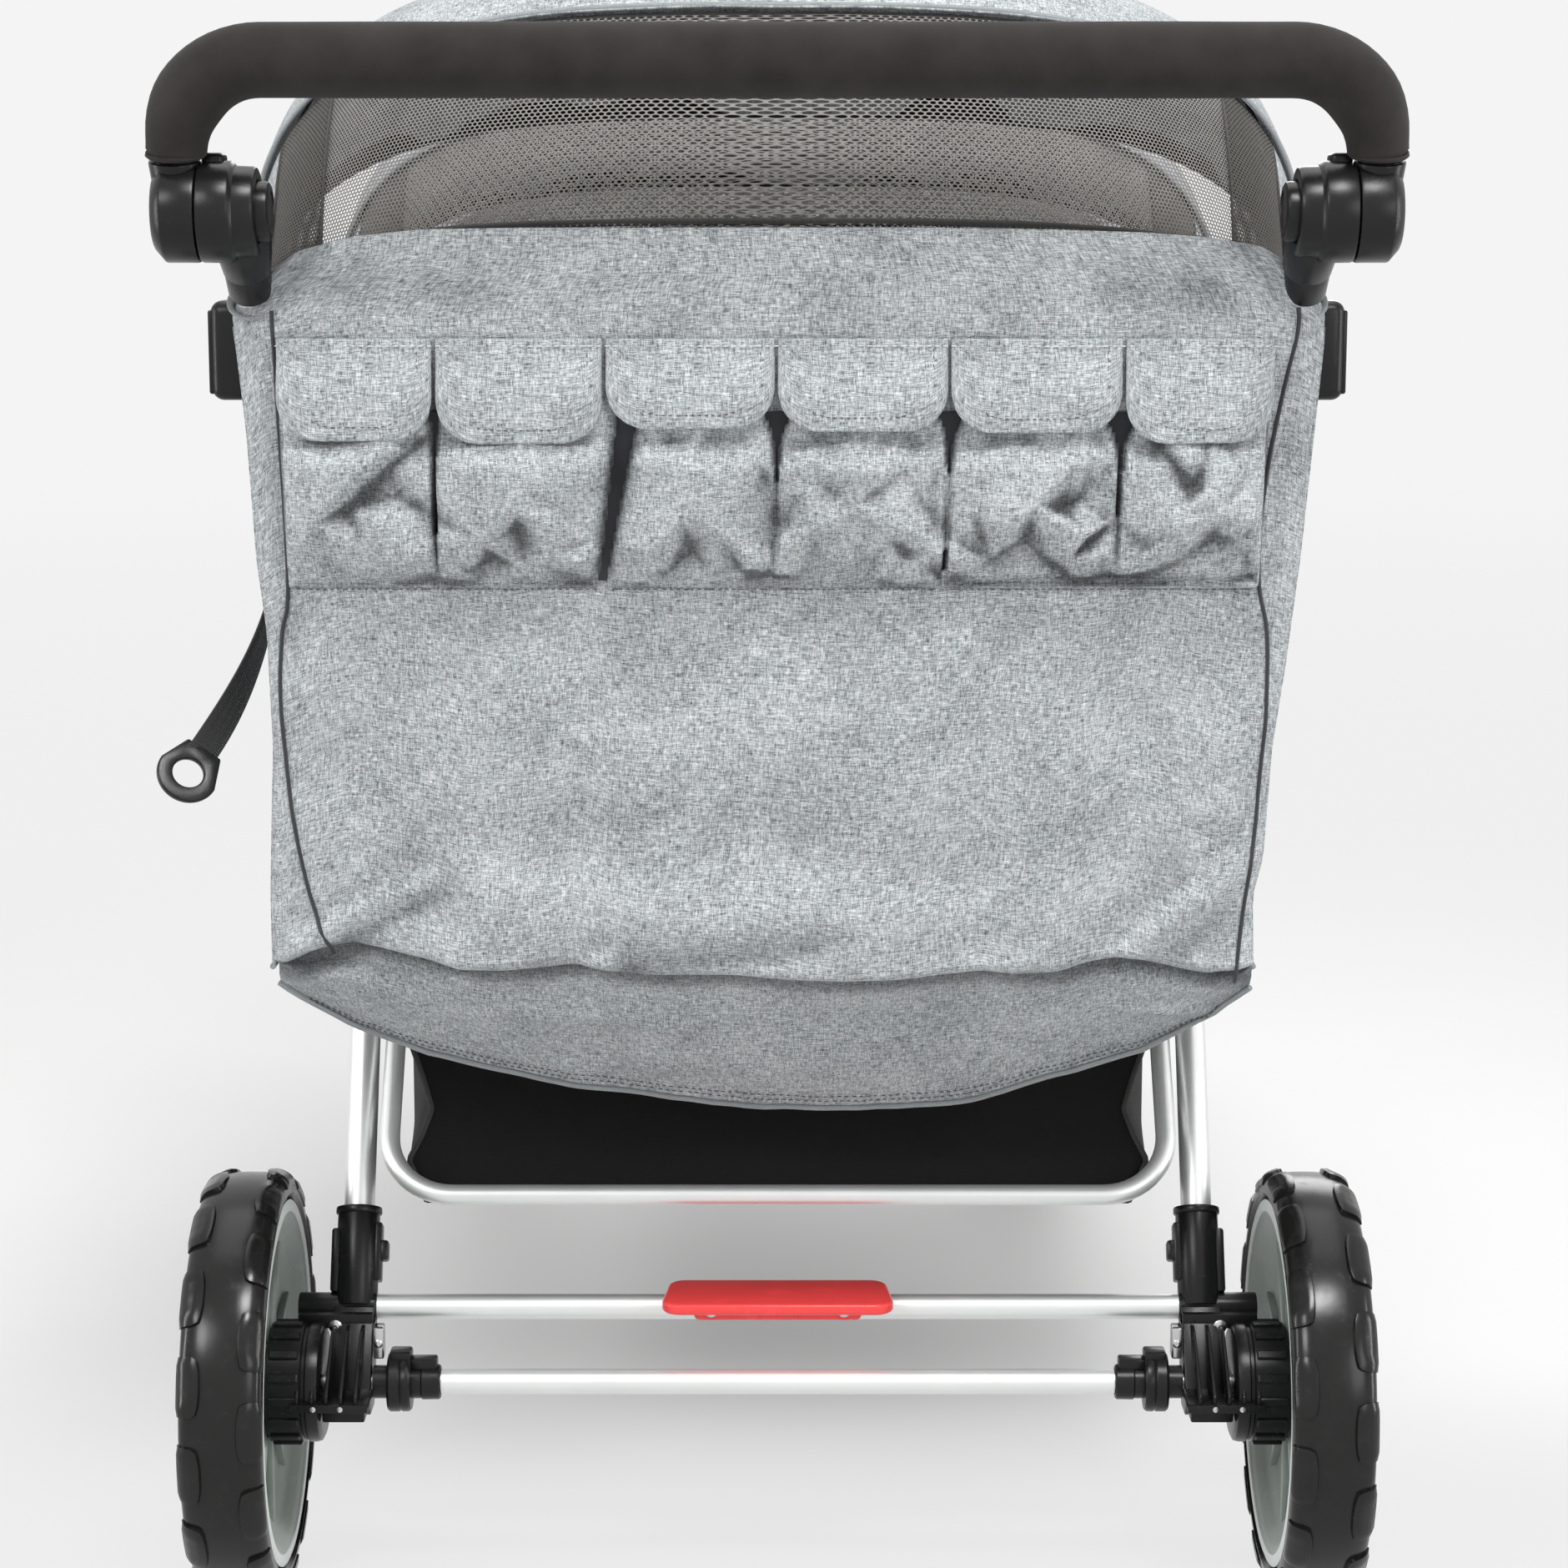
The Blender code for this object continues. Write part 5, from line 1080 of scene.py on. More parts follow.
def make_flaps():
    for number, (left, right, hem) in enumerate(FLAPS, 1):
        place = flap_place(left, right, hem)
        piece(f"pocket_flap_{number}", facing(cloth(30, 20, place), (0, -1, 0)), "heather", thickness=0.0024,
              offset=0.0, subdivide=1, sharp=60)
        inner = flap_place(left + 0.0085, right - 0.0085, hem + 0.0085)
        line = [inner(0.004, down / 8) for down in range(2, 8)]
        line += [inner(across / 28, 1.0) for across in range(29)]
        line += [inner(0.996, down / 8) for down in range(7, 1, -1)]
        line = [point + Vector((0, -0.0016, 0)) for point in line]
        stitches(f"flap_stitches_{number}", line, "dark_thread", stitch=0.0026, gap=0.0014, radius=0.00032)
    seam = panel_line([(-0.2965 + 0.598 * n / 120, 0.8515) for n in range(121)], 0.0038)
    stitches("flap_seam_stitches", seam, "pale_thread", stitch=0.0036, gap=0.0012, radius=0.00048)


make_rear_panel()
make_lip()
make_piping()
make_pockets()
make_flaps()


# Sides of the tub

PUSH_RAIL_X = 0.310
LOWER_RAIL_X = 0.250
SIDE_X = 0.3243
SIDE_FRONT_Y = 1.166
LEG_X = 0.288
LEG_PIVOT_Y, LEG_PIVOT_Z = 0.168, 0.460
RAIL_KNUCKLE = Vector((PUSH_RAIL_X, KNUCKLE_Y, KNUCKLE_Z))
RAIL_BEND = Vector((PUSH_RAIL_X, RAIL_BEND_Y, RAIL_BEND_Z))


def push_rail_z(y):
    return 0.862 - 0.119 * (y + 0.165)


def lower_rail_z(y):
    return 0.475 - 0.064 * (y - 0.020)


def leg_socket(side):
    return Vector((side * LEG_X, 0.060, 0.248))


def rail_start(distance):
    """Point of the right push rail at a distance below its knuckle."""
    return RAIL_KNUCKLE + (RAIL_BEND - RAIL_KNUCKLE).normalized() * distance


def flipped(route, side):
    return [Vector((side * point[0], point[1], point[2])) for point in route]


def side_place(side):
    """Side cloth: hangs from the push rail to below the lower rail, drawn in at the back corner."""
    def place(across, down):
        far = smooth((across - 0.02) / 0.16)
        top = push_rail_z(across * SIDE_FRONT_Y) + 0.004
        foot = lower_rail_z(across * SIDE_FRONT_Y) - 0.020 - 0.004 * math.sin(across * 9.0) ** 2
        if across < 0.10:
            blend = across / 0.10
            top = 0.862 * (1 - blend) + top * blend
            foot = 0.4565 * (1 - blend) + foot * blend
        z = top + (foot - top) * down
        back = panel_y(z) + 0.0135
        y = back + (SIDE_FRONT_Y - back) * across
        held = edge_x(side, z)
        puff = 0.0030 * math.sin(math.pi * down) * (0.35 + 0.65 * abs(math.sin(y / ROW_PITCH * math.pi + 0.7)))
        crease = rumple(y, z, 40.0 + side, 0.11, 0.0030) + rumple(y, z, 44.0 + side, 0.035, 0.0012)
        out = SIDE_X - 0.0024 + (puff + crease * math.sin(math.pi * down)) * far
        x = abs(held) * (1 - far) + out * far
        return Vector((side * min(x, 0.3290), y, z))

    return place


def make_side(name, side):
    place = side_place(side)
    piece(f"side_cloth_{name}", facing(cloth(150, 40, place), (side, 0, 0)), "heather", "root",
          (f"side_panel_{name}",), thickness=CLOTH)
    hem = [place(0.01 + 0.98 * n / 120, 0.985) + Vector((side * 0.0006, 0, 0)) for n in range(121)]
    stitches(f"side_hem_stitches_{name}", hem, "dark_thread", stitch=0.0036)
    edge = [place(0.002 + 0.997 * n / 120, 1.0) for n in range(121)]
    piece(f"side_hem_edge_{name}", curve_shape(edge, 0.0019, rings=3), "heather")
    for number, share in enumerate((0.335, 0.665), 1):
        seam = [place(share, n / 40) + Vector((side * 0.0012, 0, 0)) for n in range(41)]
        piece(f"side_seam_{number}_{name}", curve_shape(seam, 0.0014, rings=2), "piping")
    start = rail_start(0.0735)
    route = rounded([start, RAIL_BEND, (PUSH_RAIL_X, SIDE_FRONT_Y, push_rail_z(SIDE_FRONT_Y))], 0.050, 10)
    sleeve = curve_shape(flipped(route, side), 0.0128, radii=[0.0146, 0.0134] + [0.0128] * (len(route) - 2),
                         rings=5, capped=False)
    piece(f"rail_sleeve_{name}", charted(facing(sleeve, (side, 0, 0))), "heather", thickness=0.0014)
    ring = [start + Vector((0.0140 * math.cos(a), 0.0100 * math.sin(a), 0.0095 * math.sin(a)))
            for a in (n / 24 * 2 * math.pi for n in range(24))]
    piece(f"rail_sleeve_hem_{name}", curve_shape(flipped(ring, side), 0.0016, rings=3, closed=True, capped=False),
          "heather")


# Frame

def make_rails(name, side):
    route = rounded([rail_start(0.0653), RAIL_BEND, (PUSH_RAIL_X, 1.170, push_rail_z(1.170)),
                     (0.250, 1.200, 0.3483), (0.250, 1.200, 0.3186)], 0.050, 10)
    piece(f"push_rail_tube_{name}", curve_shape(flipped(route, side), 0.010), "aluminium", "root",
          (f"push_rail_{name}",))
    lower = rounded([(LOWER_RAIL_X, 1.178, lower_rail_z(1.178)), (LOWER_RAIL_X, 0.020, 0.475),
                     (0.2892, -0.100, push_rail_z(-0.100) - 0.006)], 0.060, 10)
    piece(f"lower_rail_tube_{name}", curve_shape(flipped(lower, side), 0.010), "aluminium", "root",
          (f"lower_rail_{name}",))
    boss = rod((side * LOWER_RAIL_X, LEG_PIVOT_Y, LEG_PIVOT_Z), (side * 0.2770, LEG_PIVOT_Y, LEG_PIVOT_Z), 0.012,
               edge=0.001)
    saddle = slab((side * 0.238, 0.146, 0.453), (side * 0.266, 0.190, 0.480), 0.004, 3)
    piece(f"leg_pivot_mount_{name}", together(boss, saddle), "black_plastic")


def make_leg(name, side):
    pivot, socket = Vector((side * LEG_X, LEG_PIVOT_Y, LEG_PIVOT_Z)), leg_socket(side)
    down = (socket - pivot).normalized()
    tube = rod(pivot, socket + down * 0.0446, 0.0105, segments=40)
    piece(f"leg_tube_{name}", tube, "aluminium", "rear_frame", (f"rear_leg_{name}",))
    eye = rod((side * 0.2775, pivot.y, pivot.z), (side * 0.2985, pivot.y, pivot.z), 0.0135, edge=0.002)
    cap = rod(pivot - down * 0.002, pivot + down * 0.024, 0.0122, edge=0.0015)
    piece(f"leg_eye_{name}", together(eye, cap), "black_plastic", "rear_frame")
    rivet = screw_head((side * 0.2985, pivot.y, pivot.z), (side, 0, 0), 0.006, 0.003)
    piece(f"leg_pivot_rivet_{name}", rivet, "steel", "rear_frame")


def make_hoop():
    half = [(0.266, 0.166, 0.4477), (0.266, 0.166, 0.4177), (0.266, 0.030, 0.267)]
    corners = half + [(-x, y, z) for x, y, z in reversed(half)]
    piece("hoop_tube", curve_shape(rounded(corners, 0.045, 12), 0.007), "aluminium", "root", ("rear_hoop",))


def make_bracket(name, side):
    """Moulded bracket: a socket for the leg, an arm for the brake bar, ribs, a foot plate and the axle block."""
    socket, brake = leg_socket(side), Vector((side * LEG_X, BRAKE_Y, BRAKE_Z))
    down = (brake - socket).normalized()
    across = Vector((side, 0, 0))
    tilt = -0.46
    shapes = [
        rod(socket, brake, 0.0145, segments=40, edge=0.001),
        rod(socket - down * 0.001, socket + down * 0.004, 0.0158, segments=40, edge=0.001),
        rod((side * 0.2735, BRAKE_Y, BRAKE_Z), (side * 0.3265, BRAKE_Y, BRAKE_Z), 0.0098, segments=40,
            edge=0.001),
        slab((side * 0.2745, 0.012, 0.178), (side * 0.3255, 0.034, 0.1885), 0.0015),
    ]
    flange = socket + down * 0.036 + across * 0.0140
    shapes.append(moved(slab((-0.0035, -0.008, -0.022), (0.0035, 0.008, 0.022), 0.002), flange, tilt))
    for number in range(5):
        x = side * (0.3215 - 0.0098 * number)
        shapes.append(prism([(0.018, 0.182), (0.001, 0.180), (-0.0435, 0.1495), (-0.0435, 0.1440), (-0.030, 0.1440),
                             (0.018, 0.160)], x, x - side * 0.0026, 0.0006))
    shapes += [
        slab((side * 0.2725, -0.0455, 0.1385), (side * 0.3250, -0.012, 0.1445), 0.0012),
        slab((side * 0.2765, -0.030, 0.1265), (side * 0.3050, 0.020, 0.1395), 0.0015),
        prism([(-0.020, 0.135), (-0.010, 0.125), (0.010, 0.125), (0.020, 0.135), (0.041, 0.188), (0.019, 0.192)],
              side * 0.2745, side * 0.3015, 0.001),
    ]
    piece(f"bracket_body_{name}", together(*shapes), "black_plastic", "rear_frame", (f"rear_bracket_{name}",))
    clip = socket + down * 0.030 - across * 0.0138
    latch = together(
        moved(slab((-0.003, -0.007, -0.020), (0.003, 0.007, 0.020), 0.0015), clip, tilt),
        moved(prism([(-0.006, -0.006), (0.006, -0.006), (0.006, 0.008), (-0.006, 0.008)], -side * 0.001,
                    -side * 0.0075, 0.002), clip, tilt))
    piece(f"leg_latch_{name}", latch, "black_plastic", "rear_frame")
    heads = [screw_head((side * 0.3000, 0.0120, 0.1800), (0, -1, 0), 0.0046, 0.0022)]
    heads += [screw_head((side * x, -0.0455, 0.1415), (0, -1, 0), 0.0019, 0.0006) for x in (0.291, 0.309)]
    piece(f"bracket_screws_{name}", together(*heads), "steel", "rear_frame")
    spring = together(
        slab((side * 0.2665, 0.002, 0.160), (side * 0.2735, 0.014, 0.182), 0.0012),
        screw_head((side * 0.2700, 0.002, 0.171), (0, -1, 0), 0.003, 0.0015))
    piece(f"brake_link_{name}", spring, "steel", "rear_frame")


def make_axle():
    tube = rod((-0.2275, 0, REAR_WHEEL), (0.2275, 0, REAR_WHEEL), 0.0085, segments=40)
    pin = rod((-0.376, 0, REAR_WHEEL), (0.376, 0, REAR_WHEEL), 0.005, segments=24)
    piece("axle_tube", together(tube, pin), "aluminium", "rear_frame", ("rear_axle",))
    for name, side in SIDES.items():
        sleeve = lathed(side, (
            (0.2280, 0.0088), (0.2280, 0.0108), (0.2290, 0.0118), (0.2400, 0.0120), (0.2410, 0.0112),
            (0.2470, 0.0112), (0.2475, 0.0185), (0.2490, 0.0198), (0.2530, 0.0200), (0.2545, 0.0192),
            (0.2555, 0.0200), (0.2615, 0.0200), (0.2632, 0.0188), (0.2634, 0.0112), (0.2732, 0.0112),
            (0.2732, 0.0088)), 0.0, REAR_WHEEL, 40, ring=True)
        tab = together(slab((side * 0.2300, -0.006, 0.1550), (side * 0.2480, 0.006, 0.1625), 0.0015),
                       slab((side * 0.2470, -0.008, 0.1610), (side * 0.2620, 0.008, 0.1680), 0.002))
        piece(f"axle_sleeve_cover_{name}", together(sleeve, tab), "black_plastic", "rear_frame",
              (f"axle_sleeve_{name}",))


def make_brake():
    bar = rod((-0.2732, BRAKE_Y, BRAKE_Z), (0.2732, BRAKE_Y, BRAKE_Z), 0.0085, segments=40)
    piece("brake_bar_tube", bar, "aluminium", "brake", ("brake_bar",))
    outline = rounded([(0.0, -0.0175, 0), (0.079, -0.0175, 0), (0.0735, 0.0385, 0), (0, 0.0385, 0)], 0.012, 6)[1:-1]
    outline = [(point.x, point.y) for point in outline]
    outline += [(-x, y) for x, y in reversed(outline)]
    plate = bmesh.new()
    face = plate.faces.new([plate.verts.new((x, y, 0.1970)) for x, y in outline])
    extruded(plate, [face], (0, 0, 0.0078))
    bmesh.ops.recalc_face_normals(plate, faces=plate.faces)
    rims = [e for e in plate.edges if any(len(f.verts) > 6 for f in e.link_faces)]
    bevelled(plate, rims, 0.0026, 4)
    clamp = slab((-0.057, 0.0122, 0.1832), (0.057, 0.0212, 0.2010), 0.0040, 4)
    ribs = [slab((x - 0.0008, 0.0112, 0.186), (x + 0.0008, 0.0130, 0.197), 0.0004, 1) for x in (-0.012, 0.0, 0.012)]
    piece("pedal_body", together(plate, clamp, *ribs), "red_plastic", "brake", ("brake_pedal",), sharp=50)
    heads = [screw_head((side * 0.0450, 0.0122, 0.1905), (0, -1, 0), 0.0040, 0.0026) for side in (-1, 1)]
    cups = []
    for side in (-1, 1):
        cup = turned([(0, 0.0040), (0, 0.0058), (0.0009, 0.0058), (0.0009, 0.0040)], segments=24, ring=True)
        cups.append(moved(cup, (side * 0.0450, 0.0124, 0.1905), -math.pi / 2, "Z"))
    piece("pedal_screws", together(*heads), "steel", "brake")
    piece("pedal_screw_cups", together(*cups), "red_plastic", "brake")


# Wheels

def tyre_section(inner_x, outer_x, radius, seat):
    """Round-shouldered section as (x, radius) points, from the inner bead over the tread to the outer bead."""
    half, middle = (outer_x - inner_x) / 2, (inner_x + outer_x) / 2
    depth = radius - seat
    points = [(middle - half * 0.80, seat)]
    for step in range(17):
        angle = math.pi * (1 - step / 16)
        across = math.copysign(abs(math.cos(angle)) ** 0.75, math.cos(angle))
        points.append((middle + half * across, seat + depth * (0.22 + 0.78 * math.sin(angle) ** 0.62)))
    return points + [(middle + half * 0.80, seat)]


def make_tyre(name, inner_x, outer_x, radius, seat, y, z, body, node, lugs, lug_rise):
    """Moulded tyre with rounded pads round both shoulders, half a pitch apart."""
    base = turned(tyre_section(inner_x, outer_x, radius - lug_rise, seat), y, z, 96, ring=True)
    half, middle = (outer_x - inner_x) / 2, (inner_x + outer_x) / 2
    depth = radius - lug_rise - seat
    pitch = 2 * math.pi / lugs
    shapes = [base]
    for side in (-1, 1):
        for number in range(lugs):
            turn = pitch * (number + (0.5 if side > 0 else 0.0))
            pad = bmesh.new()
            bmesh.ops.create_grid(pad, x_segments=7, y_segments=7, size=1.0)
            top = set(extruded(pad, list(pad.faces)))
            for vert in pad.verts:
                u, v = vert.co.x, vert.co.y
                reach = 1.0 - 0.16 * max(u, 0.0) * abs(v) ** 3
                along = v * pitch * 0.335 * (1.0 - 0.12 * max(u, 0.0) ** 3)
                angle = math.pi * (0.045 + (0.5 - 0.155) * (u * reach + 1) / 2)
                across = math.cos(angle) ** 0.75
                height = seat + depth * (0.22 + 0.78 * math.sin(angle) ** 0.62)
                rim = max(abs(u), abs(v))
                rise = lug_rise if rim < 0.8 else lug_rise * 0.75
                if vert not in top:
                    rise = -0.002
                elif 0.45 < rim < 0.6:
                    rise *= 0.62
                elif rim <= 0.45:
                    rise *= 0.80
                lean = math.cos(angle)
                x = middle + side * (half * across + (rise - lug_rise * 0.55) * lean)
                far = height + rise * math.sin(angle) ** 0.5
                vert.co = (x, y + far * math.sin(turn + along), z + far * math.cos(turn + along))
            bmesh.ops.recalc_face_normals(pad, faces=pad.faces)
            shapes.append(pad)
    return piece(name, together(*shapes), "tyre", body, (node,), sharp=50)


def make_rear_wheel(name, side):
    body = f"rear_wheel_{name}"
    beads = sorted((side * 0.330, side * 0.384))
    make_tyre(f"rear_tyre_tread_{name}", *beads, REAR_WHEEL, 0.123, 0.0, REAR_WHEEL, body, f"rear_tyre_{name}", 15,
              0.0036)
    rim = [(0.3600, 0.0053), (0.3420, 0.0053), (0.3420, 0.026), (0.3490, 0.029), (0.3500, 0.045), (0.3470, 0.094),
           (0.3400, 0.104), (0.3350, 0.109), (0.3320, 0.1145), (0.3325, 0.1205), (0.3345, 0.1227), (0.3795, 0.1227),
           (0.3815, 0.1205), (0.3820, 0.1145), (0.3790, 0.109), (0.3700, 0.104), (0.3630, 0.094), (0.3600, 0.045),
           (0.3620, 0.029), (0.3700, 0.0265), (0.3845, 0.0255), (0.3868, 0.0225), (0.3868, 0.0)]
    shape = lathed(side, rim, 0.0, REAR_WHEEL, 96)
    ribs = []
    for number in range(10):
        for low, high in ((0.3425, 0.3500), (0.3600, 0.3675)):
            rib = slab((side * low, -0.0030, 0.028), (side * high, 0.0030, 0.100), 0.0018, 2)
            ribs.append(spoke(rib, number / 10, 0, REAR_WHEEL))
    piece(f"rear_rim_disc_{name}", together(shape, *ribs), "rim", body, (f"rear_rim_{name}",))
    lip = ((0.3330, 0.1140), (0.3312, 0.1148), (0.3308, 0.1200), (0.3318, 0.1226), (0.3335, 0.1226))
    edge = lathed(side, lip, 0.0, REAR_WHEEL, 96, ring=True)
    piece(f"rear_rim_edge_{name}", edge, "rim_pale", body)
    drum = [(0.3075, 0.0053), (0.3060, 0.012), (0.3060, 0.036), (0.3075, 0.0392), (0.3105, 0.0400), (0.3150, 0.0400),
            (0.3160, 0.0385), (0.3180, 0.0385), (0.3190, 0.0400), (0.3415, 0.0400), (0.3420, 0.0385),
            (0.3420, 0.0053)]
    shape = lathed(side, drum, 0.0, REAR_WHEEL, 48)
    teeth = []
    for number in range(16):
        tooth = slab((side * 0.3200, -0.0030, 0.0385), (side * 0.3400, 0.0030, 0.0420), 0.0008, 1)
        teeth.append(spoke(tooth, number / 16, 0, REAR_WHEEL))
    piece(f"brake_drum_{name}", together(shape, *teeth), "black_plastic", body)
    dome = (0.3850, 0.0), (0.3850, 0.0185), (0.3868, 0.0185), (0.3868, 0.016), (0.3862, 0.0155), (0.3862, 0.0)
    cap = lathed(side, dome, 0.0, REAR_WHEEL, 40)
    piece(f"hub_cap_{name}", cap, "black_plastic", body)


def make_front_wheel(name, side):
    swivel, body = f"caster_{name}", f"front_wheel_{name}"
    radius = 0.115
    x, y, z = side * 0.250, 1.150, radius
    pin_y, housing_top = 1.200, 0.3183
    make_tyre(f"front_tyre_tread_{name}", x - 0.019, x + 0.019, radius, 0.097, y, z, body, f"front_tyre_{name}", 12,
              0.0018)
    half = [(0.0188, 0.0043), (0.0188, 0.0150), (0.0180, 0.0160), (0.0060, 0.0165), (0.0050, 0.0200),
            (0.0050, 0.0760), (0.0080, 0.0830), (0.0130, 0.0870), (0.0145, 0.0900), (0.0145, 0.0950),
            (0.0130, 0.0967)]
    whole = half + [(-across, far) for across, far in reversed(half)]
    rim = turned([(x + across, far) for across, far in whole], y, z, 72, ring=True)
    ribs = []
    for number in range(8):
        for low, high in ((-0.0105, -0.0045), (0.0045, 0.0105)):
            rib = slab((x + low, -0.0026, 0.017), (x + high, 0.0026, 0.081), 0.0015, 2)
            ribs.append(spoke(rib, number / 8, y, z))
    piece(f"front_rim_disc_{name}", together(rim, *ribs), "rim", body, (f"front_rim_{name}",))
    leg = [(1.2195, 0.2545), (1.196, 0.2560), (1.170, 0.2550), (1.163, 0.2420), (1.137, 0.1190), (1.137, 0.1080),
           (1.143, 0.1020), (1.155, 0.1010), (1.163, 0.1060), (1.176, 0.1400), (1.190, 0.1900), (1.2195, 0.2260)]
    shapes = [prism(leg, x - 0.0265, x - 0.0217, 0.0014), prism(leg, x + 0.0217, x + 0.0265, 0.0014),
              slab((x - 0.0262, 1.168, 0.2362), (x + 0.0262, 1.2190, 0.2560), 0.004, 3),
              rod((x, pin_y, 0.241), (x, pin_y, 0.304), 0.008)]
    piece(f"fork_body_{name}", together(*shapes), "black_plastic", swivel, (f"fork_{name}",))
    heads = [screw_head((x + s * 0.0265, y, z), (s, 0, 0), 0.0075, 0.0028) for s in (-1, 1)]
    piece(f"front_axle_{name}", together(rod((x - 0.0262, y, z), (x + 0.0262, y, z), 0.004), *heads), "steel",
          swivel)
    rings = [(0.0086, 0.2563), (0.0185, 0.2563), (0.0200, 0.2580), (0.0200, 0.2680), (0.0188, 0.2690),
             (0.0188, 0.2720), (0.0200, 0.2730), (0.0200, 0.3050), (0.0170, 0.3170), (0.0120, housing_top),
             (0.0, housing_top)]
    housing = turned([(h - housing_top, r) for r, h in rings], segments=48)
    moved(housing, (x, pin_y, housing_top), -math.pi / 2, "Y")
    collar = rod((x, pin_y, 0.3060), (x, pin_y, 0.3420), 0.0135, segments=40, edge=0.0015)
    arm = slab((x - 0.011, 1.170, 0.385), (x + 0.011, 1.212, 0.412), 0.004, 3)
    piece(f"caster_housing_body_{name}", together(housing, collar, arm), "black_plastic", "root",
          (f"caster_housing_{name}",))


# Handle and its knuckles

def make_handle():
    knuckle, corner = Vector((0.343, KNUCKLE_Y, KNUCKLE_Z)), Vector((0.336, -0.250, 1.015))
    up = HANDLE_RISE.normalized()
    lean = 0.007 / 0.085
    start = knuckle + up * (0.0317 + 0.0006 + 0.021 * lean)
    corners = [start, corner, Vector((-corner.x, corner.y, corner.z)), Vector((-start.x, start.y, start.z))]
    route = rounded(corners, 0.050, 14)
    first = [route[0].lerp(route[1], n / 6) for n in range(6)]
    last = [route[-2].lerp(route[-1], n / 6) for n in range(1, 7)]
    middle = []
    for a, b in zip(route[1:-1], route[2:-1]):
        steps = 30 if (b - a).length > 0.1 else 1
        middle += [a.lerp(b, n / steps) for n in range(steps)]
    route = first + middle + [route[-2]] + last
    total = len(route)
    radii = []
    for number, point in enumerate(route):
        reach = min(number, total - 1 - number)
        grown = smooth((point.z - 0.964) / 0.034)
        radii.append(0.0176 + 0.0038 * grown + rumple(point.x, point.z, 3.0, 0.07, 0.0003)
                     - (0.0012 if reach == 0 else 0.0))
    foam = curve_shape(route, 0.021, radii, rings=10)
    piece("grip_foam", foam, "foam", "handle", ("foam_grip",))
    tube = curve_shape(rounded(corners, 0.045, 8), 0.010)
    piece("handle_core", tube, "aluminium", "handle", ("handle_tube",))
    for name, side in SIDES.items():
        tip = Vector((side * start.x, start.y, start.z))
        rim = turned([(-0.0022, 0.0120), (-0.0022, 0.0160), (-0.0006, 0.0178), (0.0012, 0.0174), (0.0012, 0.0120)],
                     segments=40, ring=True)
        bmesh.ops.transform(rim, verts=rim.verts, matrix=aimed(tip, up))
        piece(f"grip_end_{name}", rim, "foam", "handle")


def make_knuckle(name, side):
    """Outer half that tilts with the handle, inner half with its ferrule, and the release button."""
    y, z = KNUCKLE_Y, KNUCKLE_Z
    up = HANDLE_RISE.normalized()
    outer = lathed(side, (
        (0.3313, 0.0), (0.3313, 0.0270), (0.3318, 0.0286), (0.3330, 0.0290), (0.3500, 0.0290), (0.3512, 0.0286),
        (0.3565, 0.0225), (0.3573, 0.0208), (0.3573, 0.0160), (0.3566, 0.0152), (0.3566, 0.0)), y, z, 72)
    centre = Vector((side * 0.3444, y, z))
    collar = rod(centre, centre + up * 0.0305, 0.0128, 0.0128, 40, 0.001)
    saddle = rod(centre + up * 0.012, centre + up * 0.0300, 0.0129, 0.0150, 40, 0.0012)
    piece(f"knuckle_outer_half_{name}", together(outer, collar, saddle), "black_plastic", "handle",
          (f"knuckle_upper_{name}",))
    inner = lathed(side, (
        (0.3308, 0.0), (0.3308, 0.0276), (0.3303, 0.0286), (0.3292, 0.0290), (0.3130, 0.0290), (0.3118, 0.0284),
        (0.3100, 0.0262), (0.3000, 0.0258), (0.2985, 0.0250), (0.2979, 0.0235), (0.2979, 0.0190), (0.2988, 0.0182),
        (0.3050, 0.0181), (0.3055, 0.0176), (0.3055, 0.0)), y, z, 72)
    middle = Vector((side * PUSH_RAIL_X, y, z))
    down = (Vector((side * PUSH_RAIL_X, RAIL_BEND_Y, RAIL_BEND_Z)) - middle).normalized()
    neck = rod(middle + down * 0.012, middle + down * 0.046, 0.0185, 0.0142, 48, 0.001)
    ferrule = rod(middle + down * 0.030, middle + down * 0.0650, 0.0142, 0.0132, 48, 0.0015)
    lug = slab((side * 0.3165, y - 0.006, z + 0.022), (side * 0.3295, y + 0.012, z + 0.0335), 0.003, 3)
    piece(f"knuckle_inner_half_{name}", together(inner, neck, ferrule, lug), "black_plastic", "root",
          (f"knuckle_lower_{name}",))
    button = lathed(side, (
        (0.3000, 0.0), (0.3000, 0.0172), (0.2935, 0.0174), (0.2918, 0.0168), (0.2908, 0.0152), (0.2905, 0.0120),
        (0.2912, 0.0112), (0.2912, 0.0)), y, z, 56)
    piece(f"button_{name}", button, "black_plastic", f"button_{name}", (f"knuckle_button_{name}",))


for name, side in SIDES.items():
    make_side(name, side)
    make_rails(name, side)
    make_leg(name, side)
    make_bracket(name, side)
    make_rear_wheel(name, side)
    make_front_wheel(name, side)
    make_knuckle(name, side)
make_hoop()
make_axle()
make_brake()
make_handle()


# Hoods

HOOD_LAYERS = {"back": (0, 120, 160), "middle": (1, 78, 121), "front": (2, 36, 79)}
BAND_INNER = ((160, 46.8), (120, 35.7))
BAND_OUTER = ((160, 62.4), (120, 43.6))


def hood_radius(layer):
    return 0.240 + 0.006 * layer


def hood_pivot(row):
    y = ROWS[row] * ROW_PITCH + 0.020
    return y, push_rail_z(y)


def hood_end(layer):
    return math.degrees(math.acos((0.035 / hood_radius(layer)) ** 1.6))


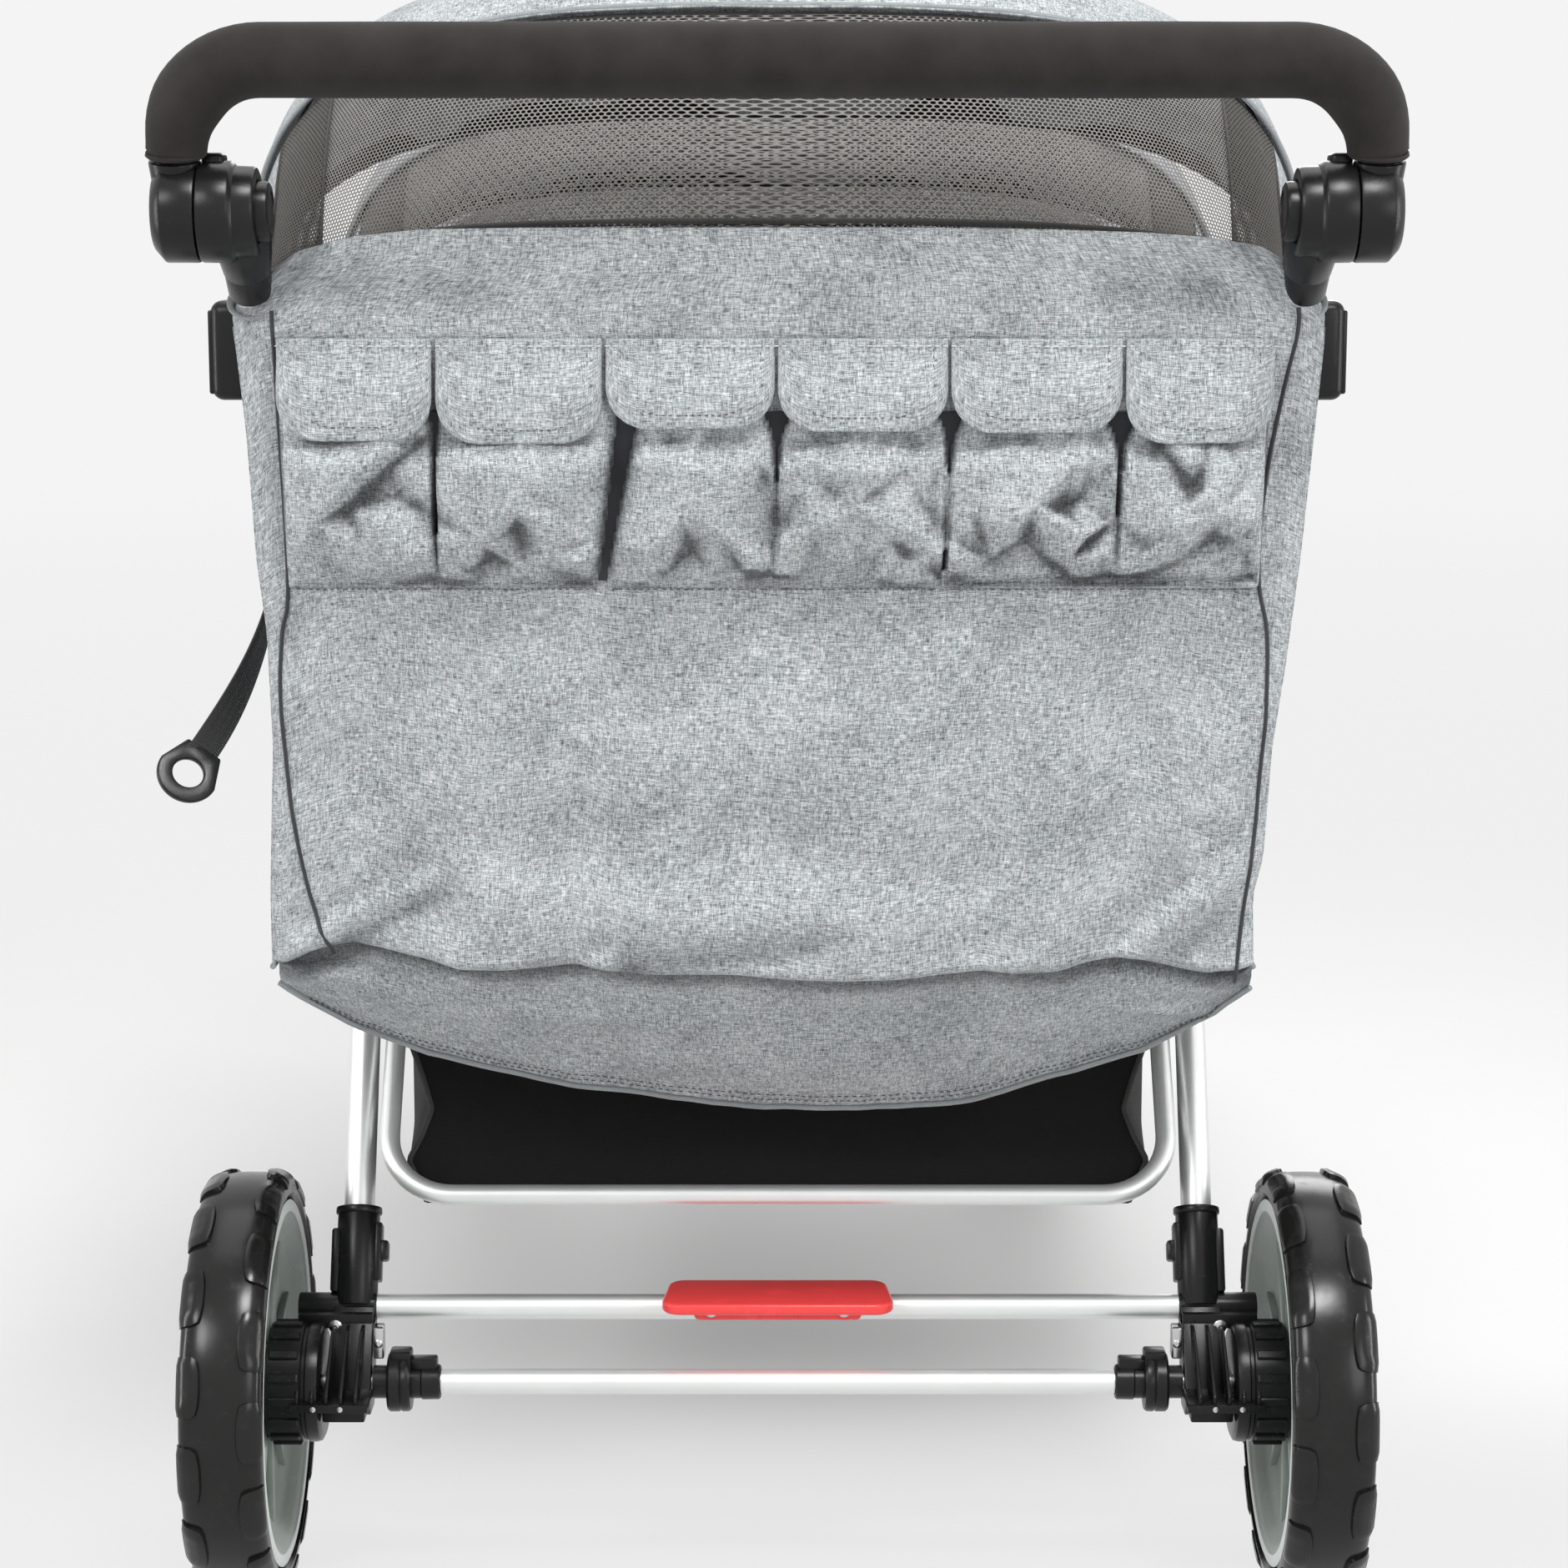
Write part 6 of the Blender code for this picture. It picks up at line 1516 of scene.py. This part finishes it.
def hood_point(row, layer, angle, turn, inward=0.0):
    """Point on a hood: angle runs across the arch and turn about the hood's pivots, both in degrees."""
    pivot_y, pivot_z = hood_pivot(row)
    bow, swing = math.radians(angle), math.radians(turn)
    x = math.copysign(abs(math.sin(bow)) ** 0.625, bow) * (0.331 + 0.004 * layer - inward * abs(math.sin(bow)))
    radius = hood_radius(layer) * math.cos(bow) ** 0.625 - inward * math.cos(bow)
    return Vector((x, pivot_y + radius * math.cos(swing), pivot_z + radius * math.sin(swing)))


def hood_skin(row, section, low=None, high=None, columns=96, rows=14, proud=0.0, sag=0.0012):
    """Cloth of one hood section between two curves across the arch, slack between its bows."""
    layer, first, last = HOOD_LAYERS[section]

    def place(across, down):
        turn = last + (first - last) * down
        left = -hood_end(layer) if low is None else low(turn)
        right = hood_end(layer) if high is None else high(turn)
        angle = left + (right - left) * across
        slack = sag * math.sin(math.pi * down) * (0.45 + 0.55 * math.cos(math.radians(angle)))
        point = hood_point(row, layer, angle, turn)
        slack += rumple(point.x, point.z + point.y * 0.7, 7.0 + layer + ROWS[row], 0.07, 0.0010)
        return hood_point(row, layer, angle, turn, slack - proud)

    return cloth(columns, rows, place)


def hood_curve(row, layer, turn, radius, inward=0.0):
    end = hood_end(layer)
    route = [hood_point(row, layer, end * (n / 48 - 1), turn, inward) for n in range(97)]
    return curve_shape(route, radius, rings=4)


def make_hood(row):
    for section, (_, first, last) in HOOD_LAYERS.items():
        body = "root" if section == "back" else f"hood_{row}_{section}"
        finish = "net" if section == "back" else ("heather", "lining")
        skin = top_up(hood_skin(row, section))
        piece(f"hood_skin_{section}_{row}", skin, finish, body, (f"hood_{row}_{section}",),
              thickness=0.0004 if section == "back" else 0.0016, lined=section != "back")
        if section == "back":
            for name, side in SIDES.items():
                for kind, inner, outer in (("band", BAND_INNER, BAND_OUTER), ("side", BAND_OUTER, None)):
                    strip = hood_skin(row, "back", lambda turn: side * between(inner, turn),
                                      lambda turn: side * (between(outer, turn) if outer else hood_end(0)),
                                      14, 14, 0.0008)
                    outward = facing(strip, (side, 0, 0.2))
                    piece(f"hood_{kind}_{name}_{row}", outward, "band_net" if kind == "band" else "heather",
                          thickness=0.0006)
                    edge = [hood_point(row, 0, side * between(inner, turn), turn, -0.0004)
                            for turn in range(first, last + 1, 2)]
                    piece(f"hood_{kind}_seam_{name}_{row}", curve_shape(edge, 0.0009, rings=2), "binding")
            piece(f"hood_window_top_{row}", hood_curve(row, 0, 120.6, 0.0020, 0.0012), "binding")
            piece(f"hood_window_foot_{row}", hood_curve(row, 0, 159.4, 0.0022, 0.0012), "binding")
        elif section == "middle":
            piece(f"hood_middle_hem_{row}", hood_curve(row, 1, 120.5, 0.0018, 0.0004), "heather", body)
            piece(f"hood_middle_bow_{row}", hood_curve(row, 1, 79.0, 0.0018, 0.0018), "binding", body)
        else:
            def bow_place(across, down):
                angle = hood_end(2) * (2 * across - 1)
                return hood_point(row, 2, angle, 36.4 + 4.6 * (1 - down), -0.0007)

            piece(f"hood_bow_band_{row}", top_up(cloth(96, 4, bow_place)), "black_cloth", body, thickness=0.0026)
            piece(f"hood_bow_edge_{row}", hood_curve(row, 2, 36.6, 0.0026, 0.0004), "binding", body)
            edge = [hood_point(row, 2, 76.0 * (n / 120 - 1), 41.4, -0.0006) for n in range(241)]
            stitches(f"hood_bow_stitches_{row}", edge, "dark_thread", body, stitch=0.0036)
    pivot_y, pivot_z = hood_pivot(row)
    for name, side in SIDES.items():
        neck = rod((side * 0.3246, pivot_y, pivot_z), (side * 0.3418, pivot_y, pivot_z), 0.012, edge=0.001)
        block = slab((side * 0.3400, pivot_y - 0.014, pivot_z - 0.034),
                     (side * 0.3660, pivot_y + 0.014, pivot_z + 0.030), 0.0075, 5)
        face = slab((side * 0.3635, pivot_y - 0.010, pivot_z - 0.030),
                    (side * 0.3677, pivot_y + 0.010, pivot_z + 0.024), 0.0015, 2)
        disc = rod((side * 0.3640, pivot_y, pivot_z), (side * 0.3677, pivot_y, pivot_z), 0.0085, edge=0.0010)
        made = piece(f"hood_clamp_body_{name}_{row}", together(neck, block, face, disc), "black_plastic")
        if row == "rear":
            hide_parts(f"hood_clamp_{name}")


# Basket, strap and bumper

def basket_back_y(z):
    """Back wall of the basket, which leans along the front of the hoop."""
    return min(0.0410 + (z - 0.267) * 0.9025, 0.1748)


# Height of the basket's back wall and how far its sides are drawn in there
BASKET_DRAWN_IN = ((0.2612, 0.019), (0.271, 0.013), (0.284, 0.005), (0.298, 0.013), (0.313, 0.019), (0.330, 0.012),
                   (0.350, 0.002), (0.3715, 0.0), (0.4465, 0.0))


def basket_rear_half(z):
    return 0.2580 - between(BASKET_DRAWN_IN, z)


def make_basket():
    """Bag of black cloth hung between the rails, with the hoop behind its back wall."""
    half, back, front, floor, top, rear_floor = 0.2612, 0.1748, 0.9490, 0.2512, 0.3715, 0.2612

    def wall(corners, inward):
        """One wall as a cloth that hangs slack between its corners."""
        def place(across, down):
            one = Vector(corners[0]).lerp(Vector(corners[1]), across)
            two = Vector(corners[3]).lerp(Vector(corners[2]), across)
            bow = 16 * across * (1 - across) * down * (1 - down)
            return one.lerp(two, down) + Vector(inward) * bow
        return place

    walls = (
        (((-half, back, floor), (half, back, floor), (half, front, floor), (-half, front, floor)),
         (0, 0, 0.0), (0, 0, 1)),
        (((-half, back, top), (-half, front, top), (-half, front, floor), (-half, back, floor)),
         (0.009, 0, 0), (-1, 0, 0)),
        (((half, back, top), (half, front, top), (half, front, floor), (half, back, floor)),
         (-0.009, 0, 0), (1, 0, 0)),
        (((-half, front, top), (half, front, top), (half, front, floor), (-half, front, floor)),
         (0, -0.006, 0), (0, 1, 0)),
    )
    pieces = [facing(cloth(60, 24, wall(corners, inward)), out) for corners, inward, out in walls]

    def rear(across, down):
        z = 0.4465 + (rear_floor - 0.4465) * down
        sag = 0.004 * math.sin(math.pi * across) * math.sin(math.pi * down) + 0.0012 * math.sin(across * 23) * down
        return Vector((basket_rear_half(z) * (2 * across - 1), basket_back_y(z) + sag, z))

    def rear_side(side):
        def place(across, down):
            z = top + (rear_floor - top) * down
            fold = Vector((side * basket_rear_half(z), basket_back_y(z), z))
            return fold.lerp(Vector((side * half, back, top + (floor - top) * down)), across)
        return place

    def rear_base(across, down):
        fold = rear(across, 1.0)
        return fold.lerp(Vector((half * (2 * across - 1), back, floor)), down)

    pieces.append(facing(cloth(60, 60, rear), (0, -1, 0)))
    pieces += [facing(cloth(12, 40, rear_side(side)), (side, 0, 0)) for side in (-1, 1)]
    pieces.append(facing(cloth(60, 10, rear_base), (0, 0, 1)))
    basket = piece("basket_cloth", together(*pieces), "black_cloth", "root", ("basket",), thickness=0.0016)
    rim = [(-0.2580, basket_back_y(top), top), (-half, back, top), (-half, front, top)]
    rim += [(-x, y, z) for x, y, z in reversed(rim)]
    route = rounded([Vector(point) for point in rim], 0.02, 5)
    bindings = [piece("basket_rim_binding", curve_shape(route, 0.0028, rings=8), "binding")]
    for name, side in SIDES.items():
        edge = [rear(0.0 if side < 0 else 1.0, n / 60) for n in range(61)]
        bindings.append(piece(f"basket_back_binding_{name}", curve_shape(edge, 0.0020, rings=3), "binding"))
        tab = slab((side * 0.2440, back - 0.002, 0.4300), (side * 0.2590, back + 0.003, 0.4470), 0.001)
        bindings.append(piece(f"basket_corner_tab_{name}", tab, "binding"))


def make_strap():
    """Storage strap that twists to face backwards, with a round-ended plastic tab and a round hole."""
    drop, swing = Vector((0, -0.110, -0.110)), 0.037
    top_across = Vector((0, 0.110, -0.110)).normalized()
    run = (drop + Vector((-2 * swing, 0, 0))).normalized()
    width = Vector((-run.z, 0, run.x)).normalized()
    away = width.cross(run).normalized()
    steps = 30

    def place(side, along):
        centre = Vector((-0.3256 - swing * along ** 2, 0, 0.700)) + drop * along
        return centre + top_across.slerp(width, along ** 2) * 0.0095 * (2 * side - 1)

    strap = cloth(4, steps, place)
    strap = piece("strap_webbing", facing(strap, (-1, 0, 0)), "webbing", "root", ("strap",), thickness=0.0018)
    anchor = piece("strap_anchor", slab((-0.3266, -0.010, 0.690), (-0.3246, 0.012, 0.712), 0.0006), "webbing")
    centre = Vector((-0.3256 - swing, -0.110, 0.590)) + run * 0.011

    def tab_point(radius, angle):
        return run * (radius * math.cos(angle)) + width * (radius * math.sin(angle))

    outline = [tab_point(0.0195, math.pi * (0.5 - n / 27)) for n in range(28)]
    outline += [width * -0.0120 - run * 0.0200, width * 0.0120 - run * 0.0200]
    tab = bmesh.new()
    outer = [tab.verts.new(point) for point in outline]
    loop = [tab.verts.new(tab_point(0.0098, n / 54 * 2 * math.pi)) for n in range(54)]
    edges = [tab.edges.new((ring[n], ring[(n + 1) % len(ring)])) for ring in (outer, loop) for n in range(len(ring))]
    bmesh.ops.triangle_fill(tab, edges=edges, use_beauty=True)
    extruded(tab, list(tab.faces), away * 0.0044)
    bmesh.ops.recalc_face_normals(tab, faces=tab.faces)
    rims = [edge for edge in tab.edges if edge.calc_face_angle(0) > 1.2]
    bevelled(tab, rims, 0.0012, 3)
    bmesh.ops.translate(tab, vec=centre - away * 0.0022, verts=tab.verts)
    piece("strap_tab", tab, "black_plastic")


def make_bumper():
    low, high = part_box("bumper_bar")
    y = (low[1] + high[1]) / 2 - AXLE_Y
    z = (low[2] + high[2]) / 2
    end = high[0]
    tube = rod((-end, y, z), (end, y, z), 0.0085, segments=32)
    piece("bumper_tube", tube, "aluminium", "root", ("bumper_bar",))
    cover = turned([(-end + 0.010, 0.0086), (-end + 0.010, 0.0100), (-end + 0.013, 0.0110), (end - 0.013, 0.0110),
                    (end - 0.010, 0.0100), (end - 0.010, 0.0086)], y, z, 40, ring=True)
    piece("bumper_foam", cover, "foam")


# Seats

def make_footwell(row):
    """Foot sling: walls and floor of cloth between the lower rails, with flanges over them."""
    index = ROWS[row]
    back = index * ROW_PITCH + 0.3003
    last = row == "front"
    front = 1.346 if last else back + 0.1794
    floor = 0.356 - 0.012 * index
    flange = lower_rail_z(back) + 0.0103
    rim = 0.470 if last else flange + 0.003
    half = 0.2392
    corners = [(back, rim), (back, floor), (front, floor), (front, rim)]
    route = rounded([Vector((0, y, z)) for y, z in corners], 0.028, 8)

    def sling(across, down):
        along = down * (len(route) - 1)
        number = min(int(along), len(route) - 2)
        point = route[number].lerp(route[number + 1], along - number)
        sag = 0.003 * math.sin(math.pi * across)
        inward = Vector((0, (0.5 * (back + front) - point.y), (0.5 * (rim + floor) - point.z)))
        inward.normalize()
        return Vector((half * (2 * across - 1), point.y, point.z)) + inward * sag

    shapes = [facing(cloth(40, len(route) - 1, sling), (0, 0, -1))]
    for side in (-1, 1):
        def cheek(across, down, side=side):
            y = back + (front - back) * across
            z = rim + (floor - rim) * down
            corner = 0.028 if down > 0.5 else 0.0
            y = min(max(y, back + corner * 0.3 * down), front - corner * 0.3 * down)
            return Vector((side * (half - 0.003 * math.sin(math.pi * across) * math.sin(math.pi * down)), y, z))
        shapes.append(facing(cloth(24, 16, cheek), (side, 0, 0)))
    if not last:
        for side in (-1, 1):
            def wing(across, down, side=side):
                x = side * (half + (0.3192 - half) * across)
                lift = 0.0022 * math.sin(math.pi * across)
                return Vector((x, back + 0.0006 + (front - back - 0.0012) * down, flange + 0.0026 - lift * 0.3))
            shapes.append(facing(cloth(8, 20, wing), (0, 0, 1)))
    piece(f"footwell_cloth_{row}", together(*shapes), "black_cloth", "root", (f"footwell_{row}",), thickness=0.0018)
    mat = slab((-half + 0.010, back + 0.022, floor + 0.0022), (half - 0.010, front - 0.022, floor + 0.0052), 0.0012)
    piece(f"footwell_mat_{row}", mat, "black_plastic")


def pillow(low, high, rows=(), columns=(), grain=0.012, groove=0.006, round_by=0.022, crown=0.004):
    """Padded slab: crowned over its top, drawn in along its seams, rounded at its edges."""
    seam_width = 0.0075
    low, high = Vector(low), Vector(high)
    size, middle = high - low, (high + low) / 2
    shape = bmesh.new()
    bmesh.ops.create_cube(shape, size=1.0)
    count = max(6, int(max(size.x, size.y) / grain))
    bmesh.ops.subdivide_edges(shape, edges=list(shape.edges), cuts=count, use_grid_fill=True)
    for vert in shape.verts:
        u, v, w = (2 * part for part in vert.co)
        near_x = max(0.0, 1 - (1 - abs(u)) * size.x / 2 / round_by)
        near_y = max(0.0, 1 - (1 - abs(v)) * size.y / 2 / round_by)
        near = min(1.0, math.hypot(near_x, near_y))
        thin = math.sqrt(max(0.0, 1 - near ** 2.2)) * 0.80 + 0.20
        x, y = middle.x + u * size.x / 2, middle.y + v * size.y / 2
        gaps = [y - line for line in rows] + [x - line for line in columns]
        tuck = max([0.0] + [math.exp(-(gap / seam_width) ** 2) for gap in gaps])
        bulge = crown * (1 - u * u) * (1 - v * v)
        rise = (size.z / 2 - crown) * thin + bulge - groove * tuck
        top = middle.z + rise
        foot = middle.z - size.z / 2 + (size.z / 2) * (1 - thin) * 0.5
        z = top if w > 0 else foot
        if abs(w) < 0.999:
            z = foot + (top - foot) * ((w + 1) / 2)
        waist = 1 - 0.010 * (1 - abs(w))
        vert.co = (middle.x + (x - middle.x) * waist, middle.y + (y - middle.y) * waist, z)
    bmesh.ops.recalc_face_normals(shape, faces=shape.faces)
    return shape


def seat_top(row):
    return 0.580 - 0.050 * ROWS[row]


def make_seat(row):
    back, top = ROWS[row] * ROW_PITCH + 0.060, seat_top(row)
    front = back + 0.240
    foot = lower_rail_z(front) + 0.0110
    low = lower_rail_z(back) + 0.0110
    split = top - 0.030
    board = prism([(back + 0.001, low), (front - 0.001, foot), (front - 0.001, split), (back + 0.001, split)],
                  -0.3170, 0.3170, 0.010)
    piece(f"seat_box_{row}", board, "black_cloth", "root", (f"seat_{row}",))
    for name, side in SIDES.items():
        lowest = (side * 0.160 - 0.1555, back + 0.003, split - 0.004)
        highest = (side * 0.160 + 0.1555, front - 0.001, top)
        pad = pillow(lowest, highest, rows=(back + 0.085, back + 0.160))
        made = piece(f"seat_pad_{name}_{row}", pad, "heather")
        seam = []
        for number in range(61):
            turn = number / 60 * 2 * math.pi
            u = math.copysign(abs(math.cos(turn)) ** 0.25, math.cos(turn))
            v = math.copysign(abs(math.sin(turn)) ** 0.25, math.sin(turn))
            seam.append(Vector((side * 0.160 + 0.1525 * u, (back + front) / 2 + 0.001 + 0.1155 * v, split + 0.004)))
        cord = curve_shape(seam[:-1], 0.0016, rings=2, capped=False, closed=True)
        piece(f"seat_piping_{name}_{row}", cord, "piping")


def leaned(row, shape):
    """Moves a shape that is drawn upright onto its row's backrest."""
    return moved(shape, (0, ROWS[row] * ROW_PITCH + 0.030, seat_top(row)), math.radians(12))


def make_backrest(row):
    body = f"backrest_{row}"
    board = slab((-0.2420, -0.0145, -0.029), (0.2420, -0.0035, 0.337), 0.004, 3)
    pin = rod((-0.3150, 0, 0), (0.3150, 0, 0), 0.007, segments=24)
    piece(f"backrest_board_{row}", leaned(row, board), "black_cloth", body, (f"backrest_{row}",))
    piece(f"backrest_pin_{row}", leaned(row, pin), "aluminium", body)
    for name, side in SIDES.items():
        pad = pillow((side * 0.121 - 0.1190, -0.166, -0.0105), (side * 0.121 + 0.1190, 0.166, 0.0105),
                     rows=(-0.055, 0.060), grain=0.010, groove=0.005, round_by=0.016, crown=0.003)
        moved(pad, (0, 0.0045, 0.169), -math.pi / 2)
        made = piece(f"back_pad_{name}_{row}", leaned(row, pad), "heather", body)
        make_harness(row, name, side * 0.121)


def make_harness(row, name, x):
    """Five straps on the backrest's face, meeting in a buckle."""
    body = f"backrest_{row}"
    face = 0.0168
    straps, sleeves = [], []

    def strap(route, width, across):
        straps.append(facing(leaned(row, ribbon(route, width, across)), (0, 1, 0)))

    for hand in (-1, 1):
        route = [Vector((x + hand * (0.020 + 0.026 * (n / 16)), face + 0.0004 + 0.0012 * math.sin(math.pi * n / 16),
                         0.085 + 0.200 * n / 16)) for n in range(17)]
        strap(route, 0.018, (1, 0, 0))
        sleeve = slab((-0.0130, -0.0022, -0.048), (0.0130, 0.0030, 0.048), 0.0022, 3)
        bmesh.ops.rotate(sleeve, cent=(0, 0, 0), verts=sleeve.verts, matrix=Matrix.Rotation(hand * 0.128, 3, "Y"))
        bmesh.ops.translate(sleeve, vec=(x + hand * 0.0375, face + 0.0020, 0.215), verts=sleeve.verts)
        sleeves.append(leaned(row, sleeve))
        side_route = [Vector((x + hand * (0.018 + 0.085 * n / 12), face + 0.0006 + 0.0010 * math.sin(math.pi * n / 12),
                              0.072 - 0.030 * (n / 12) ** 1.5)) for n in range(13)]
        strap(side_route, 0.018, (0.15, 0, 1))
    route = [Vector((x, face + 0.0006, 0.060 - 0.055 * n / 10)) for n in range(11)]
    strap(route, 0.020, (1, 0, 0))
    piece(f"harness_straps_{name}_{row}", together(*straps), "webbing", body, thickness=0.0012)
    piece(f"harness_pads_{name}_{row}", together(*sleeves), "black_cloth", body)
    shell = slab((x - 0.0230, face - 0.0005, 0.0580), (x + 0.0230, face + 0.0105, 0.0960), 0.0045, 4)
    button = rod((x, face + 0.009, 0.076), (x, face + 0.0118, 0.076), 0.0095, edge=0.0010)
    rim = turned([(0, 0.0100), (0, 0.0122), (0.0012, 0.0122), (0.0012, 0.0100)], segments=32, ring=True)
    moved(rim, (x, face + 0.0102, 0.076), math.pi / 2, "Z")
    piece(f"harness_buckle_{name}_{row}", leaned(row, together(shell, rim)), "black_plastic", body)
    piece(f"harness_button_{name}_{row}", leaned(row, button), "red_plastic", body)


for row in ROWS:
    make_hood(row)
    make_footwell(row)
    make_seat(row)
    make_backrest(row)
make_basket()
make_strap()
make_bumper()


# Cloth, with each piece's flat size

def sewn(name, flat=None):
    """Works out a piece's flat size, read off its own map, which is in metres, and eased to the piece's area, unless
    it is given; nothing is done with it.
    """
    made = bpy.data.objects[name]
    area = sum(face.area for face in made.data.polygons)
    if flat is None:
        spots = [loop.uv for loop in made.data.uv_layers.active.data]
        flat = [max(spot[axis] for spot in spots) - min(spot[axis] for spot in spots) for axis in (0, 1)]
        ease = max(1.0, math.sqrt(area / (flat[0] * flat[1])))
        flat = [side * ease for side in flat]


sewn("rear_panel_cloth")
sewn("rear_lip_cloth")
sewn("pockets_cloth")
for number in range(1, 7):
    sewn(f"pocket_flap_{number}")
for name in SIDES:
    sewn(f"side_cloth_{name}")
    sewn(f"rail_sleeve_{name}", flat=(0.083, 1.40))
for row in ROWS:
    sewn(f"hood_skin_back_{row}")
    sewn(f"hood_skin_middle_{row}")
    sewn(f"hood_skin_front_{row}")
    sewn(f"hood_bow_band_{row}")
    for name in SIDES:
        sewn(f"hood_band_{name}_{row}")
        sewn(f"hood_side_{name}_{row}")
    sewn(f"footwell_cloth_{row}",
         flat=(0.760, 0.500) if row == "front" else (0.710, 0.420))
